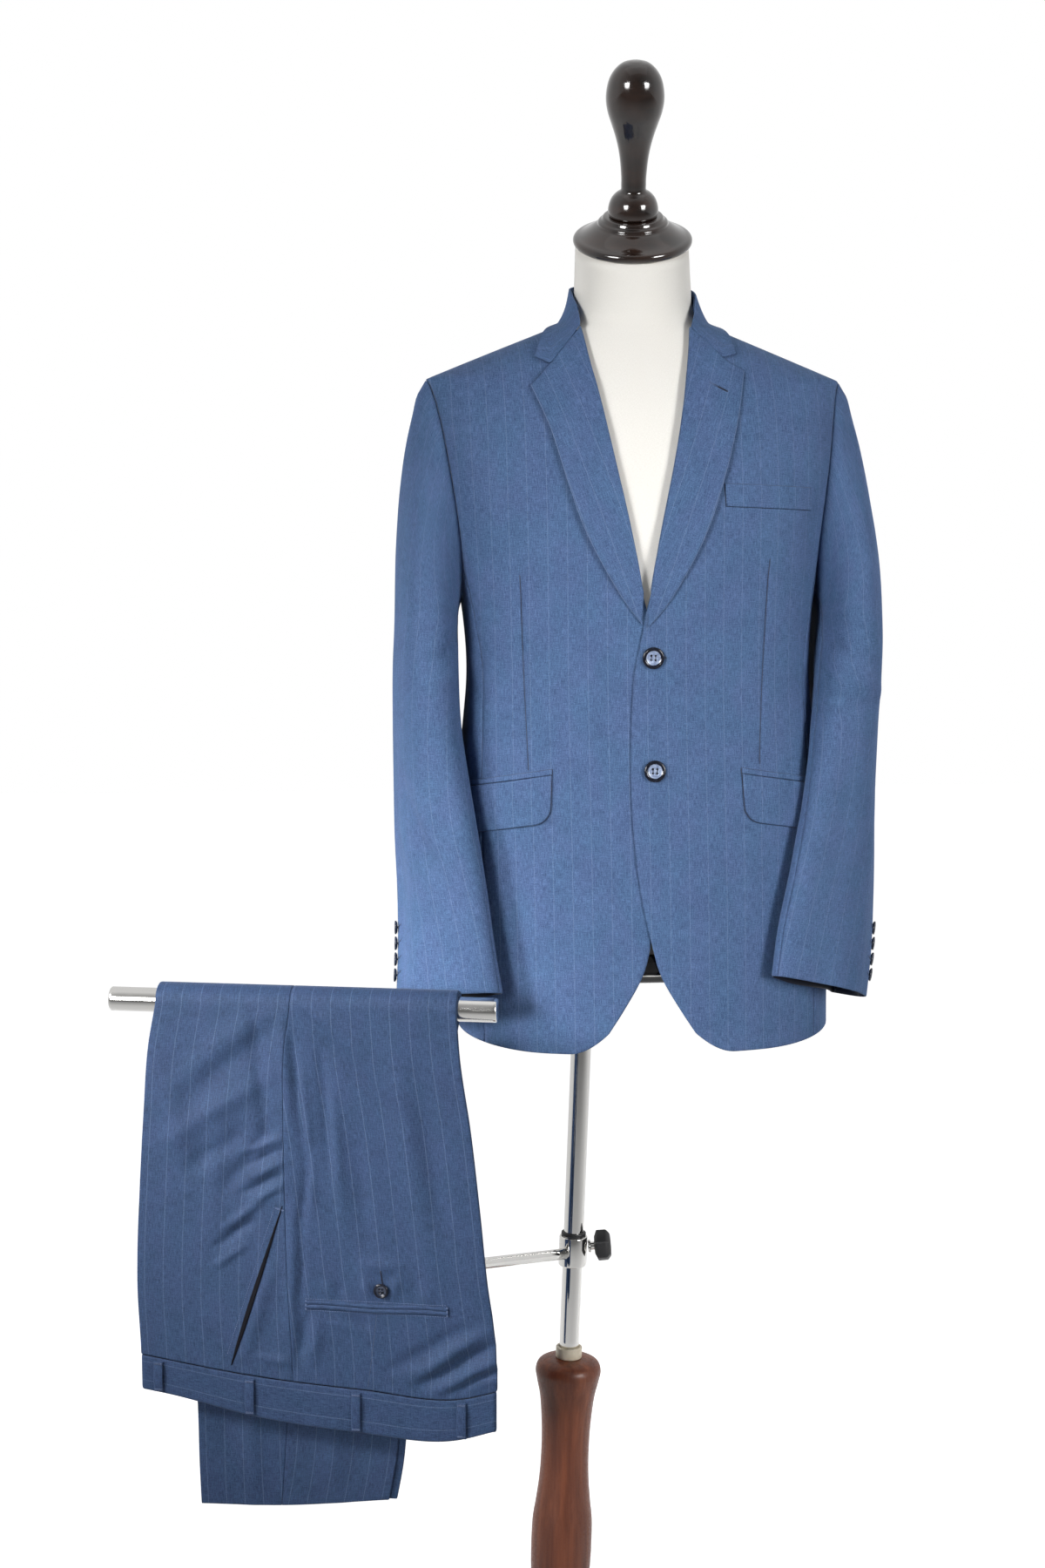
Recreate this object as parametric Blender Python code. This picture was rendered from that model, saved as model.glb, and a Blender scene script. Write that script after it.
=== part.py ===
"""Two-piece suit on a limbless dress form, with the trousers folded over the form's trouser bar.

The jacket is drawn on the sections of a general torso: a panel is a grid of (angle round the torso, height)
between its seams, and a piece that lies on a panel is the same grid moved out.  A sleeve is lofted from the
armhole to its cuff.  A trouser leg is a flat tube laid over the bar.  Metres, +Z up, the wearer faces -Y,
"left" and "right" are the wearer's, and the origin is the middle of the base on the floor.
"""
import math

import bmesh
import bpy
import numpy as np
from mathutils import Vector

for thing in list(bpy.data.objects):
    bpy.data.objects.remove(thing, do_unlink=True)

# ---------------------------------------------------------------- driving sizes
SEAM_GAP = 0.0003
JACKET_CLOTH = 0.0020
TROUSER_CLOTH = 0.0012
LAYER_GAP = 0.0006        # between a panel and what lies on it
BUTTON_GAP = 0.0004
SIDES = {"left": 1, "right": -1}

FORM_X = 0.092            # middle of the form at the hem
FORM_LEAN = -0.0187       # sideways for each metre up
FORM_Y = -0.028
HEM_HEIGHT = 0.800
SHOULDER_HEIGHT = 1.496
NECK_POINT_HEIGHT = 1.556
FRONT_MIDDLE = -0.005     # the fronts' own middle line, beside the form's
BUTTON_LINE = 0.0012
BUTTON_HEIGHTS = (1.204, 1.085)

# Outside of the jacket below the shoulder points, then over the shoulders and up the neck.
BODY_SECTIONS = (
    # height, half width, front depth, back depth, squareness
    (0.770, 0.2052, 0.118, 0.118, 2.40),
    (0.900, 0.2045, 0.119, 0.120, 2.40),
    (1.000, 0.2020, 0.117, 0.118, 2.40),
    (1.080, 0.1975, 0.112, 0.110, 2.40),
    (1.130, 0.1915, 0.109, 0.103, 2.40),
    (1.190, 0.1872, 0.109, 0.100, 2.40),
    (1.250, 0.1905, 0.113, 0.104, 2.45),
    (1.310, 0.1985, 0.118, 0.111, 2.50),
    (1.370, 0.2075, 0.119, 0.116, 2.60),
    (1.410, 0.2135, 0.116, 0.118, 2.52),
    (1.440, 0.2175, 0.111, 0.117, 2.32),
    (1.470, 0.2215, 0.103, 0.112, 2.00),
    (1.496, 0.2244, 0.091, 0.101, 1.65),
)
SHOULDER_SECTIONS = (
    (1.496, 0.2244, 0.091, 0.101, 1.65),
    (1.512, 0.1850, 0.083, 0.093, 1.68),
    (1.530, 0.1400, 0.075, 0.086, 1.76),
    (1.545, 0.1020, 0.068, 0.080, 1.86),
    (1.556, 0.0750, 0.063, 0.074, 1.95),
    (1.568, 0.0660, 0.059, 0.068, 2.00),
    (1.585, 0.0625, 0.057, 0.063, 2.00),
    (1.690, 0.0632, 0.060, 0.062, 2.00),
)

# A front's edges as seen from the front: distance out from the fronts' middle line.
ROLL_LINE = (
    # height, out
    (1.254, 0.0000),
    (1.300, 0.0090),
    (1.340, 0.0172),
    (1.400, 0.0302),
    (1.495, 0.0485),
    (1.545, 0.0572),
)
FRONT_EDGE = (
    (1.254, 0.0000),
    (1.220, -0.0066),
    (1.187, -0.0131),
    (1.130, -0.0172),
    (1.072, -0.0188),
    (1.000, -0.0157),
    (0.950, -0.0095),
    (0.904, -0.0003),
    (0.869, 0.0092),
    (0.831, 0.0300),
    (0.806, 0.0460),
)
LAPEL_EDGE = (
    (1.236, 0.0008),
    (1.2545, 0.0170),
    (1.292, 0.0405),
    (1.339, 0.0640),
    (1.386, 0.0800),
    (1.441, 0.0960),
    (1.4935, 0.1114),
)
NOTCH = (1.509, 0.0904)             # height, out
NOTCH_SHARE = 0.70                  # how far along the collar's end the notch lies
GORGE_GAP = 0.0022
COLLAR_CORNER = (1.5145, 0.1063)

FRONT_HEM = 0.7835
SIDE_HEM = 0.796
BACK_HEM = 0.812
FRONT_SEAM = ((0.77, 59.0), (1.08, 61.5), (1.19, 66.0), (1.30, 76.1))    # height, degrees from the front
BACK_SEAM = ((0.77, 118.0), (1.08, 115.0), (1.19, 111.0), (1.30, 106.5))

ARMHOLE_MIDDLE = 1.3788
ARMHOLE_HALF_HEIGHT = 0.1168
ARMHOLE_FRONT = 19.0                # degrees round from the side
ARMHOLE_BACK = 22.0
ARMHOLE_STEPS = 16
FRONT_SEAM_STEP = 6                 # armhole points from the shoulder point to the seam
BACK_SEAM_STEP = 10
SLEEVE_SEAM_STEPS = (7, 13)

# inner end out from the fronts' middle, top height, length, depth, fall to the side, lean of the ends
BREAST_WELT = (0.0825, 1.3838, 0.1060, 0.0235, 0.0036, 0.0015)
POCKET_WELT = (0.1000, 1.0868, 0.1520, 0.0056, 0.0250, 0.0)
POCKET_FLAP = (0.1005, 1.0806, 0.1500, 0.0500, 0.0250, 0.0025)
FLAP_CORNER = 0.016

SLEEVE_SECTIONS = {
    # height, out from the form's middle, forward, half across, half deep, slant in degrees
    "left": (
        (1.240, 0.2285, 0.000, 0.0335, 0.083, 0.0),
        (1.190, 0.2270, 0.004, 0.0375, 0.080, 8.0),
        (1.130, 0.2225, 0.014, 0.0430, 0.075, 22.0),
        (1.070, 0.2168, 0.030, 0.0475, 0.069, 34.0),
        (1.010, 0.2095, 0.047, 0.0520, 0.062, 42.0),
        (0.950, 0.2005, 0.062, 0.0560, 0.055, 46.0),
        (0.895, 0.1910, 0.074, 0.0590, 0.049, 46.0),
        (0.846, 0.1830, 0.083, 0.0585, 0.045, 44.0),
    ),
    "right": (
        (1.240, 0.2295, 0.000, 0.0330, 0.083, 0.0),
        (1.190, 0.2315, 0.002, 0.0340, 0.081, 4.0),
        (1.130, 0.2320, 0.010, 0.0350, 0.077, 12.0),
        (1.070, 0.2293, 0.024, 0.0385, 0.071, 24.0),
        (1.010, 0.2260, 0.040, 0.0425, 0.064, 32.0),
        (0.950, 0.2220, 0.054, 0.0455, 0.056, 38.0),
        (0.895, 0.2198, 0.067, 0.0490, 0.048, 40.0),
        (0.842, 0.2179, 0.078, 0.0545, 0.042, 38.0),
    ),
}
SLEEVE_CLEARANCE = 0.0066           # middle of the sleeve's wall to the body, flaps included
CUFF_FORWARD_TILT = 15.0
CUFF_SIDE_TILT = {"left": 10.0, "right": 0.0}
SLEEVE_HEAD_STEPS = (0.0, 0.10, 0.26, 0.50, 0.76)
SLEEVE_FRONT_LIMIT = {"left": 0.150, "right": 0.1215}    # forward of the form's middle

COLLAR_FOLD = (
    # out, forward, height
    (0.0560, 0.066, 1.546),
    (0.0628, 0.042, 1.566),
    (0.0680, 0.008, 1.586),
    (0.0610, -0.036, 1.597),
    (0.0350, -0.063, 1.602),
    (0.0000, -0.0705, 1.603),
)
COLLAR_EDGE_SHOULDER = 1.5515       # height where the collar's edge crosses the shoulder seam
COLLAR_EDGE_BACK = 1.5500
COLLAR_COLUMNS = 21
STAND_FROM = 1.5690                 # the stand begins where the fold is this high
STAND_FOOT = (1.5585, 1.5670)       # foot of the stand at the front and at the back
STAND_CLOTH = 0.0013
NECK_GAP = 0.0011

# Trouser bar and what hangs on it: along the bar, and out from its front.
BAR_MIDDLE = Vector((-0.282, -0.147, 0.8450))
BAR_YAW = math.radians(-13.16)
BAR_LENGTH = 0.413
BAR_RADIUS = 0.0127
LAYER_PITCH = 0.0016
FIRST_LAYER = 0.0009
CROTCH_HEIGHTS = (0.560, 0.680)
CREASES_FRONT_DROP = (
    # height, front crease, side seam, back crease (all along the bar)
    (0.390, -0.1750, -0.0080, 0.2040),
    (0.450, -0.1760, -0.0100, 0.2080),
    (0.520, -0.1785, -0.0130, 0.2030),
    (0.560, -0.1777, -0.0150, 0.1975),
    (0.630, -0.1740, -0.0165, 0.1905),
    (0.720, -0.1680, -0.0170, 0.1805),
    (0.800, -0.1610, -0.0150, 0.1690),
    (0.845, -0.1530, -0.0090, 0.1660),
)
CREASES_BACK_DROP = (
    (0.286, -0.1220, -0.0325, 0.0850),
    (0.330, -0.1235, -0.0290, 0.0930),
    (0.408, -0.1248, -0.0240, 0.1000),
    (0.560, -0.1350, -0.0180, 0.1180),
    (0.700, -0.1450, -0.0130, 0.1420),
    (0.845, -0.1530, -0.0090, 0.1660),
)
BAND_LOWER = ((-0.1755, 0.4270), (-0.145, 0.4223), (-0.051, 0.4030), (0.059, 0.3920), (0.168, 0.3902),
              (0.2035, 0.4010))      # along, height
BAND_UPPER = ((-0.1750, 0.4640), (-0.058, 0.4475), (0.063, 0.4385), (0.175, 0.4350), (0.207, 0.4440))
BAND_CLOTH = 0.0018
BAND_SEAM_GAP = 0.0009
HEM_LINE = ((-0.122, 0.2870), (-0.033, 0.2905), (0.087, 0.3045))
LEG_SLIP = 0.0080                   # the right leg's hem lies this far along from the left's
BELT_LOOPS = (-0.1560, -0.0565, 0.0583, 0.1708)
BELT_LOOP_WIDTH = 0.0100
SLANT_POCKET = ((0.634, -0.0190), (0.4560, -0.0775))      # height, along
BACK_POCKET = (0.0045, 0.1570, 0.5335, 0.5240)             # from, to, top, bottom
BACK_POCKET_BUTTON = (0.0860, 0.5480)

# Stand
STAND_LEAN = 0.0363                 # sideways for each metre up
POLE_RADIUS = 0.01125
FORM_BOTTOM = 0.889
BASE_CAP_BOTTOM = 0.858
NECK_TILT = math.radians(27.0)
NECK_CAP_CENTRE = Vector((0.0768, -0.030, 1.6450))
CLAMP_HEIGHT = 0.523
ARM_RADIUS = 0.0063
ARM_AT_BAR = 0.1465                 # along the bar
BASE_RADIUS = 0.165
BASE_TOP = 0.022


# ---------------------------------------------------------------- helpers
def material(name, colour, roughness, metallic=0.0):
    made = bpy.data.materials.new(name)
    made.use_nodes = True
    shader = made.node_tree.nodes["Principled BSDF"]
    shader.inputs["Base Color"].default_value = (*colour, 1)
    shader.inputs["Roughness"].default_value = roughness
    shader.inputs["Metallic"].default_value = metallic
    return made


SUIT_CLOTH = material("suit_cloth", (0.066, 0.118, 0.262), 0.85)
DARK_LINING = material("pocket_black", (0.006, 0.006, 0.009), 0.90)
BUTTON = material("button_horn", (0.012, 0.013, 0.020), 0.25)
LINEN = material("form_linen", (0.780, 0.745, 0.670), 0.90)
LACQUER = material("dark_lacquer", (0.022, 0.010, 0.008), 0.12)
GLOSS_BLACK = material("gloss_black", (0.006, 0.006, 0.007), 0.15)
CHROME = material("chrome", (0.780, 0.770, 0.750), 0.12, 1.0)
BLACK_PLASTIC = material("black_plastic", (0.020, 0.020, 0.022), 0.45)
RED_WOOD = material("red_wood", (0.170, 0.055, 0.032), 0.40)
FERRULE = material("ferrule_cream", (0.720, 0.640, 0.480), 0.55)


def smooth_curve(rows, column):
    """A function that runs smoothly through one column of a table, against the table's first column."""
    rows = sorted(rows)
    at = np.array([row[0] for row in rows])
    value = np.array([row[column] for row in rows])
    slope = np.gradient(value, at)

    def read(x):
        x = np.clip(x, at[0], at[-1])
        i = np.clip(np.searchsorted(at, x, side="right") - 1, 0, len(at) - 2)
        step = at[i + 1] - at[i]
        t = (x - at[i]) / step
        start = (2 * t**3 - 3 * t**2 + 1) * value[i] + (t**3 - 2 * t**2 + t) * step * slope[i]
        end = (3 * t**2 - 2 * t**3) * value[i + 1] + (t**3 - t**2) * step * slope[i + 1]
        return start + end

    return read


def soft_step(x, low, high):
    t = np.clip((np.asarray(x, float) - low) / (high - low), 0, 1)
    return t * t * (3 - 2 * t)


def unit(vectors):
    return vectors / np.maximum(np.linalg.norm(vectors, axis=-1, keepdims=True), 1e-12)


def solid(name, points, faces, finish):
    """One closed body from points and faces, facing out."""
    mesh = bpy.data.meshes.new(name)
    shape = bmesh.new()
    verts = [shape.verts.new(tuple(map(float, point))) for point in points]
    for face in faces:
        shape.faces.new([verts[i] for i in face])
    bmesh.ops.recalc_face_normals(shape, faces=shape.faces)
    shape.to_mesh(mesh)
    shape.free()
    mesh.shade_smooth()
    mesh.set_sharp_from_angle(angle=math.radians(50))
    mesh.materials.append(finish)
    made = bpy.data.objects.new(name, mesh)
    bpy.context.scene.collection.objects.link(made)
    return made


def wall(name, front, back, finish, ring=False):
    """Cloth between two grids of points, both split along the same diagonals so that the two faces never
    meet.  With ring, each row closes on itself."""
    rows, columns = front.shape[:2]
    points = np.concatenate([front.reshape(-1, 3), back.reshape(-1, 3)])
    far = rows * columns
    across = columns if ring else columns - 1
    faces = []
    for i in range(rows - 1):
        for j in range(across):
            a, b = i * columns + j, i * columns + (j + 1) % columns
            c, d = b + columns, a + columns
            for p, q, r in ((a, b, c), (a, c, d)):
                faces += [(p, q, r), (far + r, far + q, far + p)]
    for row in (0, rows - 1):
        for j in range(across):
            a, b = row * columns + j, row * columns + (j + 1) % columns
            faces.append((a, b, far + b, far + a))
    if not ring:
        for j in (0, columns - 1):
            for i in range(rows - 1):
                a, b = i * columns + j, (i + 1) * columns + j
                faces.append((a, b, far + b, far + a))
    return solid(name, points, faces, finish)


def stacked_rings(name, rings, finish):
    """A closed body through rings of points, its two ends closed by fans."""
    rings = np.asarray(rings)
    count, around = rings.shape[:2]
    points = [*rings.reshape(-1, 3), rings[0].mean(axis=0), rings[-1].mean(axis=0)]
    faces = []
    for i in range(count - 1):
        for j in range(around):
            a, b = i * around + j, i * around + (j + 1) % around
            faces.append((a, b, b + around, a + around))
    for j in range(around):
        k = (j + 1) % around
        faces.append((j, count * around, k))
        faces.append(((count - 1) * around + j, (count - 1) * around + k, count * around + 1))
    return solid(name, points, faces, finish)


def turned(name, profile, foot, direction, finish, sides=24, level_ends=(False, False)):
    """A turned piece: profile rows are (distance along the axis, radius).  A level end is cut horizontal."""
    foot, direction = np.array(foot, float), unit(np.array(direction, float))
    first = unit(np.cross(direction, (0.0, 1.0, 0.0)))
    second = np.cross(direction, first)
    turn = np.linspace(0, 2 * math.pi, sides, endpoint=False)[:, None]
    rings = []
    for k, (distance, radius) in enumerate(profile):
        ring = foot + direction * distance + radius * (np.cos(turn) * first + np.sin(turn) * second)
        if (k == 0 and level_ends[0]) or (k == len(profile) - 1 and level_ends[1]):
            rise = (foot + direction * distance)[2] - ring[:, 2:]
            ring = ring + direction * rise / direction[2]
        rings.append(ring)
    return stacked_rings(name, rings, finish)


# ---------------------------------------------------------------- the torso's surface
LOWER = [smooth_curve(BODY_SECTIONS, column) for column in range(1, 5)]
UPPER = [smooth_curve(SHOULDER_SECTIONS, column) for column in range(1, 5)]


def section(height):
    """Half width, front depth, back depth and squareness at this height."""
    height = np.asarray(height, float)
    return [np.where(height < SHOULDER_HEIGHT, low(height), high(height)) for low, high in zip(LOWER, UPPER)]


def middle_x(height):
    return FORM_X + FORM_LEAN * (height - HEM_HEIGHT)


def torso(angle, height):
    """Points on the jacket's outside.  The angle is 0 at the front and grows to the wearer's left."""
    half, front, back, square = section(height)
    across, along = np.sin(angle), np.cos(angle)
    x = half * np.sign(across) * np.abs(across) ** (2 / square)
    depth = np.where(along > 0, front, back)
    y = -depth * np.sign(along) * np.abs(along) ** (2 / square)
    return np.stack([middle_x(height) + x, FORM_Y + y, height + 0 * x], axis=-1)


def torso_normal(angle, height):
    step = 1e-3
    across = torso(angle + step, height) - torso(angle - step, height)
    upward = torso(angle, height + step) - torso(angle, height - step)
    return unit(np.cross(across, upward))


def torso_out(places, out):
    """Points moved out from the torso; places holds (angle, height) in its last axis."""
    angle, height = places[..., 0], places[..., 1]
    return torso(angle, height) + torso_normal(angle, height) * np.asarray(out)[..., None]


def angle_at(across, height):
    """The angle at which the front is this far from the form's middle line."""
    half, _, _, square = section(height)
    share = np.clip(np.abs(across) / half, 0, 1)
    return np.sign(across) * np.arcsin(share ** (square / 2))


def depth_inside(points):
    """How far each point is out of the torso, negative inside, and the way out."""
    def scale(p):
        half, front, back, square = section(p[..., 2])
        x = np.abs(p[..., 0] - middle_x(p[..., 2])) / half
        y = p[..., 1] - FORM_Y
        y = np.abs(y) / np.where(y < 0, front, back)
        return (x**square + y**square + 1e-12) ** (1 / square) - 1

    step = 1e-4
    here = scale(points)
    slopes = [(scale(points + move) - scale(points - move)) / (2 * step) for move in np.eye(3) * step]
    slope = np.stack(slopes, axis=-1)
    length = np.linalg.norm(slope, axis=-1)
    return here / length, slope / length[..., None]


def kept_clear(points, clearance):
    """Points moved out to at least this distance from the torso."""
    for _ in range(4):
        out, way = depth_inside(points)
        points = points + np.maximum(0, clearance - out)[..., None] * way
    return points


def facets_clear(rings, clearance):
    """Rings moved out until the flat facets between their points keep the clearance too."""
    wanted = np.broadcast_to(clearance, rings.shape[:2]).copy()
    moved = kept_clear(rings, wanted)
    for _ in range(8):
        ahead = np.roll(moved, -1, axis=1)
        short = np.zeros(rings.shape[:2])
        for points, (rows, columns) in (
            ((moved + ahead) / 2, ((0,), (0, 1))),
            ((moved[1:] + moved[:-1]) / 2, ((0, 1), (0,))),
            ((moved[1:] + moved[:-1] + ahead[1:] + ahead[:-1]) / 4, ((0, 1), (0, 1))),
        ):
            least = np.broadcast_to(clearance, rings.shape[:2])[:len(points)]
            missing = np.maximum(0, least - depth_inside(points)[0])
            for row in rows:
                for column in columns:
                    part = short[row:row + len(points)]
                    np.maximum(part, np.roll(missing, column, axis=1), out=part)
        wanted += short
        moved = kept_clear(rings, wanted)
    return moved


# ---------------------------------------------------------------- grids between seams
def along_line(line, count):
    """This many points at even steps of length along a line of (angle, height) points."""
    line = np.asarray(line, float)
    lengths = np.linalg.norm(np.diff(line * (0.15, 1.0), axis=0), axis=1)
    at = np.concatenate([[0], np.cumsum(lengths)])
    wanted = np.linspace(0, at[-1], count)
    return np.stack([np.interp(wanted, at, line[:, k]) for k in (0, 1)], axis=1)


def patch(bottom, top, left, right):
    """A grid inside four edge lines that meet at their ends, rows going up."""
    u = np.linspace(0, 1, len(bottom))[None, :, None]
    v = np.linspace(0, 1, len(left))[:, None, None]
    edges = (1 - v) * bottom[None] + v * top[None] + (1 - u) * left[:, None] + u * right[:, None]
    lower = (1 - u) * bottom[0] + u * bottom[-1]
    upper = (1 - u) * top[0] + u * top[-1]
    return edges - (1 - v) * lower - v * upper


def front_place(side, out, height):
    """(angle, height) of a point given by its distance out from the fronts' middle line."""
    across = SIDES[side] * np.asarray(out) + FRONT_MIDDLE
    return np.stack([angle_at(across, np.asarray(height)), np.asarray(height, float) + 0 * across], axis=-1)


def hem_height(angle):
    turn = np.degrees(np.abs(angle))
    front = FRONT_HEM + (SIDE_HEM - FRONT_HEM) * soft_step(turn, 30, 95)
    return front + (BACK_HEM - SIDE_HEM) * soft_step(turn, 95, 180)


def armhole_point(side, step):
    """(angle, height) of the armhole, from the shoulder point down the front, 16 steps round."""
    turn = 2 * math.pi * step / ARMHOLE_STEPS
    reach = ARMHOLE_FRONT if math.sin(turn) >= 0 else ARMHOLE_BACK
    swing = math.copysign(abs(math.sin(turn)) ** 0.7, math.sin(turn)) if step % 8 else 0.0
    angle = math.radians(90 - reach * swing)
    return SIDES[side] * angle, ARMHOLE_MIDDLE + ARMHOLE_HALF_HEIGHT * math.cos(turn)


def seam_line(side, rows, last, count):
    """A side seam from the hem up to the armhole point `last`."""
    turn = smooth_curve(rows, 1)
    heights = np.linspace(0, 1, count) ** 0.9
    foot = hem_height(math.radians(rows[0][1]))
    heights = foot + (last[1] - foot) * heights
    angles = SIDES[side] * np.radians(turn(heights))
    blend = soft_step(heights, last[1] - 0.16, last[1])
    own_end = SIDES[side] * math.radians(float(turn(last[1])))
    return np.stack([angles + blend * (last[0] - own_end), heights], axis=1)


def moved_round(line, distance):
    """A line of (angle, height) moved along the cloth, round the torso."""
    step = 1e-3
    span = torso(line[:, 0] + step, line[:, 1]) - torso(line[:, 0] - step, line[:, 1])
    rate = np.linalg.norm(span, axis=1) / (2 * step)
    return np.stack([line[:, 0] + distance / rate, line[:, 1]], axis=1)


SEAM_ROWS = 9
SIDE_SEAMS = {}
for side in SIDES:
    SIDE_SEAMS[side, "front"] = seam_line(side, FRONT_SEAM, armhole_point(side, FRONT_SEAM_STEP), SEAM_ROWS)
    SIDE_SEAMS[side, "back"] = seam_line(side, BACK_SEAM, armhole_point(side, BACK_SEAM_STEP), SEAM_ROWS)


def armhole_line(side, first, last):
    step = 1 if last > first else -1
    return np.array([armhole_point(side, k) for k in range(first, last + step, step)])


def cloth_on_torso(name, places, out=0.0, thickness=JACKET_CLOTH, finish=SUIT_CLOTH):
    """Cloth whose outside is `out` from the torso's surface, with its thickness inwards."""
    out = np.broadcast_to(out, places.shape[:-1])
    return wall(name, torso_out(places, out), torso_out(places, out - thickness), finish)


# ---------------------------------------------------------------- jacket body
FRONT_COLUMNS = 9
OVERLAP_LIFT = JACKET_CLOTH + LAYER_GAP


def front_lift(side, places):
    """The left front lies over the right one along the middle."""
    if side == "right":
        return np.zeros(places.shape[:-1])
    across = torso(places[..., 0], places[..., 1])[..., 0] - middle_x(places[..., 1]) - FRONT_MIDDLE
    return OVERLAP_LIFT * (1 - soft_step(across, 0.030, 0.085)) * (1 - soft_step(places[..., 1], 1.275, 1.36))


def edge_line(side, rows):
    """A smooth line through rows of (height, out), with several points to each row."""
    rows = sorted(rows)
    out = smooth_curve(rows, 1)
    heights = np.interp(np.linspace(0, len(rows) - 1, 6 * len(rows)), range(len(rows)), [r[0] for r in rows])
    return front_place(side, out(heights), heights)


def ridge_line(side, part, count):
    """The shoulder seam from the neck point to the shoulder point, half a seam gap to the front or back."""
    heights = np.linspace(NECK_POINT_HEIGHT, SHOULDER_HEIGHT - 0.0006, count)
    _, front, back, square = section(heights)
    depth = front if part == "front" else back
    lean = (SEAM_GAP / 2 / depth) ** (square / 2)
    angles = np.arccos(lean) if part == "front" else np.arccos(-lean)
    return np.stack([SIDES[side] * angles, heights], axis=1)


def make_front(side):
    """A front: from its edge and roll line round to the side seam, from the hem up to the shoulder."""
    right = moved_round(SIDE_SEAMS[side, "front"], -SIDES[side] * SEAM_GAP / 2)
    armhole = armhole_line(side, FRONT_SEAM_STEP, 0)
    shoulder = ridge_line(side, "front", FRONT_COLUMNS)
    armhole[0] = right[-1]
    armhole[-1] = shoulder[-1]
    right = np.concatenate([right, armhole[1:]])
    edge = np.concatenate([edge_line(side, FRONT_EDGE), edge_line(side, ROLL_LINE)[1:], shoulder[:1]])
    left = along_line(edge, len(right))
    angles = np.linspace(left[0, 0], right[0, 0], 60)
    drop = soft_step(np.abs(angles), abs(left[0, 0]), abs(left[0, 0]) + 0.16) ** 0.6
    heights = left[0, 1] + (hem_height(angles) - left[0, 1]) * drop
    hem = along_line(np.stack([angles, heights], axis=1), FRONT_COLUMNS)
    hem[-1] = right[0]
    places = patch(hem, shoulder, left, right)
    cloth_on_torso(f"front_{side}", places, front_lift(side, places))


def make_side(side):
    """The side body between the front and back seams, under the arm."""
    front = moved_round(SIDE_SEAMS[side, "front"], SIDES[side] * SEAM_GAP / 2)
    back = moved_round(SIDE_SEAMS[side, "back"], -SIDES[side] * SEAM_GAP / 2)
    underarm = armhole_line(side, FRONT_SEAM_STEP, BACK_SEAM_STEP)
    underarm[0], underarm[-1] = front[-1], back[-1]
    angles = np.linspace(front[0, 0], back[0, 0], len(underarm))
    hem = np.stack([angles, hem_height(angles)], axis=1)
    hem[0], hem[-1] = front[0], back[0]
    cloth_on_torso(f"side_{side}", patch(hem, underarm, front, back))


def make_back(side):
    """Half of the back, from the centre seam to the side back seam, armhole and shoulder."""
    sign = SIDES[side]
    seam = moved_round(SIDE_SEAMS[side, "back"], sign * SEAM_GAP / 2)
    shoulder = ridge_line(side, "back", FRONT_COLUMNS - 1)
    armhole = armhole_line(side, BACK_SEAM_STEP, ARMHOLE_STEPS)
    armhole[0], armhole[-1] = seam[-1], shoulder[-1]
    outer = np.concatenate([seam, armhole[1:]])
    heights = np.linspace(BACK_HEM, NECK_POINT_HEIGHT + 0.004, len(outer))
    half, _, _, square = section(heights)
    middle = np.stack([sign * (math.pi - np.arcsin((SEAM_GAP / 2 / half) ** (square / 2))), heights], axis=1)
    neck_turn = np.linspace(middle[-1, 0], shoulder[0, 0], 4)
    neck_rise = np.interp(np.abs(neck_turn), sorted([abs(shoulder[0, 0]), abs(middle[-1, 0])]),
                          [shoulder[0, 1], middle[-1, 1]])
    neck = np.stack([neck_turn, neck_rise], axis=1)
    top = along_line(np.concatenate([neck, shoulder[1:]]), FRONT_COLUMNS)
    angles = np.linspace(middle[0, 0], outer[0, 0], FRONT_COLUMNS)
    hem = np.stack([angles, hem_height(angles)], axis=1)
    hem[0], hem[-1] = middle[0], outer[0]
    places = patch(hem, top, middle, outer)
    cloth_on_torso(f"back_{side}", places)


# ---------------------------------------------------------------- lapels and collar
LAPEL_LIFT = JACKET_CLOTH + LAYER_GAP
ROLL_RISE = 0.0016
LAPEL_ROWS, LAPEL_COLUMNS = 12, 6
LAPEL_FOOT = {"left": 1.2585, "right": 1.2700}


def lapel_places(side):
    rolls = [row for row in ROLL_LINE if row[0] > LAPEL_FOOT[side]]
    roll_out = smooth_curve(ROLL_LINE, 1)
    foot = LAPEL_FOOT[side]
    roll = edge_line(side, [(foot, float(roll_out(foot)) + 0.0004)] + [(z, out + 0.0004) for z, out in rolls])
    edge_rows = LAPEL_EDGE
    if side == "right":
        edge_rows = ((1.2395, 0.0052),) + LAPEL_EDGE[1:]
    edge = edge_line(side, edge_rows)
    top_out = np.interp(range(LAPEL_COLUMNS), (0, 3, 5), (ROLL_LINE[-1][1], NOTCH[1], LAPEL_EDGE[-1][1]))
    top_height = np.interp(range(LAPEL_COLUMNS), (0, 3, 5), (ROLL_LINE[-1][0], NOTCH[0], LAPEL_EDGE[-1][0]))
    gorge = front_place(side, top_out, top_height)
    gorge[0], gorge[-1] = roll[-1], edge[-1]
    foot_line = np.stack([roll[0], edge[0]])
    return patch(along_line(foot_line, LAPEL_COLUMNS), gorge, along_line(roll, LAPEL_ROWS),
                 along_line(edge, LAPEL_ROWS))


def make_lapel(side):
    places = lapel_places(side)
    from_roll = np.linspace(0, 1, places.shape[1])[None, :]
    out = front_lift(side, places) + LAPEL_LIFT + ROLL_RISE * (1 - from_roll) ** 2
    cloth_on_torso(f"lapel_{side}", places, out)


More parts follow.
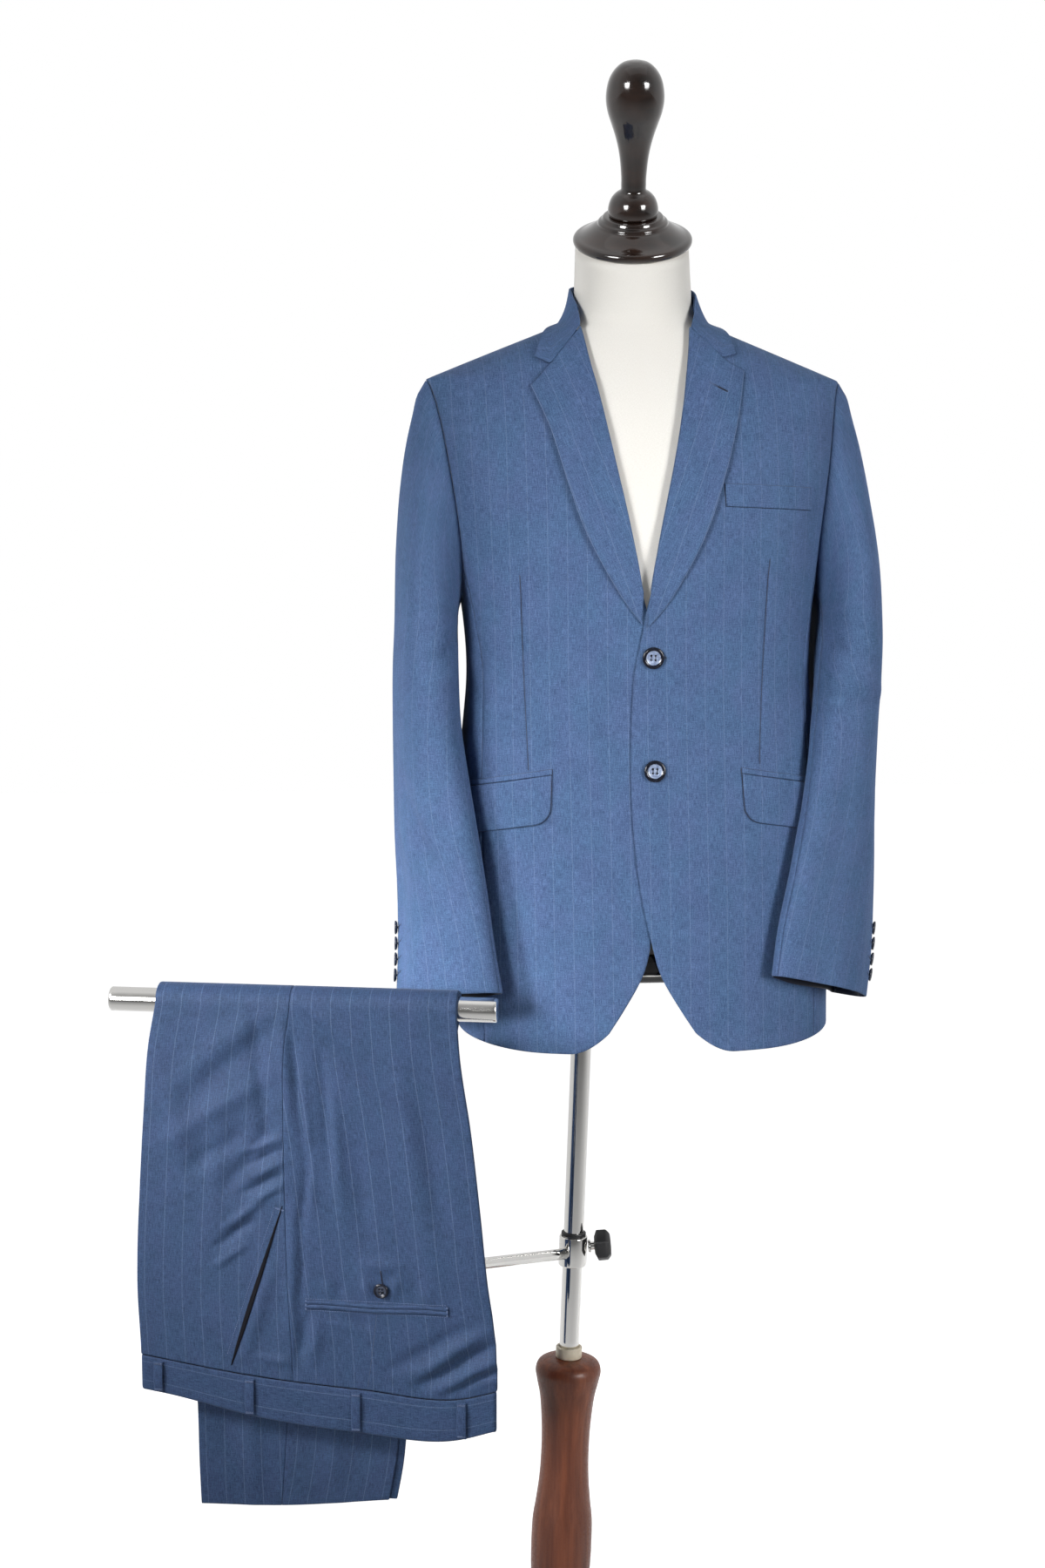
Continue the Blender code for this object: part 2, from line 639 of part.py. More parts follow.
def spaced_curve(points, count):
    """Points at even steps along a smooth curve through the given ones."""
    points = np.asarray(points, float)
    lengths = np.linalg.norm(np.diff(points, axis=0), axis=1)
    at = np.concatenate([[0], np.cumsum(lengths)])
    wanted = np.linspace(0, at[-1], count)
    return np.stack([smooth_curve(list(zip(at, points[:, k])), 1)(wanted) for k in range(3)], axis=1)


def collar_fold(count):
    """The collar's fold from the right gorge round the back to the left one."""
    left = [(out, -forward, height) for out, forward, height in COLLAR_FOLD]
    right = [(-out, forward, height) for out, forward, height in left[-2::-1]]
    line = spaced_curve(left + right, count)[::-1]
    shift = np.stack([middle_x(line[:, 2]), np.full(count, FORM_Y), np.zeros(count)], axis=1)
    ends = np.abs(np.linspace(-1, 1, count)) ** 6
    shift[:, 0] += FRONT_MIDDLE * ends
    return line + shift


def collar_edge(count):
    """The collar's outer edge, on the shoulders and the back."""
    places = []
    for side in ("right", "left"):
        corner = front_place(side, COLLAR_CORNER[1], COLLAR_CORNER[0])
        half_way = SIDES[side] * math.pi / 2
        behind = SIDES[side] * math.radians(140)
        line = [corner, (half_way, COLLAR_EDGE_SHOULDER), (behind, COLLAR_EDGE_SHOULDER),
                (SIDES[side] * math.pi, COLLAR_EDGE_BACK)]
        places.append(torso_out(np.array([(float(a), float(b)) for a, b in line]), 0.0))
    line = np.concatenate([places[0][:-1], places[1][::-1]])
    return spaced_curve(line, count)


def collar_end(side, shares):
    """The collar's end just above the gorge seam: from the fold to the notch and on to its corner."""
    out = np.interp(shares, (0, NOTCH_SHARE, 1), (ROLL_LINE[-1][1], NOTCH[1], COLLAR_CORNER[1]))
    height = np.interp(shares, (0, NOTCH_SHARE, 1), (ROLL_LINE[-1][0], NOTCH[0], COLLAR_CORNER[0]))
    places = front_place(side, out, height + GORGE_GAP)
    return torso_out(places, LAPEL_LIFT + 0.0004 + ROLL_RISE * (1 - shares) ** 2)


def make_collar():
    """The collar's leaf, from its fold round the neck down to its edge on the shoulders and the back."""
    fold, edge = collar_fold(COLLAR_COLUMNS), collar_edge(COLLAR_COLUMNS)
    shares = np.array((0.0, NOTCH_SHARE / 3, NOTCH_SHARE * 2 / 3, NOTCH_SHARE, 1.0))
    rows = []
    for share in shares:
        line = fold + (edge - fold) * share
        line[:, 2] += 0.0022 * math.sin(math.pi * share)
        rows.append(line)
    grid = kept_clear(np.array(rows), JACKET_CLOTH + LAYER_GAP + 0.0013)
    for end, near, side in ((0, 1, "right"), (-1, -2, "left")):
        line = collar_end(side, shares)
        grid[:, near] += (line - grid[:, end]) * 0.30
        grid[:, end] = line
    across, upward = np.gradient(grid, axis=1), np.gradient(grid, axis=0)
    normal = unit(np.cross(upward, across))
    centre = np.stack([middle_x(grid[..., 2]), np.full(grid.shape[:2], FORM_Y), grid[..., 2] - 0.05], axis=-1)
    normal *= np.sign((normal * (grid - centre)).sum(axis=-1, keepdims=True))
    wall("collar", grid, grid - normal * JACKET_CLOTH, SUIT_CLOTH)


def make_collar_stand():
    """The band that stands up round the neck inside the collar and carries its fold."""
    fold = collar_fold(COLLAR_COLUMNS)
    fold = fold[fold[:, 2] > STAND_FROM]
    centre = np.stack([middle_x(fold[:, 2]), np.full(len(fold), FORM_Y)], axis=1)
    way = np.concatenate([unit(fold[:, :2] - centre), np.zeros((len(fold), 1))], axis=1)
    turns = np.arctan2(way[:, 0], -way[:, 1])
    low = STAND_FOOT[0] + (STAND_FOOT[1] - STAND_FOOT[0]) * soft_step(np.abs(turns), 1.2, 2.6)
    foot = torso_out(np.stack([turns, low], axis=1), np.full(len(turns), NECK_GAP + STAND_CLOTH))
    head = fold - way * (JACKET_CLOTH + LAYER_GAP) - np.array([0.0, 0.0, 0.0012])
    grid = np.array([foot + (head - foot) * share for share in (0.0, 0.5, 1.0)])
    wall("collar_stand", grid, grid - way * STAND_CLOTH, SUIT_CLOTH)


# ---------------------------------------------------------------- pockets
def round_from(side, place, length, fall, count):
    """Places along the cloth from one place, falling towards the side."""
    pieces = 4 * (count - 1)
    line = [np.asarray(place, float)]
    for _ in range(pieces):
        ahead = moved_round(line[-1][None], SIDES[side] * length / pieces)[0]
        line.append(ahead - np.array([0.0, fall / pieces]))
    return np.array(line[::4])


def strip_on_front(name, side, row, thickness, columns=8, rows=3, rounded=0.0):
    """A strip lying on the front.  Its row is (inner end out, top height, length, depth, fall, end lean);
    rounded cuts its lower inner corner."""
    out, top, length, depth, fall, lean = row
    reach = np.linspace(0, length, columns)
    places = []
    for v in np.linspace(0, 1, rows):
        start = front_place(side, out + lean * (1 - v), top - depth * (1 - v))
        line = round_from(side, start, length, fall, columns)
        if rounded:
            near = np.clip(1 - reach / rounded, 0, 1)
            line[:, 1] += (1 - v) * rounded * (1 - np.sqrt(1 - near**2))
        places.append(line)
    places = np.array(places)
    return cloth_on_torso(name, places, front_lift(side, places) + LAYER_GAP + thickness, thickness)


def make_pockets():
    strip_on_front("breast_welt", "left", BREAST_WELT, 0.0016)
    for side in SIDES:
        strip_on_front(f"pocket_welt_{side}", side, POCKET_WELT, 0.0016, 10, 2)
        strip_on_front(f"flap_{side}", side, POCKET_FLAP, 0.0022, 10, 4, FLAP_CORNER)


# ---------------------------------------------------------------- sleeves
def sleeve_ring(side, row, height_share):
    """One cross-section of a sleeve: from the outside round the front, the body side and the back."""
    height, out, forward, half_across, half_deep, slant = row
    turn = np.linspace(0, 2 * math.pi, ARMHOLE_STEPS, endpoint=False)
    across = half_across * np.cos(turn)
    ahead = half_deep * np.sin(turn - math.radians(slant))
    tilt = soft_step(height_share, 0.35, 1.0)
    rise = ahead * math.tan(math.radians(CUFF_FORWARD_TILT)) * tilt
    rise = rise - across * math.tan(math.radians(CUFF_SIDE_TILT[side])) * tilt
    x = middle_x(height) + SIDES[side] * (out + across)
    ahead = np.minimum(forward + ahead, SLEEVE_FRONT_LIMIT[side])
    return np.stack([x, FORM_Y - ahead, height + rise], axis=1)


def sleeve_grid(side):
    """Rings of the middle of the sleeve's wall, from the armhole down to the cuff."""
    sections = SLEEVE_SECTIONS[side]
    shares = np.linspace(0, 1, len(sections))
    lower = [sleeve_ring(side, row, share) for row, share in zip(sections, shares)]
    places = np.array([armhole_point(side, step) for step in range(ARMHOLE_STEPS)])
    start = torso_out(places, np.full(ARMHOLE_STEPS, LAYER_GAP + JACKET_CLOTH / 2 + 0.0004))
    end = lower[0]
    turn = np.linspace(0, 2 * math.pi, ARMHOLE_STEPS, endpoint=False)
    top = (1 + np.cos(turn)) / 2
    length = np.linalg.norm(end - start, axis=1)
    leave = np.stack([SIDES[side] * (0.012 + 0.072 * top), -0.034 * np.sin(turn), -0.02 - 0.15 * top], axis=1)
    arrive = np.stack([SIDES[side] * 0.004 * top, 0 * turn, -1.15 * length], axis=1)
    rings = []
    for t in SLEEVE_HEAD_STEPS:
        ring = (2 * t**3 - 3 * t**2 + 1) * start + (t**3 - 2 * t**2 + t) * leave
        rings.append(ring + (3 * t**2 - 2 * t**3) * end + (t**3 - t**2) * arrive)
    rings = np.array(rings + lower)
    fade = np.linspace(0, 1, len(SLEEVE_HEAD_STEPS))[1:]
    least = np.full((len(rings) - 1, 1), SLEEVE_CLEARANCE)
    least[:len(fade), 0] = LAYER_GAP + JACKET_CLOTH / 2 + 0.0006 + 0.0020 * fade
    rings[1:] = facets_clear(rings[1:], least)
    return rings


def make_sleeve(side):
    """The top and under sleeve on either side of the two sleeve seams."""
    rings = sleeve_grid(side)
    around = (np.roll(rings, -1, axis=1) - np.roll(rings, 1, axis=1)) / 2
    down = np.gradient(rings, axis=0)
    normal = unit(np.cross(around, down)) * SIDES[side]
    outside = rings + normal * JACKET_CLOTH / 2
    inside = rings - normal * JACKET_CLOTH / 2
    front_seam, back_seam = SLEEVE_SEAM_STEPS
    steps = {"under": list(range(front_seam, back_seam + 1)),
             "top": [k % ARMHOLE_STEPS for k in range(back_seam, ARMHOLE_STEPS + front_seam + 1)]}
    for part, chosen in steps.items():
        faces = []
        for grid in (outside, inside):
            piece = grid[:, chosen].copy()
            for end, near in ((0, 1), (-1, -2)):
                inward = unit(piece[:, near] - piece[:, end])
                piece[:, end] += inward * SEAM_GAP / 2
            faces.append(piece)
        wall(f"sleeve_{part}_{side}", faces[0], faces[1], SUIT_CLOTH)
    return outside, normal


# ---------------------------------------------------------------- buttons
def make_button(name, place, facing, radius, height, finish=BUTTON):
    """A turned button with a raised rim and a hollow middle."""
    profile = ((0.0, radius * 0.55), (height * 0.25, radius * 0.86), (height * 0.60, radius),
               (height * 0.90, radius * 0.95), (height, radius * 0.84), (height * 0.86, radius * 0.66),
               (height * 0.72, radius * 0.30))
    return turned(name, profile, place, facing, finish, sides=20)


def make_front_buttons():
    for number, height in enumerate(BUTTON_HEIGHTS, start=1):
        place = np.array([float(angle_at(BUTTON_LINE, height)), height])
        normal = torso_normal(place[0], place[1])
        foot = torso_out(place, OVERLAP_LIFT + BUTTON_GAP)
        make_button(f"front_button_{number}", foot, normal, 0.0115, 0.0042)


CUFF_BUTTONS = 4
CUFF_BUTTON_PITCH = 0.0165


def make_cuff_buttons(side, outside, normal):
    """Four buttons in a row above the cuff, on the sleeve's outer edge."""
    line, facings = outside[:, 0], normal[:, 0]
    for number in range(1, CUFF_BUTTONS + 1):
        rise = 0.024 + (CUFF_BUTTONS - number) * CUFF_BUTTON_PITCH
        height = line[-1, 2] + rise
        order = np.argsort(line[:, 2])
        foot = np.array([np.interp(height, line[order, 2], line[order, k]) for k in range(3)])
        facing = unit(np.array([np.interp(height, line[order, 2], facings[order, k]) for k in range(3)]))
        make_button(f"cuff_button_{side}_{number}", foot + facing * BUTTON_GAP, facing, 0.0075, 0.0032)


# ---------------------------------------------------------------- trousers
BAR_ALONG = np.array([math.cos(BAR_YAW), math.sin(BAR_YAW), 0.0])
BAR_FORWARD = np.array([math.sin(BAR_YAW), -math.cos(BAR_YAW), 0.0])
BAR_UP = np.array([0.0, 0.0, 1.0])
BAR_CENTRE = np.array(BAR_MIDDLE)
DRAPE_RADIUS = BAR_RADIUS + 0.0005
FRONT_ROWS, ARC_ROWS, BACK_ROWS = 7, 8, 5


def layer_out(layer):
    return FIRST_LAYER + LAYER_PITCH * layer


def hang(along, drop, out):
    """A point of the trousers.  drop is (part, share): down the front, over the bar or down the back."""
    part, share = drop
    radius = DRAPE_RADIUS + out
    if part == "over":
        turn = math.pi * share
        round_bar = math.cos(turn) * BAR_FORWARD + math.sin(turn) * BAR_UP
        return BAR_CENTRE + along * BAR_ALONG + radius * round_bar
    sign = 1 if part == "front" else -1
    return BAR_CENTRE + along * BAR_ALONG + sign * radius * BAR_FORWARD + (share - BAR_CENTRE[2]) * BAR_UP


band_lower = smooth_curve(BAND_LOWER, 1)
band_upper = smooth_curve(BAND_UPPER, 1)
hem_line = smooth_curve(HEM_LINE, 1)
FRONT_DROP = [smooth_curve(CREASES_FRONT_DROP, column) for column in (1, 2, 3)]
BACK_DROP = [smooth_curve(CREASES_BACK_DROP, column) for column in (1, 2, 3)]


def drape_stations():
    stations = [("front", share) for share in np.linspace(0, 1, FRONT_ROWS + 1)]
    stations += [("over", share) for share in np.linspace(0, 1, ARC_ROWS + 1)[1:-1]]
    stations += [("back", share) for share in np.linspace(1, 0, BACK_ROWS + 1)]
    return stations


def leg_lines(part, height, leg):
    """Front crease, side seam and back crease at this height."""
    lines = FRONT_DROP if part == "front" else BACK_DROP
    slip = LEG_SLIP * (1 - soft_step(height, 0.30, 0.80)) if part == "back" and leg == "right" else 0.0
    return [float(line(height)) + slip for line in lines]


def folded_edge(start, crease, end, layers):
    """Points (along, out, normal) from a seam to the crease, round it and back on the next layer."""
    outer, inner = layers
    toward = math.copysign(1.0, crease - start)
    radius = abs(outer - inner) / 2
    outward = math.copysign(1.0, outer - inner)
    turn_start = crease - toward * (radius + TROUSER_CLOTH / 2)
    points = [(start + (turn_start - start) * t, outer, (0.0, outward)) for t in (0.0, 0.35, 0.72, 1.0)]
    points.append((turn_start + toward * radius, (outer + inner) / 2, (toward, 0.0)))
    points += [(turn_start + (end - turn_start) * t, inner, (0.0, -outward)) for t in (0.0, 0.5, 1.0)]
    return points


def make_trouser_panel(leg, panel):
    """A leg's front or back: from the side seam to the crease, round it and back on the leg's other layer."""
    layers = (layer_out(3), layer_out(2)) if leg == "right" else (layer_out(0), layer_out(1))
    toward = -1 if panel == "front" else 1
    outer_grid, inner_grid = [], []
    for part, share in drape_stations():
        reference = share if part != "over" else 1.0
        outer_row, inner_row = [], []
        height = BAR_CENTRE[2]
        if part == "front":
            height = 0.44 + (BAR_CENTRE[2] - 0.44) * reference
        elif part == "back":
            height = 0.29 + (BAR_CENTRE[2] - 0.29) * reference
        front_crease, seam, back_crease = leg_lines(part, height, leg)
        crease = front_crease if panel == "front" else back_crease
        start = seam + toward * SEAM_GAP / 2
        full = seam + toward * SEAM_GAP / 2
        short = crease - toward * 0.016
        closing = 1.0 if part != "front" else float(soft_step(height, *CROTCH_HEIGHTS))
        end = short + (full - short) * closing
        for along, out, (n_along, n_out) in folded_edge(start, crease, end, layers):
            for row, sign in ((outer_row, 1), (inner_row, -1)):
                w = along + sign * n_along * TROUSER_CLOTH / 2
                o = out + sign * n_out * TROUSER_CLOTH / 2
                if part == "front":
                    low = float(band_upper(w)) + BAND_SEAM_GAP
                    row.append(hang(w, (part, low + (BAR_CENTRE[2] - low) * reference), o))
                elif part == "back":
                    low = float(hem_line(w))
                    row.append(hang(w, (part, low + (BAR_CENTRE[2] - low) * reference), o))
                else:
                    row.append(hang(w, (part, share), o))
        outer_grid.append(outer_row)
        inner_grid.append(inner_row)
    wall(f"trouser_{panel}_{leg}", np.array(outer_grid), np.array(inner_grid), SUIT_CLOTH)


def make_waistband():
    """A flattened ring: the right half in front, the left half behind it."""
    near, far = layer_out(0) - 0.0002, layer_out(3) + 0.0006
    radius = (far - near) / 2
    first = FRONT_DROP[0](0.430) + radius + BAND_CLOTH / 2
    last = FRONT_DROP[2](0.430) - radius - BAND_CLOTH / 2
    loop = []
    for end, sign, face in ((last, 1, far), (first, -1, near)):
        loop += [(w, face, (0.0, sign)) for w in np.linspace(first, last, 9)[::sign]]
        for turn in (math.pi / 3, 2 * math.pi / 3):
            across, out = sign * math.sin(turn), sign * math.cos(turn)
            loop.append((end + radius * across, (near + far) / 2 + radius * out, (across, out)))
    outer_grid, inner_grid = [], []
    for share in (0.0, 0.5, 1.0):
        outer_row, inner_row = [], []
        for along, out, (n_along, n_out) in loop:
            low, high = float(band_lower(along)), float(band_upper(along))
            height = low + (high - low) * share
            for row, sign in ((outer_row, 1), (inner_row, -1)):
                w = along + sign * n_along * BAND_CLOTH / 2
                o = out + sign * n_out * BAND_CLOTH / 2
                row.append(hang(w, ("front", height), o))
        outer_grid.append(outer_row)
        inner_grid.append(inner_row)
    wall("waistband", np.array(outer_grid), np.array(inner_grid), SUIT_CLOTH, ring=True)


BAND_FACE = layer_out(3) + 0.0006 + BAND_CLOTH / 2
LEG_FACE = layer_out(3) + TROUSER_CLOTH / 2


def flat_piece(name, outline, base, thickness, finish):
    """A thin piece on the trousers' front; outline rows are lists of (along, height)."""
    front = np.array([[hang(w, ("front", z), base + thickness) for w, z in row] for row in outline])
    back = np.array([[hang(w, ("front", z), base) for w, z in row] for row in outline])
    return wall(name, front, back, finish)


def make_trouser_details():
    for number, along in enumerate(BELT_LOOPS, start=1):
        low, high = float(band_lower(along)) + 0.0015, float(band_upper(along)) - 0.0030
        half = BELT_LOOP_WIDTH / 2
        outline = [[(along - half, z), (along, z), (along + half, z)] for z in np.linspace(low, high, 3)]
        flat_piece(f"belt_loop_{number}", outline, BAND_FACE + LAYER_GAP, 0.0018, SUIT_CLOTH)
    (top, at_top), (bottom, at_bottom) = SLANT_POCKET
    outline = []
    for share in np.linspace(0, 1, 5):
        height, along = top + (bottom + 0.012 - top) * share, at_top + (at_bottom + 0.004 - at_top) * share
        width = 0.0015 + 0.0035 * math.sin(math.pi * share)
        outline.append([(along - width / 2, height), (along + width / 2, height)])
    flat_piece("slant_pocket_lining", outline, LEG_FACE + LAYER_GAP, 0.0006, DARK_LINING)
    start, stop, top, bottom = BACK_POCKET
    jets = [[(w, z) for w in np.linspace(start, stop, 5)] for z in (bottom, (top + bottom) / 2, top)]
    flat_piece("back_pocket_jets", jets, LEG_FACE + LAYER_GAP, 0.0012, SUIT_CLOTH)
    along, height = BACK_POCKET_BUTTON
    foot = hang(along, ("front", height), LEG_FACE + BUTTON_GAP)
    make_button("back_pocket_button", foot, BAR_FORWARD, 0.0080, 0.0034)


# ---------------------------------------------------------------- form and stand
def form_clearance(height):
    """How far the form lies inside the jacket's outside."""
    snug = JACKET_CLOTH + 0.0028
    roomy = 0.0090
    lower = roomy + (snug - roomy) * soft_step(height, 1.47, 1.525)
    return lower * (1 - soft_step(height, 1.556, 1.574))


SHOULDER_DROP = 0.0045              # the jacket's shoulders stand this far over the form's outer shoulders
FORM_HEIGHTS = (FORM_BOTTOM, 0.96, 1.04, 1.11, 1.17, 1.23, 1.29, 1.35, 1.41, 1.462, 1.4935, 1.505, 1.518,
                1.532, 1.545, 1.556, 1.566, 1.580)
BASE_CAP_PROFILE = (
    # height, in from the jacket's outside
    (BASE_CAP_BOTTOM, 0.0125),
    (0.8625, 0.0095),
    (0.8715, 0.0085),
    (FORM_BOTTOM - SEAM_GAP, 0.0085),
)


def make_form():
    """The limbless torso up to its slanting neck rim, and the black cap that closes it below."""
    turns = np.linspace(0, 2 * math.pi, 28, endpoint=False)
    rings = []
    for height in FORM_HEIGHTS:
        places = np.stack([turns, np.full(len(turns), height)], axis=1)
        ring = torso_out(places, -np.full(len(turns), float(form_clearance(height))))
        outer = soft_step(np.abs(ring[:, 0] - middle_x(height)), 0.08, 0.19)
        ring[:, 2] -= SHOULDER_DROP * outer * soft_step(height, 1.40, 1.49)
        rings.append(ring)
    rings[0][:, 2] = FORM_BOTTOM
    rim = torso(turns, np.full(len(turns), 1.640))
    from_cap = rim - np.array(NECK_CAP_CENTRE)
    across = NECK_CAP_PROFILE[0][0] - SEAM_GAP - from_cap[:, 0] * NECK_AXIS[0] - from_cap[:, 1] * NECK_AXIS[1]
    rim[:, 2] = NECK_CAP_CENTRE[2] + across / NECK_AXIS[2]
    rings.append(rim)
    stacked_rings("form_torso", rings, LINEN)
    cap_rings = []
    for height, inset in BASE_CAP_PROFILE:
        places = np.stack([turns, np.full(len(turns), height)], axis=1)
        ring = torso_out(places, -np.full(len(turns), inset))
        ring[:, 2] = height
        cap_rings.append(ring)
    stacked_rings("form_base_cap", cap_rings, GLOSS_BLACK)


NECK_AXIS = Vector((-0.050, -math.sin(NECK_TILT), math.cos(NECK_TILT))).normalized()
NECK_CAP_PROFILE = (
    # along the axis, radius
    (-0.0060, 0.0595), (-0.0045, 0.0625), (0.0000, 0.0637), (0.0030, 0.0620), (0.0050, 0.0575),
    (0.0150, 0.0410), (0.0175, 0.0372), (0.0200, 0.0366), (0.0222, 0.0335), (0.0240, 0.0325),
    (0.0260, 0.0300),
)
FINIAL_PROFILE = (
    (0.0263, 0.0262), (0.0300, 0.0266), (0.0380, 0.0258), (0.0450, 0.0228), (0.0500, 0.0180),
    (0.0530, 0.0138), (0.0600, 0.0132), (0.0750, 0.0138), (0.0960, 0.0165), (0.1120, 0.0205),
    (0.1240, 0.0245), (0.1360, 0.0284), (0.1485, 0.0303), (0.1600, 0.0294), (0.1705, 0.0264),
    (0.1790, 0.0208), (0.1845, 0.0140), (0.1870, 0.0055),
)
COLUMN_PROFILE = (
    (BASE_TOP + 0.0003, 0.0290), (0.050, 0.0270), (0.090, 0.0290), (0.144, 0.0340), (0.184, 0.0348),
    (0.205, 0.0342), (0.228, 0.0312), (0.255, 0.0284), (0.290, 0.0273), (0.328, 0.0288), (0.355, 0.0318),
    (0.373, 0.0358), (0.383, 0.0373), (0.391, 0.0345), (0.3955, 0.0260), (0.397, 0.0165),
)


def stand_point(height):
    return np.array([STAND_LEAN * height, 0.0, height])


STAND_AXIS = unit(np.array([STAND_LEAN, 0.0, 1.0]))
AXIS_LENGTH = math.sqrt(1 + STAND_LEAN**2)


def make_neck():
    turned("neck_cap", NECK_CAP_PROFILE, NECK_CAP_CENTRE, NECK_AXIS, LACQUER, 32)
    turned("finial", FINIAL_PROFILE, NECK_CAP_CENTRE, NECK_AXIS, LACQUER, 28)


def make_pole():
    """The round base, the turned wooden column on it and the steel pole up to the form."""
    base_profile = ((0.0, BASE_RADIUS - 0.004), (0.004, BASE_RADIUS), (0.012, BASE_RADIUS),
                    (0.018, BASE_RADIUS - 0.006), (BASE_TOP, BASE_RADIUS - 0.020))
    turned("base", base_profile, (0, 0, 0), (0, 0, 1), RED_WOOD, 40)
    column = [(height * AXIS_LENGTH, radius) for height, radius in COLUMN_PROFILE]
    turned("wood_column", column, (0, 0, 0), STAND_AXIS, RED_WOOD, 28, (True, False))
    top = COLUMN_PROFILE[-1][0] * AXIS_LENGTH
    pole_foot = top + SEAM_GAP
    pole_top = (BASE_CAP_BOTTOM - SEAM_GAP) * AXIS_LENGTH
    pole = ((pole_foot, POLE_RADIUS), (pole_top, POLE_RADIUS))
    turned("pole", pole, (0, 0, 0), STAND_AXIS, CHROME, 24, (False, True))


def tube_ring(name, low, high, inner, outer, finish, bevel=0.001):
    """A ring round the pole between two heights."""
    turn = np.linspace(0, 2 * math.pi, 24, endpoint=False)[:, None]
    first = unit(np.cross(STAND_AXIS, (0.0, 1.0, 0.0)))
    second = np.cross(STAND_AXIS, first)
    profile = ((low, inner), (low, outer - bevel), (low + bevel, outer), (high - bevel, outer),
               (high, outer - bevel), (high, inner))
    rows = [stand_point(height) + radius * (np.cos(turn) * first + np.sin(turn) * second)
            for height, radius in profile]
    points = np.array(rows)
    around = points.shape[1]
    faces = []
    for i in range(len(rows)):
        for j in range(around):
            a, b = i * around + j, i * around + (j + 1) % around
            k = (i + 1) % len(rows)
            faces.append((a, b, k * around + (j + 1) % around, k * around + j))
    return solid(name, points.reshape(-1, 3), faces, finish)


CLAMP_HALF = 0.0172
CLAMP_OUTER = 0.0160
KNOB_HEIGHT = 0.0030              # above the clamp's middle
INSERT_HEIGHT = 0.0045
INSERT_RADIUS = 0.0140
FERRULE_HEIGHT = 0.0130
FERRULE_RADIUS = 0.0150


def make_clamp():
    """The clamp ring on the pole with its insert, screw and knob, and the ferrule on the wooden column."""
    bore = POLE_RADIUS + SEAM_GAP
    low, high = CLAMP_HEIGHT - CLAMP_HALF, CLAMP_HEIGHT + CLAMP_HALF
    column_top = COLUMN_PROFILE[-1][0]
    tube_ring("clamp_collar", low, high, bore, CLAMP_OUTER, CHROME)
    insert_top = high + INSERT_HEIGHT
    tube_ring("clamp_insert", high + SEAM_GAP, insert_top, bore, INSERT_RADIUS, BLACK_PLASTIC, 0.0006)
    tube_ring("ferrule", column_top + SEAM_GAP, column_top + FERRULE_HEIGHT, bore, FERRULE_RADIUS, FERRULE)
    centre = stand_point(CLAMP_HEIGHT + KNOB_HEIGHT)
    side_way = unit(np.array([math.cos(math.radians(-8)), math.sin(math.radians(-8)), 0.10]))
    nut = ((CLAMP_OUTER + 0.0014, 0.0075), (CLAMP_OUTER + 0.0040, 0.0075), (CLAMP_OUTER + 0.0042, 0.0048),
           (CLAMP_OUTER + 0.0085, 0.0048))
    turned("clamp_screw", nut, centre, side_way, CHROME, 18)
    start = nut[-1][0] + SEAM_GAP
    knob = ((start, 0.0120), (start + 0.003, 0.0185), (start + 0.014, 0.0185), (start + 0.018, 0.0135))
    turned("clamp_knob", knob, centre, side_way, BLACK_PLASTIC, 6)


def make_bar():
    half = BAR_LENGTH / 2
    profile = ((-half, BAR_RADIUS - 0.0012), (-half + 0.0010, BAR_RADIUS), (half - 0.0010, BAR_RADIUS),
               (half, BAR_RADIUS - 0.0012))
    turned("trouser_bar", profile, BAR_CENTRE, BAR_ALONG, CHROME, 28)


def make_arm():
    """The rod from the clamp, between the hanging layers and up to the bar."""
    top = BAR_CENTRE + ARM_AT_BAR * BAR_ALONG
    top[2] -= BAR_RADIUS + SEAM_GAP
    clamp = stand_point(CLAMP_HEIGHT)
    reach = np.array([top[0] - clamp[0], top[1] - clamp[1], 0.0])
    level = unit(reach)
    climb = math.tan(math.radians(10.6))
    start = clamp + level * (CLAMP_OUTER + 0.0016)
    corner = clamp + reach + np.array([0, 0, climb * np.linalg.norm(reach)])
    slope = unit(corner - start)
    bend = 0.024
    before, after = corner - slope * bend, corner + np.array([0, 0, bend])
    route = [start]
    for share in np.linspace(0, 1, 7):
        route.append((1 - share) ** 2 * before + 2 * share * (1 - share) * corner + share**2 * after)
    route.append(top)
    curve = bpy.data.curves.new("bar_arm", "CURVE")
    curve.dimensions = "3D"
    curve.bevel_depth = ARM_RADIUS
    curve.bevel_resolution = 4
    curve.use_fill_caps = True
    line = curve.splines.new("POLY")
    line.points.add(len(route) - 1)
    for point, place in zip(line.points, route):
        point.co = (*place, 1)
    curve.materials.append(CHROME)
    bpy.context.scene.collection.objects.link(bpy.data.objects.new("bar_arm", curve))


# ---------------------------------------------------------------- everything
for side in SIDES:
    make_front(side)
    make_side(side)
    make_back(side)
    make_lapel(side)
    make_cuff_buttons(side, *make_sleeve(side))
make_collar()
make_collar_stand()
make_pockets()
make_front_buttons()
for leg in SIDES:
    for panel in ("front", "back"):
        make_trouser_panel(leg, panel)
make_waistband()
make_trouser_details()
make_form()
make_neck()
make_pole()
make_clamp()
make_bar()
make_arm()
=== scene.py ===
# %% [markdown]
# # A two-piece suit on a dress form
# The suit is a jacket on a limbless form and the matching trousers, folded over the rail of the same
# stand.  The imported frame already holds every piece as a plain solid.  This lesson puts a finer piece
# in the place of each one: cloth with its creases, seams and stripes, turned buttons, lacquer, chrome
# and wood.  Everything stays in metres and in the frame's own axes, so nothing has to be fitted.

# %% Load the frame
import math

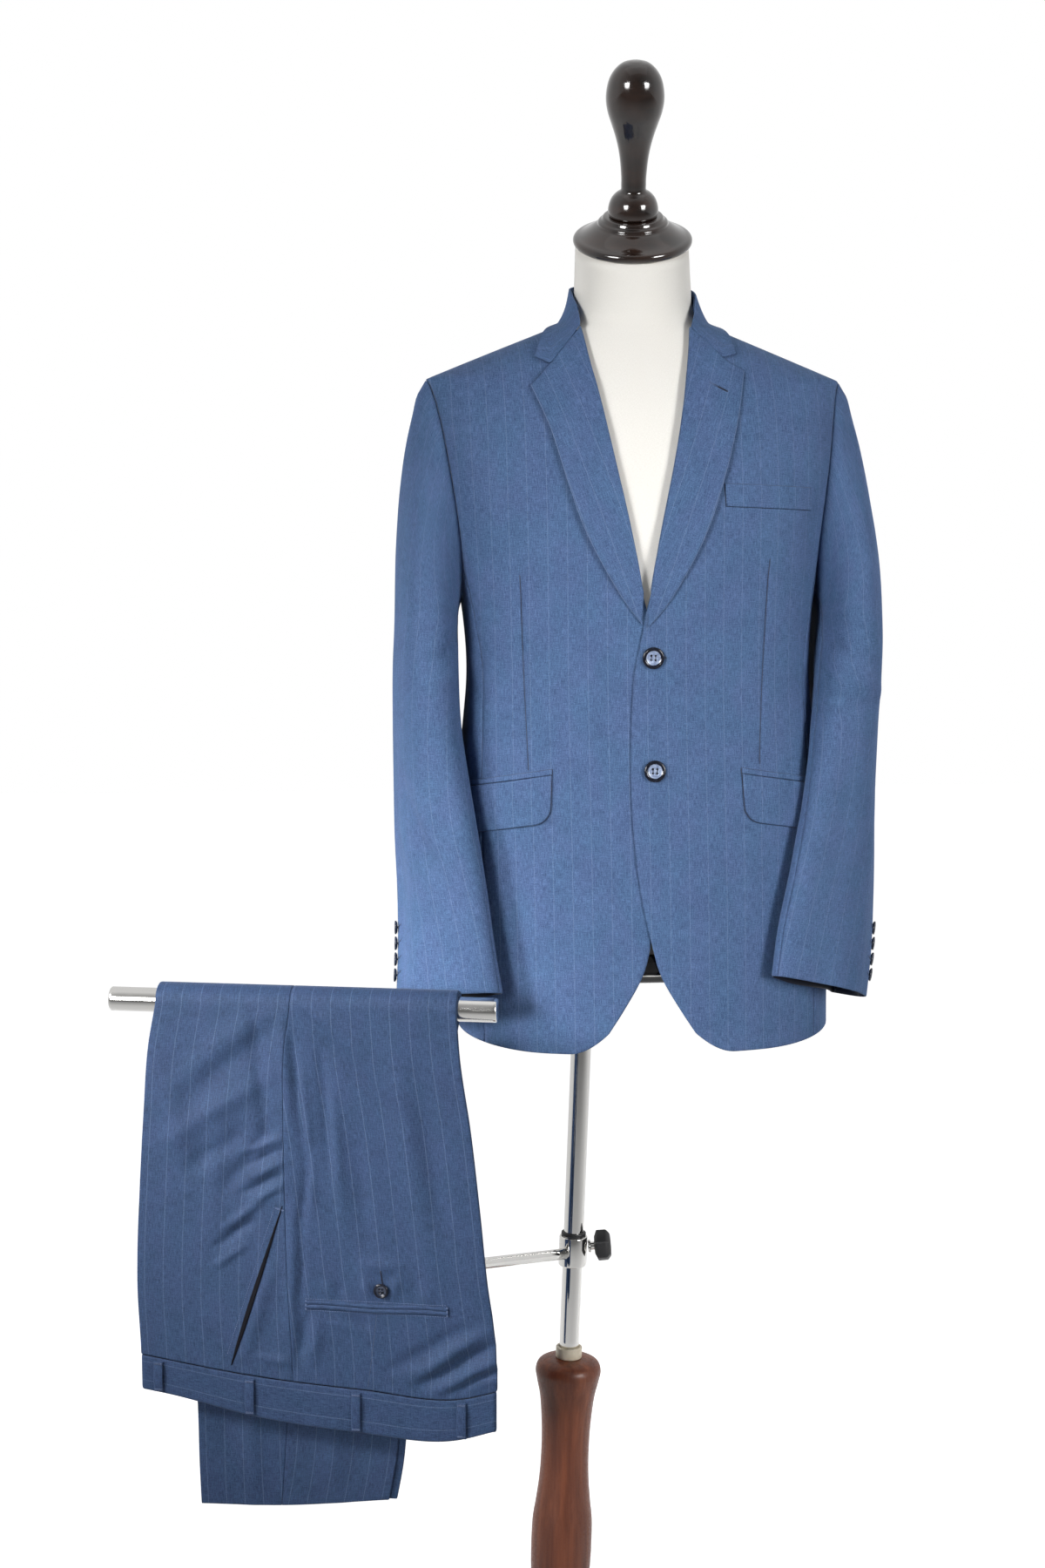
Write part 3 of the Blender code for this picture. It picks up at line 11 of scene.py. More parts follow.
import bpy
import numpy as np
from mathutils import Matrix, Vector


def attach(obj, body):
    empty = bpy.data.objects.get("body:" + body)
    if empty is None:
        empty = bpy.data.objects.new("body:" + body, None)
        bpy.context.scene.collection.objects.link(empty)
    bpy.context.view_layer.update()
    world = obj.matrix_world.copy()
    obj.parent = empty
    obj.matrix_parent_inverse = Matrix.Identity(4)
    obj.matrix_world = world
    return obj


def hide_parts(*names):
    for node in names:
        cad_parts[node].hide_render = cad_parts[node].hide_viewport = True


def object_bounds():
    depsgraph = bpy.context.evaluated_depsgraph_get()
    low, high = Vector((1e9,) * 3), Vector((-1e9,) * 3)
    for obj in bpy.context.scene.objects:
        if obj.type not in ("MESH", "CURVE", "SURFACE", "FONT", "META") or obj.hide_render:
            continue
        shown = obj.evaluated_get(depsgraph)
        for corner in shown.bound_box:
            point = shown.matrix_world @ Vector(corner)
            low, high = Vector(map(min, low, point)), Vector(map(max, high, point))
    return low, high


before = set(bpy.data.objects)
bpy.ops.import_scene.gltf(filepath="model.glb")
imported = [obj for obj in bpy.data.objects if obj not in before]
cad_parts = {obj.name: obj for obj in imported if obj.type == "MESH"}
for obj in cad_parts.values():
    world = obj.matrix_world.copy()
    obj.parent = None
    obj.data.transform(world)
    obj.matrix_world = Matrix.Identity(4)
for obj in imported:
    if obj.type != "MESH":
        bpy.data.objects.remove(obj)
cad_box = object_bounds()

print(len(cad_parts), "solids in the frame, box", cad_box)

# %% [markdown]
# ## The tailor's measurements
# A tailor starts from a table of measurements.  The torso is a stack of rounded sections, each given by
# its half width, its depth to the front and to the back, and how square it is.  The same tables made the
# frame's solids, so the finer cloth lies exactly where they lie.

# %% Sections of the dressed torso
SIDES = {"left": 1, "right": -1}      # the wearer's own left and right
FORM_X, FORM_LEAN, FORM_Y = 0.092, -0.0187, -0.028
HEM_HEIGHT, SHOULDER_HEIGHT, NECK_POINT_HEIGHT = 0.8, 1.496, 1.556
FRONT_MIDDLE = -0.005

BODY_SECTIONS = (
    # height, half width, front depth, back depth, squareness
    (0.77, 0.2052, 0.118, 0.118, 2.4), (0.9, 0.2045, 0.119, 0.12, 2.4),
    (1.0, 0.202, 0.117, 0.118, 2.4), (1.08, 0.1975, 0.112, 0.11, 2.4),
    (1.13, 0.1915, 0.109, 0.103, 2.4), (1.19, 0.1872, 0.109, 0.1, 2.4),
    (1.25, 0.1905, 0.113, 0.104, 2.45), (1.31, 0.1985, 0.118, 0.111, 2.5),
    (1.37, 0.2075, 0.119, 0.116, 2.6), (1.41, 0.2135, 0.116, 0.118, 2.52),
    (1.44, 0.2175, 0.111, 0.117, 2.32), (1.47, 0.2215, 0.103, 0.112, 2.0),
    (1.496, 0.2244, 0.091, 0.101, 1.65),
)
SHOULDER_SECTIONS = (
    (1.496, 0.2244, 0.091, 0.101, 1.65), (1.512, 0.185, 0.083, 0.093, 1.68),
    (1.53, 0.14, 0.075, 0.086, 1.76), (1.545, 0.102, 0.068, 0.08, 1.86),
    (1.556, 0.075, 0.063, 0.074, 1.95), (1.568, 0.066, 0.059, 0.068, 2.0),
    (1.585, 0.0625, 0.057, 0.063, 2.0), (1.69, 0.0632, 0.06, 0.062, 2.0),
)
print(len(BODY_SECTIONS) + len(SHOULDER_SECTIONS), "sections from hem to neck")

# %% Cloth thicknesses
SEAM_GAP = 0.0003
JACKET_CLOTH = 0.002                 # cloth, canvas and lining together
TROUSER_CLOTH = 0.0012
LAYER_GAP = 0.0006
BUTTON_GAP = 0.0004
STRIPE_PITCH = 0.0205
print("jacket cloth", JACKET_CLOTH * 1000, "mm, trouser cloth", TROUSER_CLOTH * 1000, "mm")

# %% [markdown]
# ## Smooth curves through a few numbers
# A pattern cutter rules a smooth line through a few marks with a French curve.  A Hermite curve does the
# same for a table: it passes through each row and leaves it in the direction of the rows on each side.


# %% Curve helpers
def hermite(t, first, last, leave, arrive):
    """From one value to the other, leaving and arriving in these directions."""
    return ((2 * t**3 - 3 * t**2 + 1) * first + (t**3 - 2 * t**2 + t) * leave
            + (3 * t**2 - 2 * t**3) * last + (t**3 - t**2) * arrive)


def smooth_curve(rows, column):
    """A function that runs smoothly through one column of a table, against the table's first column."""
    rows = sorted(rows)
    at = np.array([row[0] for row in rows])
    value = np.array([row[column] for row in rows])
    slope = np.gradient(value, at)

    def read(x):
        x = np.clip(x, at[0], at[-1])
        i = np.clip(np.searchsorted(at, x, side="right") - 1, 0, len(at) - 2)
        step = at[i + 1] - at[i]
        t = (x - at[i]) / step
        return hermite(t, value[i], value[i + 1], step * slope[i], step * slope[i + 1])

    return read


def soft_step(x, low, high):
    t = np.clip((np.asarray(x, float) - low) / (high - low), 0, 1)
    return t * t * (3 - 2 * t)


def unit(vectors):
    return vectors / np.maximum(np.linalg.norm(vectors, axis=-1, keepdims=True), 1e-12)


def run_along(points):
    """The length run so far at each point of a line."""
    return np.concatenate([[0], np.cumsum(np.linalg.norm(np.diff(points, axis=0), axis=1))])


def full_turn(count):
    return np.linspace(0, 2 * math.pi, count, endpoint=False)


def pairs(first, second):
    return np.stack(np.broadcast_arrays(first, second), axis=-1)


def smooth_rows(rings, shares):
    """Rows at these shares of the length through a few given rows of points."""
    rings = np.asarray(rings, float)
    steps = np.linalg.norm(np.diff(rings, axis=0), axis=-1).mean(axis=1)
    at = np.concatenate([[0], np.cumsum(steps)]) / steps.sum()
    slope = np.gradient(rings, at, axis=0)
    x = np.asarray(shares)
    i = np.clip(np.searchsorted(at, x, side="right") - 1, 0, len(at) - 2)
    step = (at[i + 1] - at[i])[:, None, None]
    t = (x - at[i])[:, None, None] / step
    return hermite(t, rings[i], rings[i + 1], step * slope[i], step * slope[i + 1])


def even_with_edges(length, pitch, first=0.0008, second=0.0024):
    """Shares from 0 to 1 at about this pitch, with two close steps at each end so that an edge can be rounded."""
    near, far = first / length, second / length
    count = max(3, int(round((length - 2 * second) / pitch)) + 1)
    return np.concatenate([[0, near], np.linspace(far, 1 - far, count), [1 - near, 1]])


# %% [markdown]
# ## The torso as a formula
# Each section is a superellipse, the curve between an ellipse and a rounded box.  A place on the jacket is
# an angle round the torso and a height.  This makes seams easy: a line of (angle, height) places follows
# the body by itself, and a piece that lies on the jacket is the same places moved out a little.


# %% Torso surface
LOWER = [smooth_curve(BODY_SECTIONS, column) for column in range(1, 5)]
UPPER = [smooth_curve(SHOULDER_SECTIONS, column) for column in range(1, 5)]


def section(height):
    height = np.asarray(height, float)
    return [np.where(height < SHOULDER_HEIGHT, low(height), high(height)) for low, high in zip(LOWER, UPPER)]


def middle_x(height):
    return FORM_X + FORM_LEAN * (height - HEM_HEIGHT)


def torso(angle, height):
    """Points on the jacket's outside.  The angle is 0 at the front and grows to the wearer's left."""
    half, front, back, square = section(height)
    across, along = np.sin(angle), np.cos(angle)
    x = half * np.sign(across) * np.abs(across) ** (2 / square)
    depth = np.where(along > 0, front, back)
    y = -depth * np.sign(along) * np.abs(along) ** (2 / square)
    return np.stack([middle_x(height) + x, FORM_Y + y, height + 0 * x], axis=-1)


def torso_normal(angle, height):
    step = 1e-3
    across = torso(angle + step, height) - torso(angle - step, height)
    upward = torso(angle, height + step) - torso(angle, height - step)
    return unit(np.cross(across, upward))


def angle_at(across, height):
    half, _, _, square = section(height)
    share = np.clip(np.abs(across) / half, 0, 1)
    return np.sign(across) * np.arcsin(share ** (square / 2))


def depth_inside(points):
    """How far each point is out of the torso, negative inside, and the way out."""
    def scale(p):
        half, front, back, square = section(p[..., 2])
        x = np.abs(p[..., 0] - middle_x(p[..., 2])) / half
        y = p[..., 1] - FORM_Y
        y = np.abs(y) / np.where(y < 0, front, back)
        return (x**square + y**square + 1e-12) ** (1 / square) - 1

    step = 1e-4
    here = scale(points)
    slopes = [(scale(points + move) - scale(points - move)) / (2 * step) for move in np.eye(3) * step]
    slope = np.stack(slopes, axis=-1)
    length = np.linalg.norm(slope, axis=-1)
    return here / length, slope / length[..., None]


def kept_clear(points, clearance):
    """Points moved out to at least this distance from the torso."""
    for _ in range(4):
        out, way = depth_inside(points)
        points = points + np.maximum(0, clearance - out)[..., None] * way
    return points


print("chest, waist and hem round:", [round(float(np.linalg.norm(np.diff(
    torso(np.linspace(0, 2 * math.pi, 181), np.full(181, h)), axis=0), axis=1).sum()), 3) for h in (1.37, 1.19, 0.8)])

# %% [markdown]
# ## Distance along the cloth
# Stripes are woven straight, so they need the distance along the cloth and not the angle.  A table of
# lengths round each section gives it: zero at the front middle, positive to the wearer's left.

# %% Lengths round the torso
WAY_HEIGHTS = np.linspace(0.76, 1.66, 451)
WAY_ANGLES = np.linspace(0, math.pi, 241)
ring_points = torso(WAY_ANGLES[None, :] + 0 * WAY_HEIGHTS[:, None], WAY_HEIGHTS[:, None] + 0 * WAY_ANGLES[None, :])
ring_steps = np.linalg.norm(np.diff(ring_points, axis=1), axis=-1)
WAY_TABLE = np.concatenate([np.zeros((len(WAY_HEIGHTS), 1)), np.cumsum(ring_steps, axis=1)], axis=1)


def way_round(angle, height):
    """Metres along the cloth from the form's front middle, read from the table between its rows."""
    angle, height = np.broadcast_arrays(np.asarray(angle, float), np.asarray(height, float))
    row = np.clip((height - WAY_HEIGHTS[0]) / (WAY_HEIGHTS[1] - WAY_HEIGHTS[0]), 0, len(WAY_HEIGHTS) - 1.001)
    column = np.clip(np.abs(angle) / WAY_ANGLES[1], 0, len(WAY_ANGLES) - 1.001)
    i, j = row.astype(int), column.astype(int)
    r, c = row - i, column - j
    low = WAY_TABLE[i, j] * (1 - c) + WAY_TABLE[i, j + 1] * c
    high = WAY_TABLE[i + 1, j] * (1 - c) + WAY_TABLE[i + 1, j + 1] * c
    return np.sign(angle) * (low * (1 - r) + high * r)


print("half round the waist:", round(float(way_round(math.pi, 1.19)), 3), "m")

# %% [markdown]
# ## Creases listed one by one
# Worn cloth creases where it is pulled: from the waist button, at the elbow, round a pocket.  Each crease
# is one row: where it starts and ends, how wide it is and how far it stands out (or in, when negative).
# Soft bell curves across a crease and a fade along it keep it from looking like a cut.


# %% Crease helper
def creases(u, v, rows):
    """Height of the cloth at (u, v) from rows of (u0, v0, u1, v1, width, height)."""
    total = np.zeros(np.broadcast(u, v).shape)
    for u0, v0, u1, v1, width, height in rows:
        run_u, run_v = u1 - u0, v1 - v0
        length = math.hypot(run_u, run_v)
        t = ((u - u0) * run_u + (v - v0) * run_v) / length**2
        bow = 0.1 * width * np.sin(9.0 * t + 40 * u0)
        aside = ((v - v0) * run_u - (u - u0) * run_v) / length + bow
        beyond = (np.maximum(0, -t) + np.maximum(0, t - 1)) * length
        fade = 0.45 + 0.55 * np.sin(math.pi * np.clip(t, 0, 1)) ** 0.8
        total = total + height * fade * np.exp(-(aside**2 + beyond**2 * 0.5) / width**2)
    return total


JACKET_CREASES = (
    # pulled from the waist button to the side of the wearer's right front
    (-0.137, 1.214, -0.186, 1.14, 0.0075, -0.0026), (-0.15, 1.205, -0.2, 1.118, 0.011, 0.0024),
    (-0.12, 1.24, -0.16, 1.188, 0.011, 0.001), (-0.03, 1.196, -0.09, 1.172, 0.009, 0.0007),
    (0.036, 1.198, 0.095, 1.186, 0.01, 0.0007), (0.04, 1.188, 0.11, 1.16, 0.009, -0.0006),
    # soft standing folds of the skirt
    (-0.08, 1.03, -0.088, 0.84, 0.02, 0.001), (-0.15, 1.0, -0.158, 0.83, 0.024, -0.0011),
    (0.07, 1.02, 0.082, 0.83, 0.02, 0.0009), (0.15, 1.01, 0.14, 0.83, 0.022, -0.0012),
    # chest and shoulder
    (-0.12, 1.4, -0.17, 1.33, 0.024, 0.0012), (0.13, 1.35, 0.185, 1.29, 0.024, 0.0012),
    (-0.175, 1.42, -0.19, 1.3, 0.013, -0.0012), (0.17, 1.4, 0.195, 1.3, 0.013, -0.0012),
    (-0.09, 1.47, -0.11, 1.4, 0.02, 0.0008), (0.14, 1.47, 0.12, 1.42, 0.018, 0.0008),
    # sides under the arms
    (-0.25, 1.24, -0.23, 1.12, 0.013, -0.0016), (0.245, 1.23, 0.225, 1.1, 0.013, -0.0015),
    (-0.265, 1.12, -0.255, 0.86, 0.022, 0.0012), (0.262, 1.1, 0.25, 0.85, 0.022, 0.0012),
    # back: across the waist, down the skirt and from the shoulder blades
    (0.44, 1.185, 0.33, 1.215, 0.011, -0.002), (0.44, 1.165, 0.35, 1.15, 0.012, 0.0017),
    (-0.44, 1.2, -0.34, 1.225, 0.012, -0.0017), (-0.44, 1.172, -0.325, 1.145, 0.01, 0.0019),
    (0.405, 1.06, 0.4, 0.85, 0.022, 0.0016), (-0.395, 1.05, -0.4, 0.83, 0.024, 0.0014),
    (0.35, 1.02, 0.345, 0.84, 0.018, -0.0013), (-0.34, 1.01, -0.35, 0.85, 0.019, -0.0013),
    (0.37, 1.44, 0.32, 1.32, 0.019, 0.0016), (-0.365, 1.43, -0.325, 1.33, 0.017, 0.0015),
    (0.3, 1.4, 0.29, 1.3, 0.012, -0.0016), (-0.302, 1.41, -0.295, 1.31, 0.012, -0.0015),
)


def jacket_relief(places):
    """Creases of the jacket's body; every layer that lies on it takes the same ones."""
    angle, height = places[..., 0], places[..., 1]
    calm = 1 - soft_step(height, 1.47, 1.51)
    return creases(way_round(angle, height), height, JACKET_CREASES) * calm


def torso_out(places, out):
    """Points moved out from the torso and its creases; places holds (angle, height) in its last axis."""
    angle, height = places[..., 0], places[..., 1]
    rise = np.asarray(out) + jacket_relief(places)
    return torso(angle, height) + torso_normal(angle, height) * rise[..., None]


print(len(JACKET_CREASES), "creases on the jacket's body")

# %% [markdown]
# ## Seam lines
# The pattern pieces of the jacket: front edge, roll line, lapel edge, hem, armhole and the two side seams
# of each half.  A line is a row of (angle, height) places.  A patch fills a grid in between four of them,
# the way a pattern piece fills the space between its seams.

# %% Tables of edges and seams
ROLL_LINE = ((1.254, 0.0), (1.3, 0.009), (1.34, 0.0172), (1.4, 0.0302), (1.495, 0.0485),
             (1.545, 0.0572))                                      # height, out from the fronts' middle
FRONT_EDGE = ((1.254, 0.0), (1.22, -0.0066), (1.187, -0.0131), (1.13, -0.0172), (1.072, -0.0188),
              (1.0, -0.0157), (0.95, -0.0095), (0.904, -0.0003), (0.869, 0.0092), (0.831, 0.03),
              (0.806, 0.046))
LAPEL_EDGE = ((1.236, 0.0008), (1.2545, 0.017), (1.292, 0.0405), (1.339, 0.064), (1.386, 0.08),
              (1.441, 0.096))
LAPEL_CORNER = {"right": (1.4837, 0.1126), "left": (1.4998, 0.1105)}
NOTCH = {"right": (1.5058, 0.0914), "left": (1.5135, 0.089)}
COLLAR_CORNER = {"right": (1.5136, 0.1064), "left": (1.5177, 0.1044)}
NOTCH_SHARE, GORGE_GAP = 0.7, 0.0008
FRONT_HEM, SIDE_HEM, BACK_HEM = 0.7835, 0.796, 0.812
FRONT_SEAM = ((0.77, 59.0), (1.08, 61.5), (1.19, 66.0), (1.3, 76.1))       # height, degrees from the front
BACK_SEAM = ((0.77, 118.0), (1.08, 115.0), (1.19, 111.0), (1.3, 106.5))
ARMHOLE_MIDDLE, ARMHOLE_HALF_HEIGHT, ARMHOLE_FRONT, ARMHOLE_BACK = 1.3788, 0.1168, 19.0, 22.0
FRONT_SEAM_STEP, BACK_SEAM_STEP, ARMHOLE_STEPS = 6, 10, 16


# %% Lines on the torso
def along_line(line, shares):
    """Points at these shares of the length of a line of (angle, height) places."""
    line = np.asarray(line, float)
    lengths = np.linalg.norm(np.diff(line * (0.15, 1.0), axis=0), axis=1)
    at = np.concatenate([[0], np.cumsum(lengths)])
    wanted = np.asarray(shares) * at[-1]
    return np.stack([np.interp(wanted, at, line[:, k]) for k in (0, 1)], axis=1)


def line_length(line):
    points = torso(line[:, 0], line[:, 1])
    return float(np.linalg.norm(np.diff(points, axis=0), axis=1).sum())


def patch(bottom, top, left, right, across, up):
    """A grid inside four edge lines that meet at their ends, at these shares across and up."""
    bottom, top = along_line(bottom, across), along_line(top, across)
    left, right = along_line(left, up), along_line(right, up)
    u, v = np.asarray(across)[None, :, None], np.asarray(up)[:, None, None]
    edges = (1 - v) * bottom[None] + v * top[None] + (1 - u) * left[:, None] + u * right[:, None]
    lower = (1 - u) * bottom[0] + u * bottom[-1]
    upper = (1 - u) * top[0] + u * top[-1]
    return edges - (1 - v) * lower - v * upper


def front_place(side, out, height):
    across = SIDES[side] * np.asarray(out) + FRONT_MIDDLE
    return np.stack([angle_at(across, np.asarray(height)), np.asarray(height, float) + 0 * across], axis=-1)


def hem_height(angle):
    turn = np.degrees(np.abs(angle))
    front = FRONT_HEM + (SIDE_HEM - FRONT_HEM) * soft_step(turn, 30, 95)
    return front + (BACK_HEM - SIDE_HEM) * soft_step(turn, 95, 180)


def armhole_point(side, step):
    turn = 2 * math.pi * step / ARMHOLE_STEPS
    reach = ARMHOLE_FRONT if math.sin(turn) >= 0 else ARMHOLE_BACK
    swing = math.copysign(abs(math.sin(turn)) ** 0.7, math.sin(turn)) if step % 8 else 0.0
    angle = math.radians(90 - reach * swing)
    return SIDES[side] * angle, ARMHOLE_MIDDLE + ARMHOLE_HALF_HEIGHT * math.cos(turn)


def armhole_line(side, first, last):
    return np.array([armhole_point(side, step) for step in np.linspace(first, last, 60)])


def seam_line(side, rows, last):
    turn = smooth_curve(rows, 1)
    foot = hem_height(math.radians(rows[0][1]))
    heights = foot + (last[1] - foot) * np.linspace(0, 1, 120)
    angles = SIDES[side] * np.radians(turn(heights))
    blend = soft_step(heights, last[1] - 0.16, last[1])
    own_end = SIDES[side] * math.radians(float(turn(last[1])))
    return np.stack([angles + blend * (last[0] - own_end), heights], axis=1)


def moved_round(line, distance):
    step = 1e-3
    span = torso(line[:, 0] + step, line[:, 1]) - torso(line[:, 0] - step, line[:, 1])
    rate = np.linalg.norm(span, axis=1) / (2 * step)
    return np.stack([line[:, 0] + distance / rate, line[:, 1]], axis=1)


def edge_line(side, rows):
    rows = sorted(rows)
    out = smooth_curve(rows, 1)
    heights = np.interp(np.linspace(0, len(rows) - 1, 24 * len(rows)), range(len(rows)), [r[0] for r in rows])
    return front_place(side, out(heights), heights)


def ridge_line(side, part, count=40):
    """The shoulder seam from the neck point out, half a seam gap to the front or back."""
    heights = np.linspace(NECK_POINT_HEIGHT, SHOULDER_HEIGHT - 0.0006, count)
    _, front, back, square = section(heights)
    depth = front if part == "front" else back
    lean = (SEAM_GAP / 2 / depth) ** (square / 2)
    angles = np.arccos(lean) if part == "front" else np.arccos(-lean)
    return np.stack([SIDES[side] * angles, heights], axis=1)


SIDE_SEAMS = {}
for side in SIDES:
    SIDE_SEAMS[side, "front"] = seam_line(side, FRONT_SEAM, armhole_point(side, FRONT_SEAM_STEP))
    SIDE_SEAMS[side, "back"] = seam_line(side, BACK_SEAM, armhole_point(side, BACK_SEAM_STEP))
print("front side seam:", round(line_length(SIDE_SEAMS["left", "front"]), 3), "m")

# %% [markdown]
# ## Finishes made of nodes
# A finish is a small network of nodes.  Cloth reads a UV map called Weave, laid out in metres along the
# grain: across the stripes is U and along them is V, so the stripes keep their real spacing on every piece.
# Hard finishes read the object's own coordinates.


# %% Node helpers
def node(tree, kind, inputs=None, **settings):
    """One shader node with its settings, and its inputs linked or set."""
    made = tree.nodes.new(kind)
    for key, value in settings.items():
        setattr(made, key, value)
    for key, value in (inputs or {}).items():
        socket = made.inputs[key]
        if isinstance(value, bpy.types.NodeSocket):
            tree.links.new(value, socket)
        else:
            socket.default_value = value
    return made


def sums(tree, operation, *values):
    """The result of a Math node on numbers or sockets."""
    return node(tree, "ShaderNodeMath", dict(enumerate(values)), operation=operation).outputs[0]


def ranged(tree, value, low, high, start=0.0, stop=1.0):
    """A value moved smoothly from one range to another and kept inside it."""
    return node(tree, "ShaderNodeMapRange", {"Value": value, "From Min": low, "From Max": high,
                                             "To Min": start, "To Max": stop}).outputs["Result"]


def noise(tree, vector, scale, detail=2.0, rough=0.5):
    return node(tree, "ShaderNodeTexNoise", {"Vector": vector, "Scale": scale, "Detail": detail,
                                             "Roughness": rough}).outputs["Fac"]


def mixed(tree, share, first, second):
    """Two colours mixed by a share."""
    made = node(tree, "ShaderNodeMix", data_type="RGBA")
    for socket, value in ((made.inputs[0], share), (made.inputs[6], first), (made.inputs[7], second)):
        if isinstance(value, bpy.types.NodeSocket):
            tree.links.new(value, socket)
        else:
            socket.default_value = (*value, 1) if hasattr(value, "__len__") else value
    return made.outputs[2]


def finish(name, **sockets):
    """A new finish with these constants on its shader's own sockets."""
    made = bpy.data.materials.new(name)
    made.use_nodes = True
    shader = made.node_tree.nodes["Principled BSDF"]
    for key, value in sockets.items():
        socket = shader.inputs[key.replace("_", " ")]
        socket.default_value = (*value, 1) if hasattr(value, "__len__") else value
    return made, made.node_tree, shader


def raised(tree, shader, height, distance, strength=1.0):
    """Fine relief that is too small for the mesh."""
    made = node(tree, "ShaderNodeBump", {"Height": height, "Distance": distance, "Strength": strength})
    tree.links.new(made.outputs["Normal"], shader.inputs["Normal"])


def weave_ways(tree):
    """Metres across and along the grain."""
    grain = node(tree, "ShaderNodeUVMap", uv_map="Weave").outputs["UV"]
    split = node(tree, "ShaderNodeSeparateXYZ", {"Vector": grain})
    return split.outputs["X"], split.outputs["Y"]


def stretched(tree, across, along, rate_across, rate_along):
    """A vector for a noise that is finer across than along, or the other way."""
    return node(tree, "ShaderNodeCombineXYZ", {"X": sums(tree, "MULTIPLY", across, rate_across),
                                               "Y": sums(tree, "MULTIPLY", along, rate_along)}).outputs[0]


# %% [markdown]
# ### Pinstripe worsted
# The cloth is a blue worsted: dyed wool fibres of several blues spun together, so it looks heathered from
# close by and even from far away.  Two stretched noises stand for warp and weft yarns.  The pinstripe is one
# pale yarn every 20.5 mm, and the weave hides it at every other crossing, which makes it look dotted.


# %% Suit cloth
def suit_cloth(name, dark, light, stripe, stripe_share, rough=0.8, shine=0.25):
    made, tree, shader = finish(name, Roughness=rough, Sheen_Weight=0.09, Sheen_Roughness=0.45,
                                Specular_IOR_Level=shine)
    shader.inputs["Sheen Tint"].default_value = (0.62, 0.74, 1.0, 1)
    across, along = weave_ways(tree)
    warp = noise(tree, stretched(tree, across, along, 1350, 110), 1.0, 3.0, 0.6)
    weft = noise(tree, stretched(tree, across, along, 110, 1350), 1.0, 3.0, 0.6)
    fleck = noise(tree, stretched(tree, across, along, 900, 800), 1.0, 3.0, 0.75)
    shade = noise(tree, stretched(tree, across, along, 31, 17), 1.0, 3.0, 0.6)
    broad = noise(tree, stretched(tree, across, along, 34, 26), 1.0, 2.0)
    yarn = sums(tree, "ADD", sums(tree, "MULTIPLY", warp, 0.34), sums(tree, "MULTIPLY", weft, 0.22))
    yarn = sums(tree, "ADD", yarn, sums(tree, "MULTIPLY", fleck, 0.38))
    yarn = sums(tree, "ADD", yarn, sums(tree, "MULTIPLY", broad, 0.06))
    tones = [mixed(tree, ranged(tree, yarn, 0.39, 0.61), np.array(dark) * tint, np.array(light) * tint)
             for tint in ((1.06, 0.99, 1.01), (0.95, 1.01, 0.99))]
    colour = mixed(tree, ranged(tree, shade, 0.38, 0.62), *tones)
    aside = sums(tree, "PINGPONG", across, STRIPE_PITCH / 2)
    line = ranged(tree, aside, 0.00026, 0.00056, 1.0, 0.0)
    dots = ranged(tree, sums(tree, "SINE", sums(tree, "MULTIPLY", along, 3300.0)), -0.75, 0.1, 0.45, 1.0)
    worn = ranged(tree, noise(tree, stretched(tree, across, along, 90, 300), 1.0), 0.35, 0.62, 0.55, 1.0)
    share = sums(tree, "MULTIPLY", sums(tree, "MULTIPLY", line, dots), sums(tree, "MULTIPLY", worn, stripe_share))
    colour = mixed(tree, share, colour, stripe)
    tree.links.new(colour, shader.inputs["Base Color"])
    tree.links.new(ranged(tree, fleck, 0.3, 0.7, rough - 0.07, rough + 0.07), shader.inputs["Roughness"])
    diagonal = sums(tree, "SINE", sums(tree, "MULTIPLY", sums(tree, "ADD", across, along), 7400.0))
    height = sums(tree, "ADD", sums(tree, "MULTIPLY", diagonal, 0.25), sums(tree, "ADD", warp, weft))
    raised(tree, shader, height, 0.00022, 0.55)
    return made


JACKET_CLOTH_FINISH = suit_cloth("suit_cloth_jacket", (0.02, 0.045, 0.11), (0.093, 0.16, 0.312),
                                 (0.22, 0.29, 0.44), 0.3)
# The trousers use the jacket's own worsted, made much darker here: painted shade for the dimmer light that reaches
# them.
TROUSER_CLOTH_SHADED_FINISH = suit_cloth("suit_cloth_trousers_painted_shade", (0.0058, 0.016, 0.0445), (0.0335, 0.0662, 0.149),
                                  (0.15, 0.205, 0.32), 0.33, 0.72, 0.28)
print(JACKET_CLOTH_FINISH.name, "and", TROUSER_CLOTH_SHADED_FINISH.name)

# %% [markdown]
# ### Lining, thread and the painted shade of openings
# The lining is a navy satin with a soft shine across its threads.  Sewing thread is a tight, slightly
# shiny cord, so it gets a fine, even relief.


# %% Small cloth finishes
# The lining's own navy is darkened nearly to black: painted shade for the insides of the cuffs and sleeves.
def lining_finish():
    made, tree, shader = finish("lining_satin_painted_shade", Roughness=0.5, Specular_IOR_Level=0.2)
    across, along = weave_ways(tree)
    threads = noise(tree, stretched(tree, across, along, 2200, 120), 1.0, 2.0)
    soft = noise(tree, stretched(tree, across, along, 30, 30), 1.0, 2.0)
    tree.links.new(mixed(tree, soft, (0.004, 0.006, 0.014), (0.008, 0.011, 0.025)), shader.inputs["Base Color"])
    tree.links.new(ranged(tree, threads, 0.3, 0.7, 0.42, 0.58), shader.inputs["Roughness"])
    raised(tree, shader, threads, 0.00008, 0.5)
    return made


def grain_finish(name, dark, light, scale, detail, relief, strength, rough=None, span=(0.0, 1.0), **sockets):
    """A finish from one even noise, which gives its colour, its roughness and its fine relief."""
    made, tree, shader = finish(name, **sockets)
    grain = noise(tree, node(tree, "ShaderNodeTexCoord").outputs["Object"], scale, detail)
    tree.links.new(mixed(tree, ranged(tree, grain, *span), dark, light), shader.inputs["Base Color"])
    if rough:
        tree.links.new(ranged(tree, grain, 0.3, 0.7, *rough), shader.inputs["Roughness"])
    raised(tree, shader, grain, relief, strength)
    return made


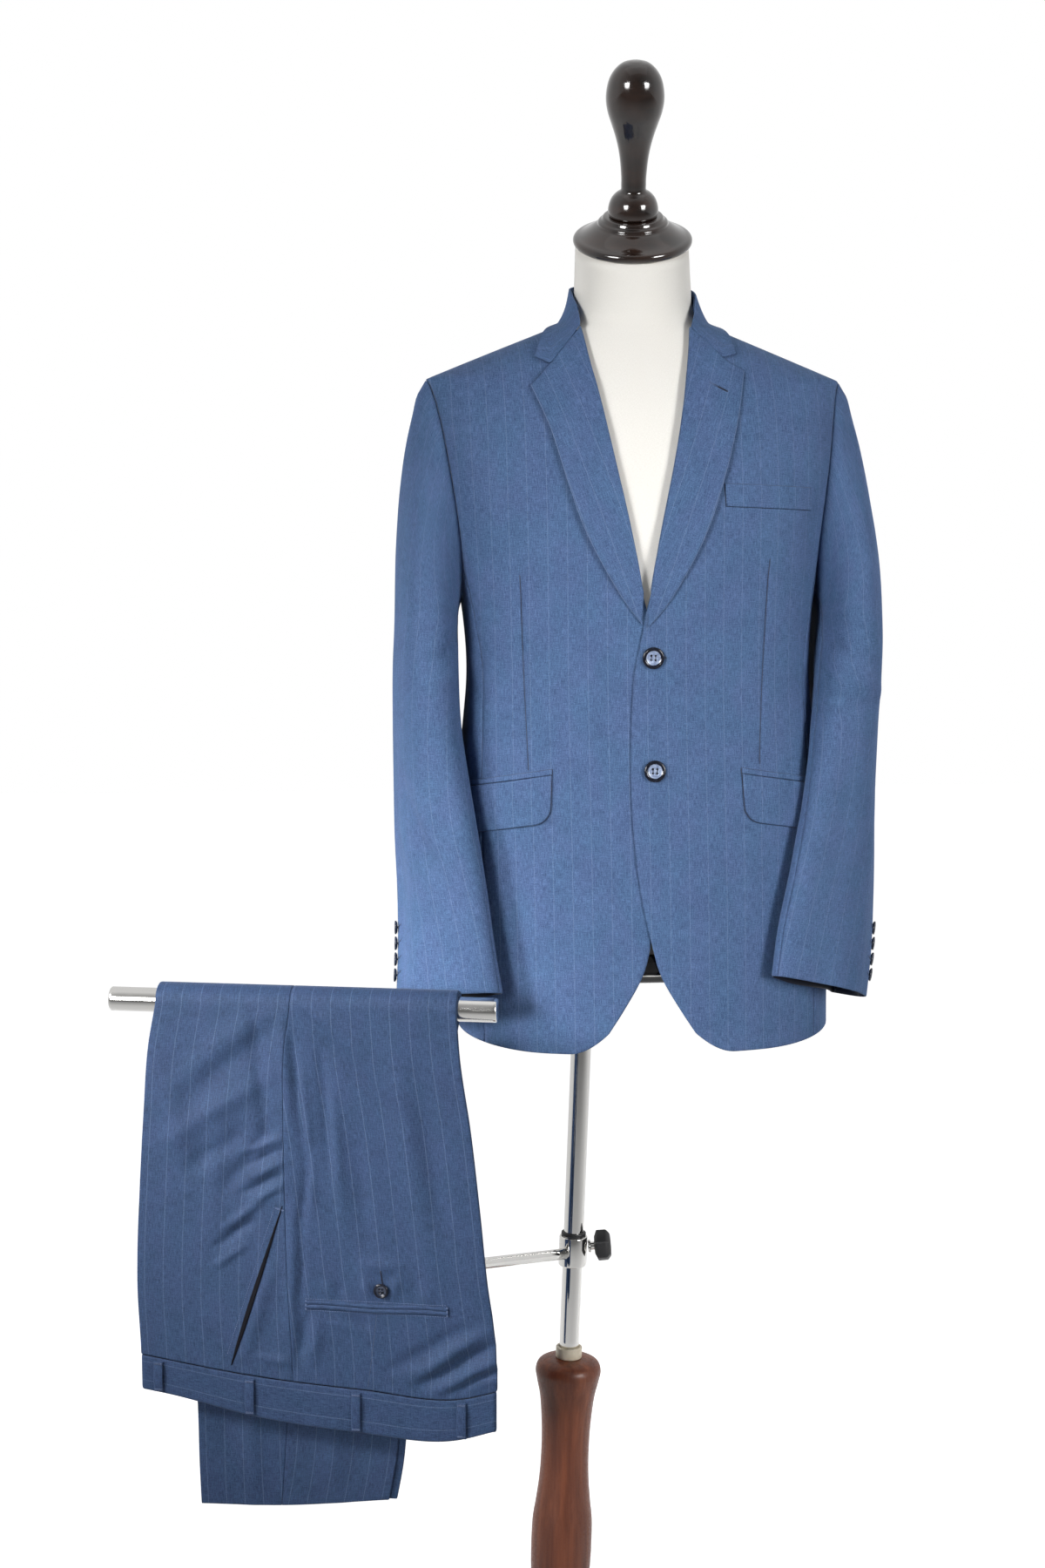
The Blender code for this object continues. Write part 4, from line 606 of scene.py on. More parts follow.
def thread_finish(name, dark, light, sheen=0.2, shine=0.5):
    return grain_finish(name, dark, light, 2600.0, 2.0, 0.0001, 0.6, Roughness=0.55, Sheen_Weight=sheen,
                        Specular_IOR_Level=shine)


LINING_WITH_PAINTED_SHADE = lining_finish()
# Navy for real thread, and also for dark tubes along the darts and the pocket strips: painted shade.
NAVY_THREAD_AND_SHADE = thread_finish("thread_navy_and_painted_shade", (0.006, 0.01, 0.026), (0.026, 0.038, 0.082))
SEAM_THREAD = thread_finish("thread_blue", (0.03, 0.055, 0.13), (0.08, 0.125, 0.25))
# A blue lighter than the cloth, for a thin tube along each lapel's edge: painted highlight on the pressed edge.
LAPEL_EDGE_HIGHLIGHT = thread_finish("lapel_edge_painted_highlight", (0.075, 0.13, 0.25), (0.15, 0.22, 0.37))
# Flat black for slits, the slant pocket's mouth and the holes of buttons: painted shade in these openings.
OPENING_SHADE_BLACK = thread_finish("opening_painted_shade_black", (0.001, 0.001, 0.002), (0.004, 0.004, 0.007), 0.0, 0.1)
print("lining and threads ready")

# %% [markdown]
# ### Horn buttons
# The front buttons have a glossy dark rim and a hollow middle with a pearly, blue-grey cloud, as pressed
# horn and shell imitations have.  A noise bent by another noise gives the cloud.


# %% Button finishes
def button_finish(name, dark, light, rough, swirl, shine=0.5):
    made, tree, shader = finish(name, Roughness=rough, Coat_Weight=shine, Coat_Roughness=0.08,
                                Specular_IOR_Level=shine)
    place = node(tree, "ShaderNodeTexCoord").outputs["Object"]
    bend = node(tree, "ShaderNodeTexNoise", {"Vector": place, "Scale": 90.0}).outputs["Color"]
    bend = node(tree, "ShaderNodeVectorMath", {0: bend, "Scale": swirl}, operation="SCALE").outputs[0]
    moved = node(tree, "ShaderNodeVectorMath", {0: place, 1: bend}, operation="ADD").outputs[0]
    cloud = noise(tree, moved, 210.0, 4.0, 0.6)
    tree.links.new(mixed(tree, ranged(tree, cloud, 0.3, 0.7), dark, light), shader.inputs["Base Color"])
    tree.links.new(ranged(tree, cloud, 0.3, 0.7, rough * 0.8, rough * 1.3), shader.inputs["Roughness"])
    raised(tree, shader, cloud, 0.00004, 0.4)
    return made


BUTTON_RIM = button_finish("button_rim_navy", (0.003, 0.004, 0.008), (0.01, 0.012, 0.022), 0.14, 0.004, 0.25)
BUTTON_PEARL = button_finish("button_pearl", (0.09, 0.125, 0.22), (0.34, 0.41, 0.56), 0.24, 0.012)
BUTTON_DARK = button_finish("button_dark", (0.006, 0.008, 0.015), (0.045, 0.055, 0.085), 0.2, 0.01, 0.35)
print("three button finishes")

# %% [markdown]
# ### Linen, lacquer, chrome, wood and plastic
# The form is covered in cream linen jersey.  Its neck cap and knob are turned wood under thick, nearly black
# lacquer: a clear coat over a brown that shows only where light falls straight on it.  Chrome gets faint
# wiping marks, since a perfect mirror looks false, and the column is red stained wood with dark streaks.


# %% Stand and form finishes
def linen_finish():
    made, tree, shader = finish("form_linen_cover", Roughness=0.9, Sheen_Weight=0.25, Specular_IOR_Level=0.2)
    across, along = weave_ways(tree)
    warp = noise(tree, stretched(tree, across, along, 1900, 420), 1.0, 2.0)
    weft = noise(tree, stretched(tree, across, along, 420, 1900), 1.0, 2.0)
    broad = noise(tree, stretched(tree, across, along, 9, 9), 1.0, 2.0)
    thread = sums(tree, "MULTIPLY", sums(tree, "ADD", warp, weft), 0.5)
    colour = mixed(tree, ranged(tree, thread, 0.32, 0.68), (0.66, 0.64, 0.6), (0.752, 0.739, 0.702))
    colour = mixed(tree, ranged(tree, broad, 0.35, 0.7, 0.0, 0.16), colour, (0.695, 0.655, 0.592))
    tree.links.new(colour, shader.inputs["Base Color"])
    raised(tree, shader, thread, 0.0002, 0.5)
    return made


def lacquer_finish(name, dark, light, rough, streaks, coat=1.0):
    made, tree, shader = finish(name, Roughness=rough, Coat_Weight=coat, Coat_Roughness=0.04)
    place = node(tree, "ShaderNodeTexCoord").outputs["Object"]
    ways = node(tree, "ShaderNodeMapping", {"Vector": place, "Scale": streaks}).outputs[0]
    grain = noise(tree, ways, 1.0, 4.0, 0.6)
    speck = noise(tree, place, 420.0, 2.0)
    tree.links.new(mixed(tree, ranged(tree, grain, 0.35, 0.72), dark, light), shader.inputs["Base Color"])
    tree.links.new(ranged(tree, speck, 0.3, 0.7, rough * 0.7, rough * 1.5), shader.inputs["Roughness"])
    raised(tree, shader, grain, 0.0001, 0.3)
    return made


def chrome_finish():
    made, tree, shader = finish("chrome_steel", Metallic=1.0, Roughness=0.1)
    place = node(tree, "ShaderNodeTexCoord").outputs["Object"]
    drawn_out = node(tree, "ShaderNodeMapping", {"Vector": place, "Scale": (60, 60, 400)}).outputs[0]
    wipe = noise(tree, drawn_out, 1.0, 3.0)
    haze = noise(tree, place, 14.0, 2.0)
    tree.links.new(mixed(tree, haze, (0.8, 0.79, 0.765), (0.9, 0.89, 0.87)), shader.inputs["Base Color"])
    tree.links.new(ranged(tree, sums(tree, "ADD", wipe, haze), 0.7, 1.3, 0.05, 0.17), shader.inputs["Roughness"])
    raised(tree, shader, wipe, 0.00003, 0.25)
    return made


def enamel_finish(name, dark, light, rough):
    return grain_finish(name, dark, light, 70.0, 3.0, 0.0001, 0.3, (rough * 0.8, rough * 1.2), (0.3, 0.7),
                        Roughness=rough, Coat_Weight=0.3)


LINEN = linen_finish()
LACQUER = lacquer_finish("lacquer_brown_black", (0.008, 0.005, 0.004), (0.03, 0.014, 0.009), 0.14, (25, 25, 60))
GLOSS_BLACK = lacquer_finish("gloss_black_cap", (0.003, 0.003, 0.004), (0.01, 0.01, 0.012), 0.12, (12, 12, 12))
CHROME = chrome_finish()
BLACK_PLASTIC = grain_finish("black_plastic_moulded", (0.01, 0.01, 0.011), (0.034, 0.034, 0.037), 900.0, 3.0,
                             0.0001, 0.5, (0.36, 0.56), Roughness=0.45)
RED_WOOD = lacquer_finish("red_stained_wood", (0.115, 0.027, 0.01), (0.25, 0.07, 0.027), 0.4, (110, 110, 7), 0.15)
FERRULE_CREAM = enamel_finish("ferrule_cream_enamel", (0.7, 0.6, 0.43), (0.9, 0.82, 0.66), 0.4)
CAP_RIM = enamel_finish("cap_rim_pale", (0.6, 0.59, 0.56), (0.8, 0.79, 0.76), 0.3)
print(len(bpy.data.materials), "finishes in the file")

# %% [markdown]
# ## From two grids of points to a piece of cloth
# Every cloth piece is a thin shell: the outside grid, the inside grid and a narrow strip that joins them
# at the edges.  The first two steps at each edge are pinched together a little, because a sewn edge is
# turned under and pressed, and so it is thinner and rounder than the middle.  The outside gets the suit
# cloth and the inside the lining.


# %% Piece builders
PIECES = []


def new_piece(name, points, faces, weave, finishes, finish_of=None, stands_for=None):
    """An object from arrays of points and quads, with its Weave map, riding on the root body.

    A solid of the frame that it stands for is hidden."""
    mesh = bpy.data.meshes.new(name)
    mesh.from_pydata(np.asarray(points, float).tolist(), [], [tuple(map(int, face)) for face in faces])
    for each in finishes:
        mesh.materials.append(each)
    if finish_of is not None:
        mesh.polygons.foreach_set("material_index", np.asarray(finish_of, np.int32))
    corners = np.empty(len(mesh.loops), np.int32)
    mesh.loops.foreach_get("vertex_index", corners)
    layer = mesh.uv_layers.new(name="Weave")
    layer.data.foreach_set("uv", np.asarray(weave, np.float32)[corners].ravel())
    mesh.shade_smooth()
    mesh.update()
    made = bpy.data.objects.new(name, mesh)
    bpy.context.scene.collection.objects.link(made)
    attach(made, "root")
    if stands_for:
        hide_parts(stands_for)
    PIECES.append(made)
    return made


def pinch_shares(shape, ring=False, sewn=0.36):
    """How much of half the thickness the edge rows and columns lose."""
    rows = np.zeros(shape[0])
    rows[[0, -1]], rows[[1, -2]] = sewn * 2, sewn * 0.5
    columns = np.zeros(shape[1])
    if not ring:
        columns[[0, -1]], columns[[1, -2]] = sewn * 2, sewn * 0.5
    return np.maximum(rows[:, None], columns[None, :])


def shell(name, outside, inside, weave, finishes, ring=False, sewn=0.36, stands_for=None):
    """Thin cloth between two grids of points."""
    rows, columns = outside.shape[:2]
    pinch = pinch_shares((rows, columns), ring, sewn)[..., None]
    middle, half = (outside + inside) / 2, (outside - inside) / 2
    outside, inside = middle + half * (1 - pinch), middle - half * (1 - pinch)
    points = np.concatenate([outside.reshape(-1, 3), inside.reshape(-1, 3)])
    far = rows * columns
    i, j = np.meshgrid(np.arange(rows - 1), np.arange(columns if ring else columns - 1), indexing="ij")
    a, b = (i * columns + j).ravel(), (i * columns + (j + 1) % columns).ravel()
    c, d = b + columns, a + columns
    front = np.stack([a, b, c, d], axis=1)
    back = np.stack([far + d, far + c, far + b, far + a], axis=1)
    rims = []
    for row in (0, rows - 1):
        j = np.arange(columns if ring else columns - 1)
        a, b = row * columns + j, row * columns + (j + 1) % columns
        rim = np.stack([b, a, far + a, far + b], axis=1)
        rims.append(rim if row == 0 else rim[:, ::-1])
    if not ring:
        for column in (0, columns - 1):
            a = np.arange(rows - 1) * columns + column
            b = a + columns
            rim = np.stack([a, b, far + b, far + a], axis=1)
            rims.append(rim if column == 0 else rim[:, ::-1])
    faces = np.concatenate([front, back, *rims])
    finish_of = np.zeros(len(faces), int)
    if len(finishes) > 1:
        finish_of[len(front):2 * len(front)] = 1
    corner = points[front[:, 1]] - points[front[:, 0]], points[front[:, 3]] - points[front[:, 0]]
    facing = np.cross(*corner)
    through = points[front[:, 0]] - points[far + front[:, 0]]
    if (facing * through).sum() < 0:
        faces = faces[:, ::-1]
    weave = np.concatenate([weave.reshape(-1, 2), weave.reshape(-1, 2)])
    made = new_piece(name, points, faces, weave, finishes, finish_of, stands_for=stands_for)
    made["grid"] = [rows, columns]
    return made


def flat_size(outside, inside, ring=False):
    """Width, length and area of the cloth when it lies flat, measured on the middle of its thickness."""
    grid = (outside + inside) / 2
    if ring:
        grid = np.concatenate([grid, grid[:, :1]], axis=1)
    across = np.linalg.norm(np.diff(grid, axis=1), axis=-1).sum(axis=1)
    down = np.linalg.norm(np.diff(grid, axis=0), axis=-1).sum(axis=0)
    first = np.cross(grid[:-1, 1:] - grid[:-1, :-1], grid[1:, :-1] - grid[:-1, :-1])
    second = np.cross(grid[:-1, 1:] - grid[1:, 1:], grid[1:, :-1] - grid[1:, 1:])
    area = (np.linalg.norm(first, axis=-1) + np.linalg.norm(second, axis=-1)).sum() / 2
    width, length = max(across.max(), 0.011), max(down.max(), 0.011)
    return float(width), float(length), float(min(area, width * length))


SHEETS = {}


def cloth_piece(name, outside, inside, weave, finishes, held, rests_on, ring=False, sewn=0.36):
    """A shell that stands for its solid of the same name and is noted as a sheet."""
    made = shell(name + "_cloth", outside, inside, weave, finishes, ring, sewn, name)
    SHEETS[name] = (made, flat_size(outside, inside, ring), held, rests_on)


print("piece builders ready")

# %% [markdown]
# ## The fronts
# A front runs from its edge and roll line round to the side seam.  Its dart is the long tuck that takes the
# waist in.  A pressed dart shows as a sharp, narrow furrow, so three columns of the grid are pulled to the
# dart line and the middle one is sunk.  Creases alone would be too soft for it.

# %% Fronts
CLOTH_FINISHES = [JACKET_CLOTH_FINISH, LINING_WITH_PAINTED_SHADE]
OVERLAP_LIFT = JACKET_CLOTH + LAYER_GAP
BODY_PITCH = 0.0036
DARTS = {"right": ((1.2933, -0.1352), (1.085, -0.1297)), "left": ((1.3103, 0.1278), (1.09, 0.1161))}
DART_HALF = 0.0011


def front_lift(side, places):
    """The left front lies over the right one along the middle."""
    if side == "right":
        return np.zeros(places.shape[:-1])
    across = torso(places[..., 0], places[..., 1])[..., 0] - middle_x(places[..., 1]) - FRONT_MIDDLE
    return OVERLAP_LIFT * (1 - soft_step(across, 0.03, 0.085)) * (1 - soft_step(places[..., 1], 1.275, 1.36))


def dart_way(side, height):
    """Metres along the cloth to the dart line at this height, and how fully the dart is sewn there."""
    (top, top_out), (bottom, bottom_out) = DARTS[side]
    share = np.clip((top - height) / (top - bottom), -0.6, 1.6)
    out = top_out + (bottom_out - top_out) * share
    sewn = soft_step(height, bottom - 0.003, bottom + 0.006) * (1 - soft_step(height, top - 0.03, top))
    return way_round(angle_at(out, height), height), sewn


DART_DEPTH, DART_SIDE_DEPTH = 0.0022, 0.0007
DART_FROM_EDGE = 0.02


def columns_at_dart(side, places):
    """The grid with three columns pulled to the dart line, and the depth of the furrow on them."""
    rows, columns = places.shape[:2]
    height = places[..., 1].mean(axis=1)
    target, _ = dart_way(side, height)
    ways = way_round(places[..., 0], places[..., 1])
    seam = int(np.argmin(np.abs(ways - target[:, None]).mean(axis=0)))
    moved = places.copy()
    depth = np.zeros((rows, columns))
    for i in range(rows):
        way = ways[i]
        if not way.min() + DART_FROM_EDGE < target[i] < way.max() - DART_FROM_EDGE:
            continue
        sign = 1 if way[-1] > way[0] else -1
        knots = [way[0], target[i] - sign * 2.5 * DART_HALF, target[i] - sign * DART_HALF, target[i],
                 target[i] + sign * DART_HALF, target[i] + sign * 2.5 * DART_HALF, way[-1]]
        spots = [0, seam - 2, seam - 1, seam, seam + 1, seam + 2, columns - 1]
        wanted = np.interp(np.arange(columns), spots, knots)
        order = np.argsort(way)
        for k in (0, 1):
            moved[i, :, k] = np.interp(wanted, way[order], places[i, order, k])
        _, sewn = dart_way(side, moved[i, seam, 1])
        depth[i, seam], depth[i, [seam - 1, seam + 1]] = DART_DEPTH * sewn, DART_SIDE_DEPTH * sewn
    return moved, depth


ROLL_TUCK = 0.0022                # the front ends this far under the lapel's roll


def front_grid(side):
    right = moved_round(SIDE_SEAMS[side, "front"], -SIDES[side] * SEAM_GAP / 2)
    armhole = armhole_line(side, FRONT_SEAM_STEP, 0)
    shoulder = ridge_line(side, "front")
    armhole[0], armhole[-1] = right[-1], shoulder[-1]
    outer = np.concatenate([right, armhole[1:]])
    roll = edge_line(side, [(z, out + ROLL_TUCK * float(soft_step(z, 1.256, 1.3))) for z, out in ROLL_LINE])
    edge = np.concatenate([edge_line(side, FRONT_EDGE), roll[1:], shoulder[:1]])
    across = even_with_edges(0.25, BODY_PITCH)
    up = even_with_edges(line_length(edge), BODY_PITCH)
    angles = np.linspace(edge[0, 0], outer[0, 0], 160)
    drop = 1 - (1 - np.clip((np.abs(angles) - abs(edge[0, 0])) / 0.21, 0, 1)) ** 2
    heights = edge[0, 1] + (hem_height(angles) - edge[0, 1]) * drop
    hem = np.stack([angles, heights], axis=1)
    hem[-1] = outer[0]
    return columns_at_dart(side, patch(hem, shoulder, edge, outer, across, up))


CHEST_HEIGHT, CHEST_REACH = 1.42, 0.19    # above this height, and out to here, stripes run straight
WAIST_HEIGHT = 1.1                # where the distance between stripes is counted


def body_weave(places):
    """Stripes keep their distance round the body, and run straight on up over the shoulder."""
    angle, height = places[..., 0], places[..., 1]
    across = torso(angle, height)[..., 0] - middle_x(height)
    within = np.clip(across, -CHEST_REACH, CHEST_REACH)
    turn = angle_at(within, CHEST_HEIGHT)
    turn = np.where(np.abs(angle) > math.pi / 2, np.sign(angle) * math.pi - turn, turn)
    upper = way_round(turn, CHEST_HEIGHT) + (across - within) * np.sign(math.pi / 2 - np.abs(angle))
    high = soft_step(height, 1.4, 1.46)
    way = way_round(angle, height) * (1 - high) + upper * high
    return np.stack([way - way_round(angle_at(FRONT_MIDDLE, WAIST_HEIGHT), WAIST_HEIGHT), height], axis=-1)


for side in SIDES:
    places, furrow = front_grid(side)
    lift = front_lift(side, places) - furrow
    cloth_piece(f"front_{side}", torso_out(places, lift), torso_out(places, lift - JACKET_CLOTH + 0.6 * furrow),
                body_weave(places), CLOTH_FINISHES, "draped", ["form_torso"])
    print("front", side, places.shape)

# %% [markdown]
# ## Side bodies and back
# The side body is a narrow panel under the arm; it lets the jacket follow the waist without a dart at the
# side.  The back is two halves with a seam down the middle.  Their edges are pinched by the same amount, so
# each seam is a shallow valley between two panels.

# %% Side bodies and backs
SIDE_BODY_SIZE, SIDE_BODY_PITCH = (0.13, 0.5), 0.0045
BACK_SIZE, BACK_PITCH = (0.21, 0.75), 0.0042


def panel_on_form(name, places, weave):
    """A panel of the jacket whose outside lies on the torso's surface."""
    cloth_piece(name, torso_out(places, 0.0), torso_out(places, -JACKET_CLOTH), weave,
                CLOTH_FINISHES, "draped", ["form_torso"])
    print(name, places.shape)


for side in SIDES:
    front = moved_round(SIDE_SEAMS[side, "front"], SIDES[side] * SEAM_GAP / 2)
    back = moved_round(SIDE_SEAMS[side, "back"], -SIDES[side] * SEAM_GAP / 2)
    underarm = armhole_line(side, FRONT_SEAM_STEP, BACK_SEAM_STEP)
    underarm[0], underarm[-1] = front[-1], back[-1]
    angles = np.linspace(front[0, 0], back[0, 0], 60)
    hem = np.stack([angles, hem_height(angles)], axis=1)
    hem[0], hem[-1] = front[0], back[0]
    across, up = (even_with_edges(length, SIDE_BODY_PITCH) for length in SIDE_BODY_SIZE)
    places = patch(hem, underarm, front, back, across, up)
    panel_on_form(f"side_{side}", places, body_weave(places))


def back_grid(side):
    sign = SIDES[side]
    seam = moved_round(SIDE_SEAMS[side, "back"], sign * SEAM_GAP / 2)
    shoulder = ridge_line(side, "back")
    armhole = armhole_line(side, BACK_SEAM_STEP, ARMHOLE_STEPS)
    armhole[0], armhole[-1] = seam[-1], shoulder[-1]
    outer = np.concatenate([seam, armhole[1:]])
    heights = np.linspace(BACK_HEM, NECK_POINT_HEIGHT + 0.004, 160)
    half, _, _, square = section(heights)
    middle = np.stack([sign * (math.pi - np.arcsin((SEAM_GAP / 2 / half) ** (square / 2))), heights], axis=1)
    neck_turn = np.linspace(middle[-1, 0], shoulder[0, 0], 20)
    neck_rise = np.interp(np.abs(neck_turn), sorted([abs(shoulder[0, 0]), abs(middle[-1, 0])]),
                          [shoulder[0, 1], middle[-1, 1]])
    top = np.concatenate([np.stack([neck_turn, neck_rise], axis=1), shoulder[1:]])
    angles = np.linspace(middle[0, 0], outer[0, 0], 80)
    hem = np.stack([angles, hem_height(angles)], axis=1)
    hem[0], hem[-1] = middle[0], outer[0]
    across, up = (even_with_edges(length, BACK_PITCH) for length in BACK_SIZE)
    return patch(hem, top, middle, outer, across, up)


for side in SIDES:
    places = back_grid(side)
    weave = body_weave(places)
    weave[..., 0] -= SIDES[side] * way_round(math.pi, WAIST_HEIGHT) - SIDES[side] * STRIPE_PITCH / 2
    panel_on_form(f"back_{side}", places, weave)

# %% [markdown]
# ## Lapels
# A lapel is the front's own cloth folded outwards along the roll line.  It is pressed only lightly, so the
# fold stays a round roll.  The grid starts under the roll, goes round it in a half circle and then lies on
# the chest as far as the lapel's edge.

# %% Lapels
LAPEL_LIFT = JACKET_CLOTH + LAYER_GAP
ROLL_RISE = 0.0016
LAPEL_FOOT = {"left": 1.2585, "right": 1.27}
ROLL_STEPS, ROLL_CLEAR = 5, 0.0004    # the roll stands this far off its line
LAPEL_OUT, LAPEL_UP = 0.0709, 0.2015    # how far the outer edge runs out and up
LAPEL_STRIPES_FROM = 1.4


def lapel_places(side):
    roll_out = smooth_curve(ROLL_LINE, 1)
    foot = LAPEL_FOOT[side]
    rolls = [row for row in ROLL_LINE if row[0] > foot]
    roll = edge_line(side, [(foot, float(roll_out(foot)) + ROLL_CLEAR)] + [(z, out + ROLL_CLEAR) for z, out in rolls])
    corner = LAPEL_CORNER[side]
    edge_rows = (LAPEL_EDGE if side == "left" else ((1.2395, 0.0052),) + LAPEL_EDGE[1:]) + (corner,)
    edge = edge_line(side, edge_rows)
    shares = np.linspace(0, 1, 30)
    top_out = np.interp(shares, (0, 0.6, 1), (ROLL_LINE[-1][1], NOTCH[side][1], corner[1]))
    top_height = np.interp(shares, (0, 0.6, 1), (ROLL_LINE[-1][0], NOTCH[side][0], corner[0]))
    gorge = front_place(side, top_out, top_height)
    gorge[0], gorge[-1] = roll[-1], edge[-1]
    across = even_with_edges(0.085, 0.0032, 0.0006, 0.0016)
    up = even_with_edges(0.3, 0.0034)
    return patch(np.stack([roll[0], edge[0]]), gorge, roll, edge, across, up), across


def lapel_weave(points, side):
    """The lapel's stripes run along its outer edge."""
    slope = math.atan2(LAPEL_OUT, LAPEL_UP)
    out = SIDES[side] * (points[..., 0] - middle_x(points[..., 2]) - FRONT_MIDDLE)
    rise = points[..., 2] - LAPEL_STRIPES_FROM
    return np.stack([out * math.cos(slope) - rise * math.sin(slope) + 0.002,
                     rise * math.cos(slope) + out * math.sin(slope)], axis=-1)


def lapel_out(side, places, from_roll):
    belly = 0.0016 * np.sin(math.pi * from_roll) * soft_step(places[..., 1], 1.28, 1.4)
    loose = 0.0024 * soft_step(from_roll, 0.45, 1.0) * soft_step(places[..., 1], 1.27, 1.33)
    loose = loose * (1 - soft_step(places[..., 1], 1.4, 1.48))
    loose = loose + 0.0011 * soft_step(from_roll, 0.7, 1.0) * soft_step(places[..., 1], 1.24, 1.3)
    return front_lift(side, places) + LAPEL_LIFT + ROLL_RISE * (1 - from_roll) ** 2 + belly + loose


LAPEL_HIGHLIGHT_PATHS = {}
for side in SIDES:
    places, across = lapel_places(side)
    out = lapel_out(side, places, across[None, :])
    outside, inside = torso_out(places, out), torso_out(places, out - JACKET_CLOTH)
    # A path just inside the lapel's outer edge, for a pale tube: painted highlight.
    LAPEL_HIGHLIGHT_PATHS[side] = torso_out(places[:, -1], out[:, -1] - 0.0007)
    way_in = unit(outside[:, 0] - outside[:, 2])
    normal = torso_normal(places[:, 0, 0], places[:, 0, 1])
    calm = soft_step(places[:, 0, 1], LAPEL_FOOT[side], LAPEL_FOOT[side] + 0.03)[:, None]
    radius = (JACKET_CLOTH + ROLL_RISE + LAYER_GAP) / 2 + ROLL_CLEAR
    rolled_out, rolled_in = [], []
    for step in range(ROLL_STEPS, 0, -1):
        turn = math.pi * step / ROLL_STEPS * 0.92
        centre = outside[:, 0] - normal * radius
        for rows, reach in ((rolled_out, radius), (rolled_in, radius - JACKET_CLOTH * 0.75)):
            round_way = centre + reach * (math.cos(turn) * normal + math.sin(turn) * way_in)
            flat = outside[:, 0] + way_in * 0.0002 * step - normal * (radius - reach)
            rows.append(round_way * calm + flat * (1 - calm))
    outside = np.concatenate([np.stack(rolled_out, axis=1), outside], axis=1)
    inside = np.concatenate([np.stack(rolled_in, axis=1), inside], axis=1)
    cloth_piece(f"lapel_{side}", outside, inside, lapel_weave(outside, side), [JACKET_CLOTH_FINISH], "folded",
                [f"front_{side}_cloth"], sewn=0.26)
    print("lapel", side, outside.shape)

# %% [markdown]
# ## Collar and its stand
# The collar is two pieces: a stand that goes up round the neck, and a leaf that turns over it and lies on
# the shoulders.  The fold between them is one space curve.  The leaf starts inside the fold, goes over it in
# a half circle, and lands on the same gorge line as the lapels, which leaves the notch open.

# %% Collar curves
COLLAR_FOLD = ((0.056, 0.066, 1.546), (0.0628, 0.042, 1.566), (0.068, 0.008, 1.586), (0.061, -0.036, 1.597),
               (0.035, -0.063, 1.602), (0.0, -0.0705, 1.603))          # out, forward, height
COLLAR_EDGE_SHOULDER, COLLAR_EDGE_BACK = 1.5515, 1.55
STAND_FROM, STAND_FOOT, STAND_CLOTH, NECK_GAP = 1.569, (1.5585, 1.567), 0.0013, 0.0011
COLLAR_COLUMNS = 161
GORGE_SHARES = np.concatenate([[0, 0.008, 0.03], np.linspace(0.07, 0.94, 17), [0.985, 1.0]])


def spaced_curve(points, count):
    points = np.asarray(points, float)
    at = run_along(points)
    wanted = np.linspace(0, at[-1], count)
    return np.stack([smooth_curve(list(zip(at, points[:, k])), 1)(wanted) for k in range(3)], axis=1)


def collar_fold(count):
    """The fold from the right gorge round the back to the left one."""
    left = [(out, -forward, height) for out, forward, height in COLLAR_FOLD]
    right = [(-out, forward, height) for out, forward, height in left[-2::-1]]
    line = spaced_curve(left + right, count)[::-1]
    shift = np.stack([middle_x(line[:, 2]), np.full(count, FORM_Y), np.zeros(count)], axis=1)
    shift[:, 0] += FRONT_MIDDLE * np.abs(np.linspace(-1, 1, count)) ** 6
    return line + shift


def collar_edge(count):
    """The leaf's outer edge on the shoulders and the back."""
    lines = []
    for side in ("right", "left"):
        corner = front_place(side, COLLAR_CORNER[side][1], COLLAR_CORNER[side][0])
        line = [corner, (SIDES[side] * math.pi / 2, COLLAR_EDGE_SHOULDER),
                (SIDES[side] * math.radians(140), COLLAR_EDGE_SHOULDER), (SIDES[side] * math.pi, COLLAR_EDGE_BACK)]
        lines.append(torso_out(np.array([(float(a), float(b)) for a, b in line]), 0.0))
    return spaced_curve(np.concatenate([lines[0][:-1], lines[1][::-1]]), count)


def collar_end(side, shares):
    """The leaf's end along the gorge: from the fold to the notch and on to its corner."""
    out = np.interp(shares, (0, NOTCH_SHARE, 1), (ROLL_LINE[-1][1], NOTCH[side][1], COLLAR_CORNER[side][1]))
    height = np.interp(shares, (0, NOTCH_SHARE, 1), (ROLL_LINE[-1][0], NOTCH[side][0], COLLAR_CORNER[side][0]))
    places = front_place(side, out, height + GORGE_GAP)
    return torso_out(places, LAPEL_LIFT + 0.0004 + 0.0012 * shares + ROLL_RISE * (1 - shares) ** 2)


def outward_normals(grid, below=0.05):
    across, upward = np.gradient(grid, axis=1), np.gradient(grid, axis=0)
    normal = unit(np.cross(upward, across))
    centre = np.stack([middle_x(grid[..., 2]), np.full(grid.shape[:2], FORM_Y), grid[..., 2] - below], axis=-1)
    return normal * np.sign((normal * (grid - centre)).sum(axis=-1, keepdims=True))


# %% Collar leaf
fold, edge = collar_fold(COLLAR_COLUMNS), collar_edge(COLLAR_COLUMNS)
leaf = []
for share in GORGE_SHARES:
    line = fold + (edge - fold) * share
    line[:, 2] -= 0.0045 * math.sin(math.pi * share)
    leaf.append(line)
leaf = kept_clear(np.array(leaf), JACKET_CLOTH + LAYER_GAP + 0.0006)
from_end = np.linspace(0, 1, COLLAR_COLUMNS)
for end, away, side in ((0, from_end, "right"), (-1, 1 - from_end, "left")):
    line = collar_end(side, GORGE_SHARES)
    leaf += (line - leaf[:, end])[:, None] * np.exp(-24 * away)[None, :, None]
normal = outward_normals(leaf)
under = leaf - normal * JACKET_CLOTH
centre_line = np.stack([middle_x(fold[:, 2]), np.full(COLLAR_COLUMNS, FORM_Y), fold[:, 2]], axis=1)
inward = unit(centre_line - fold)
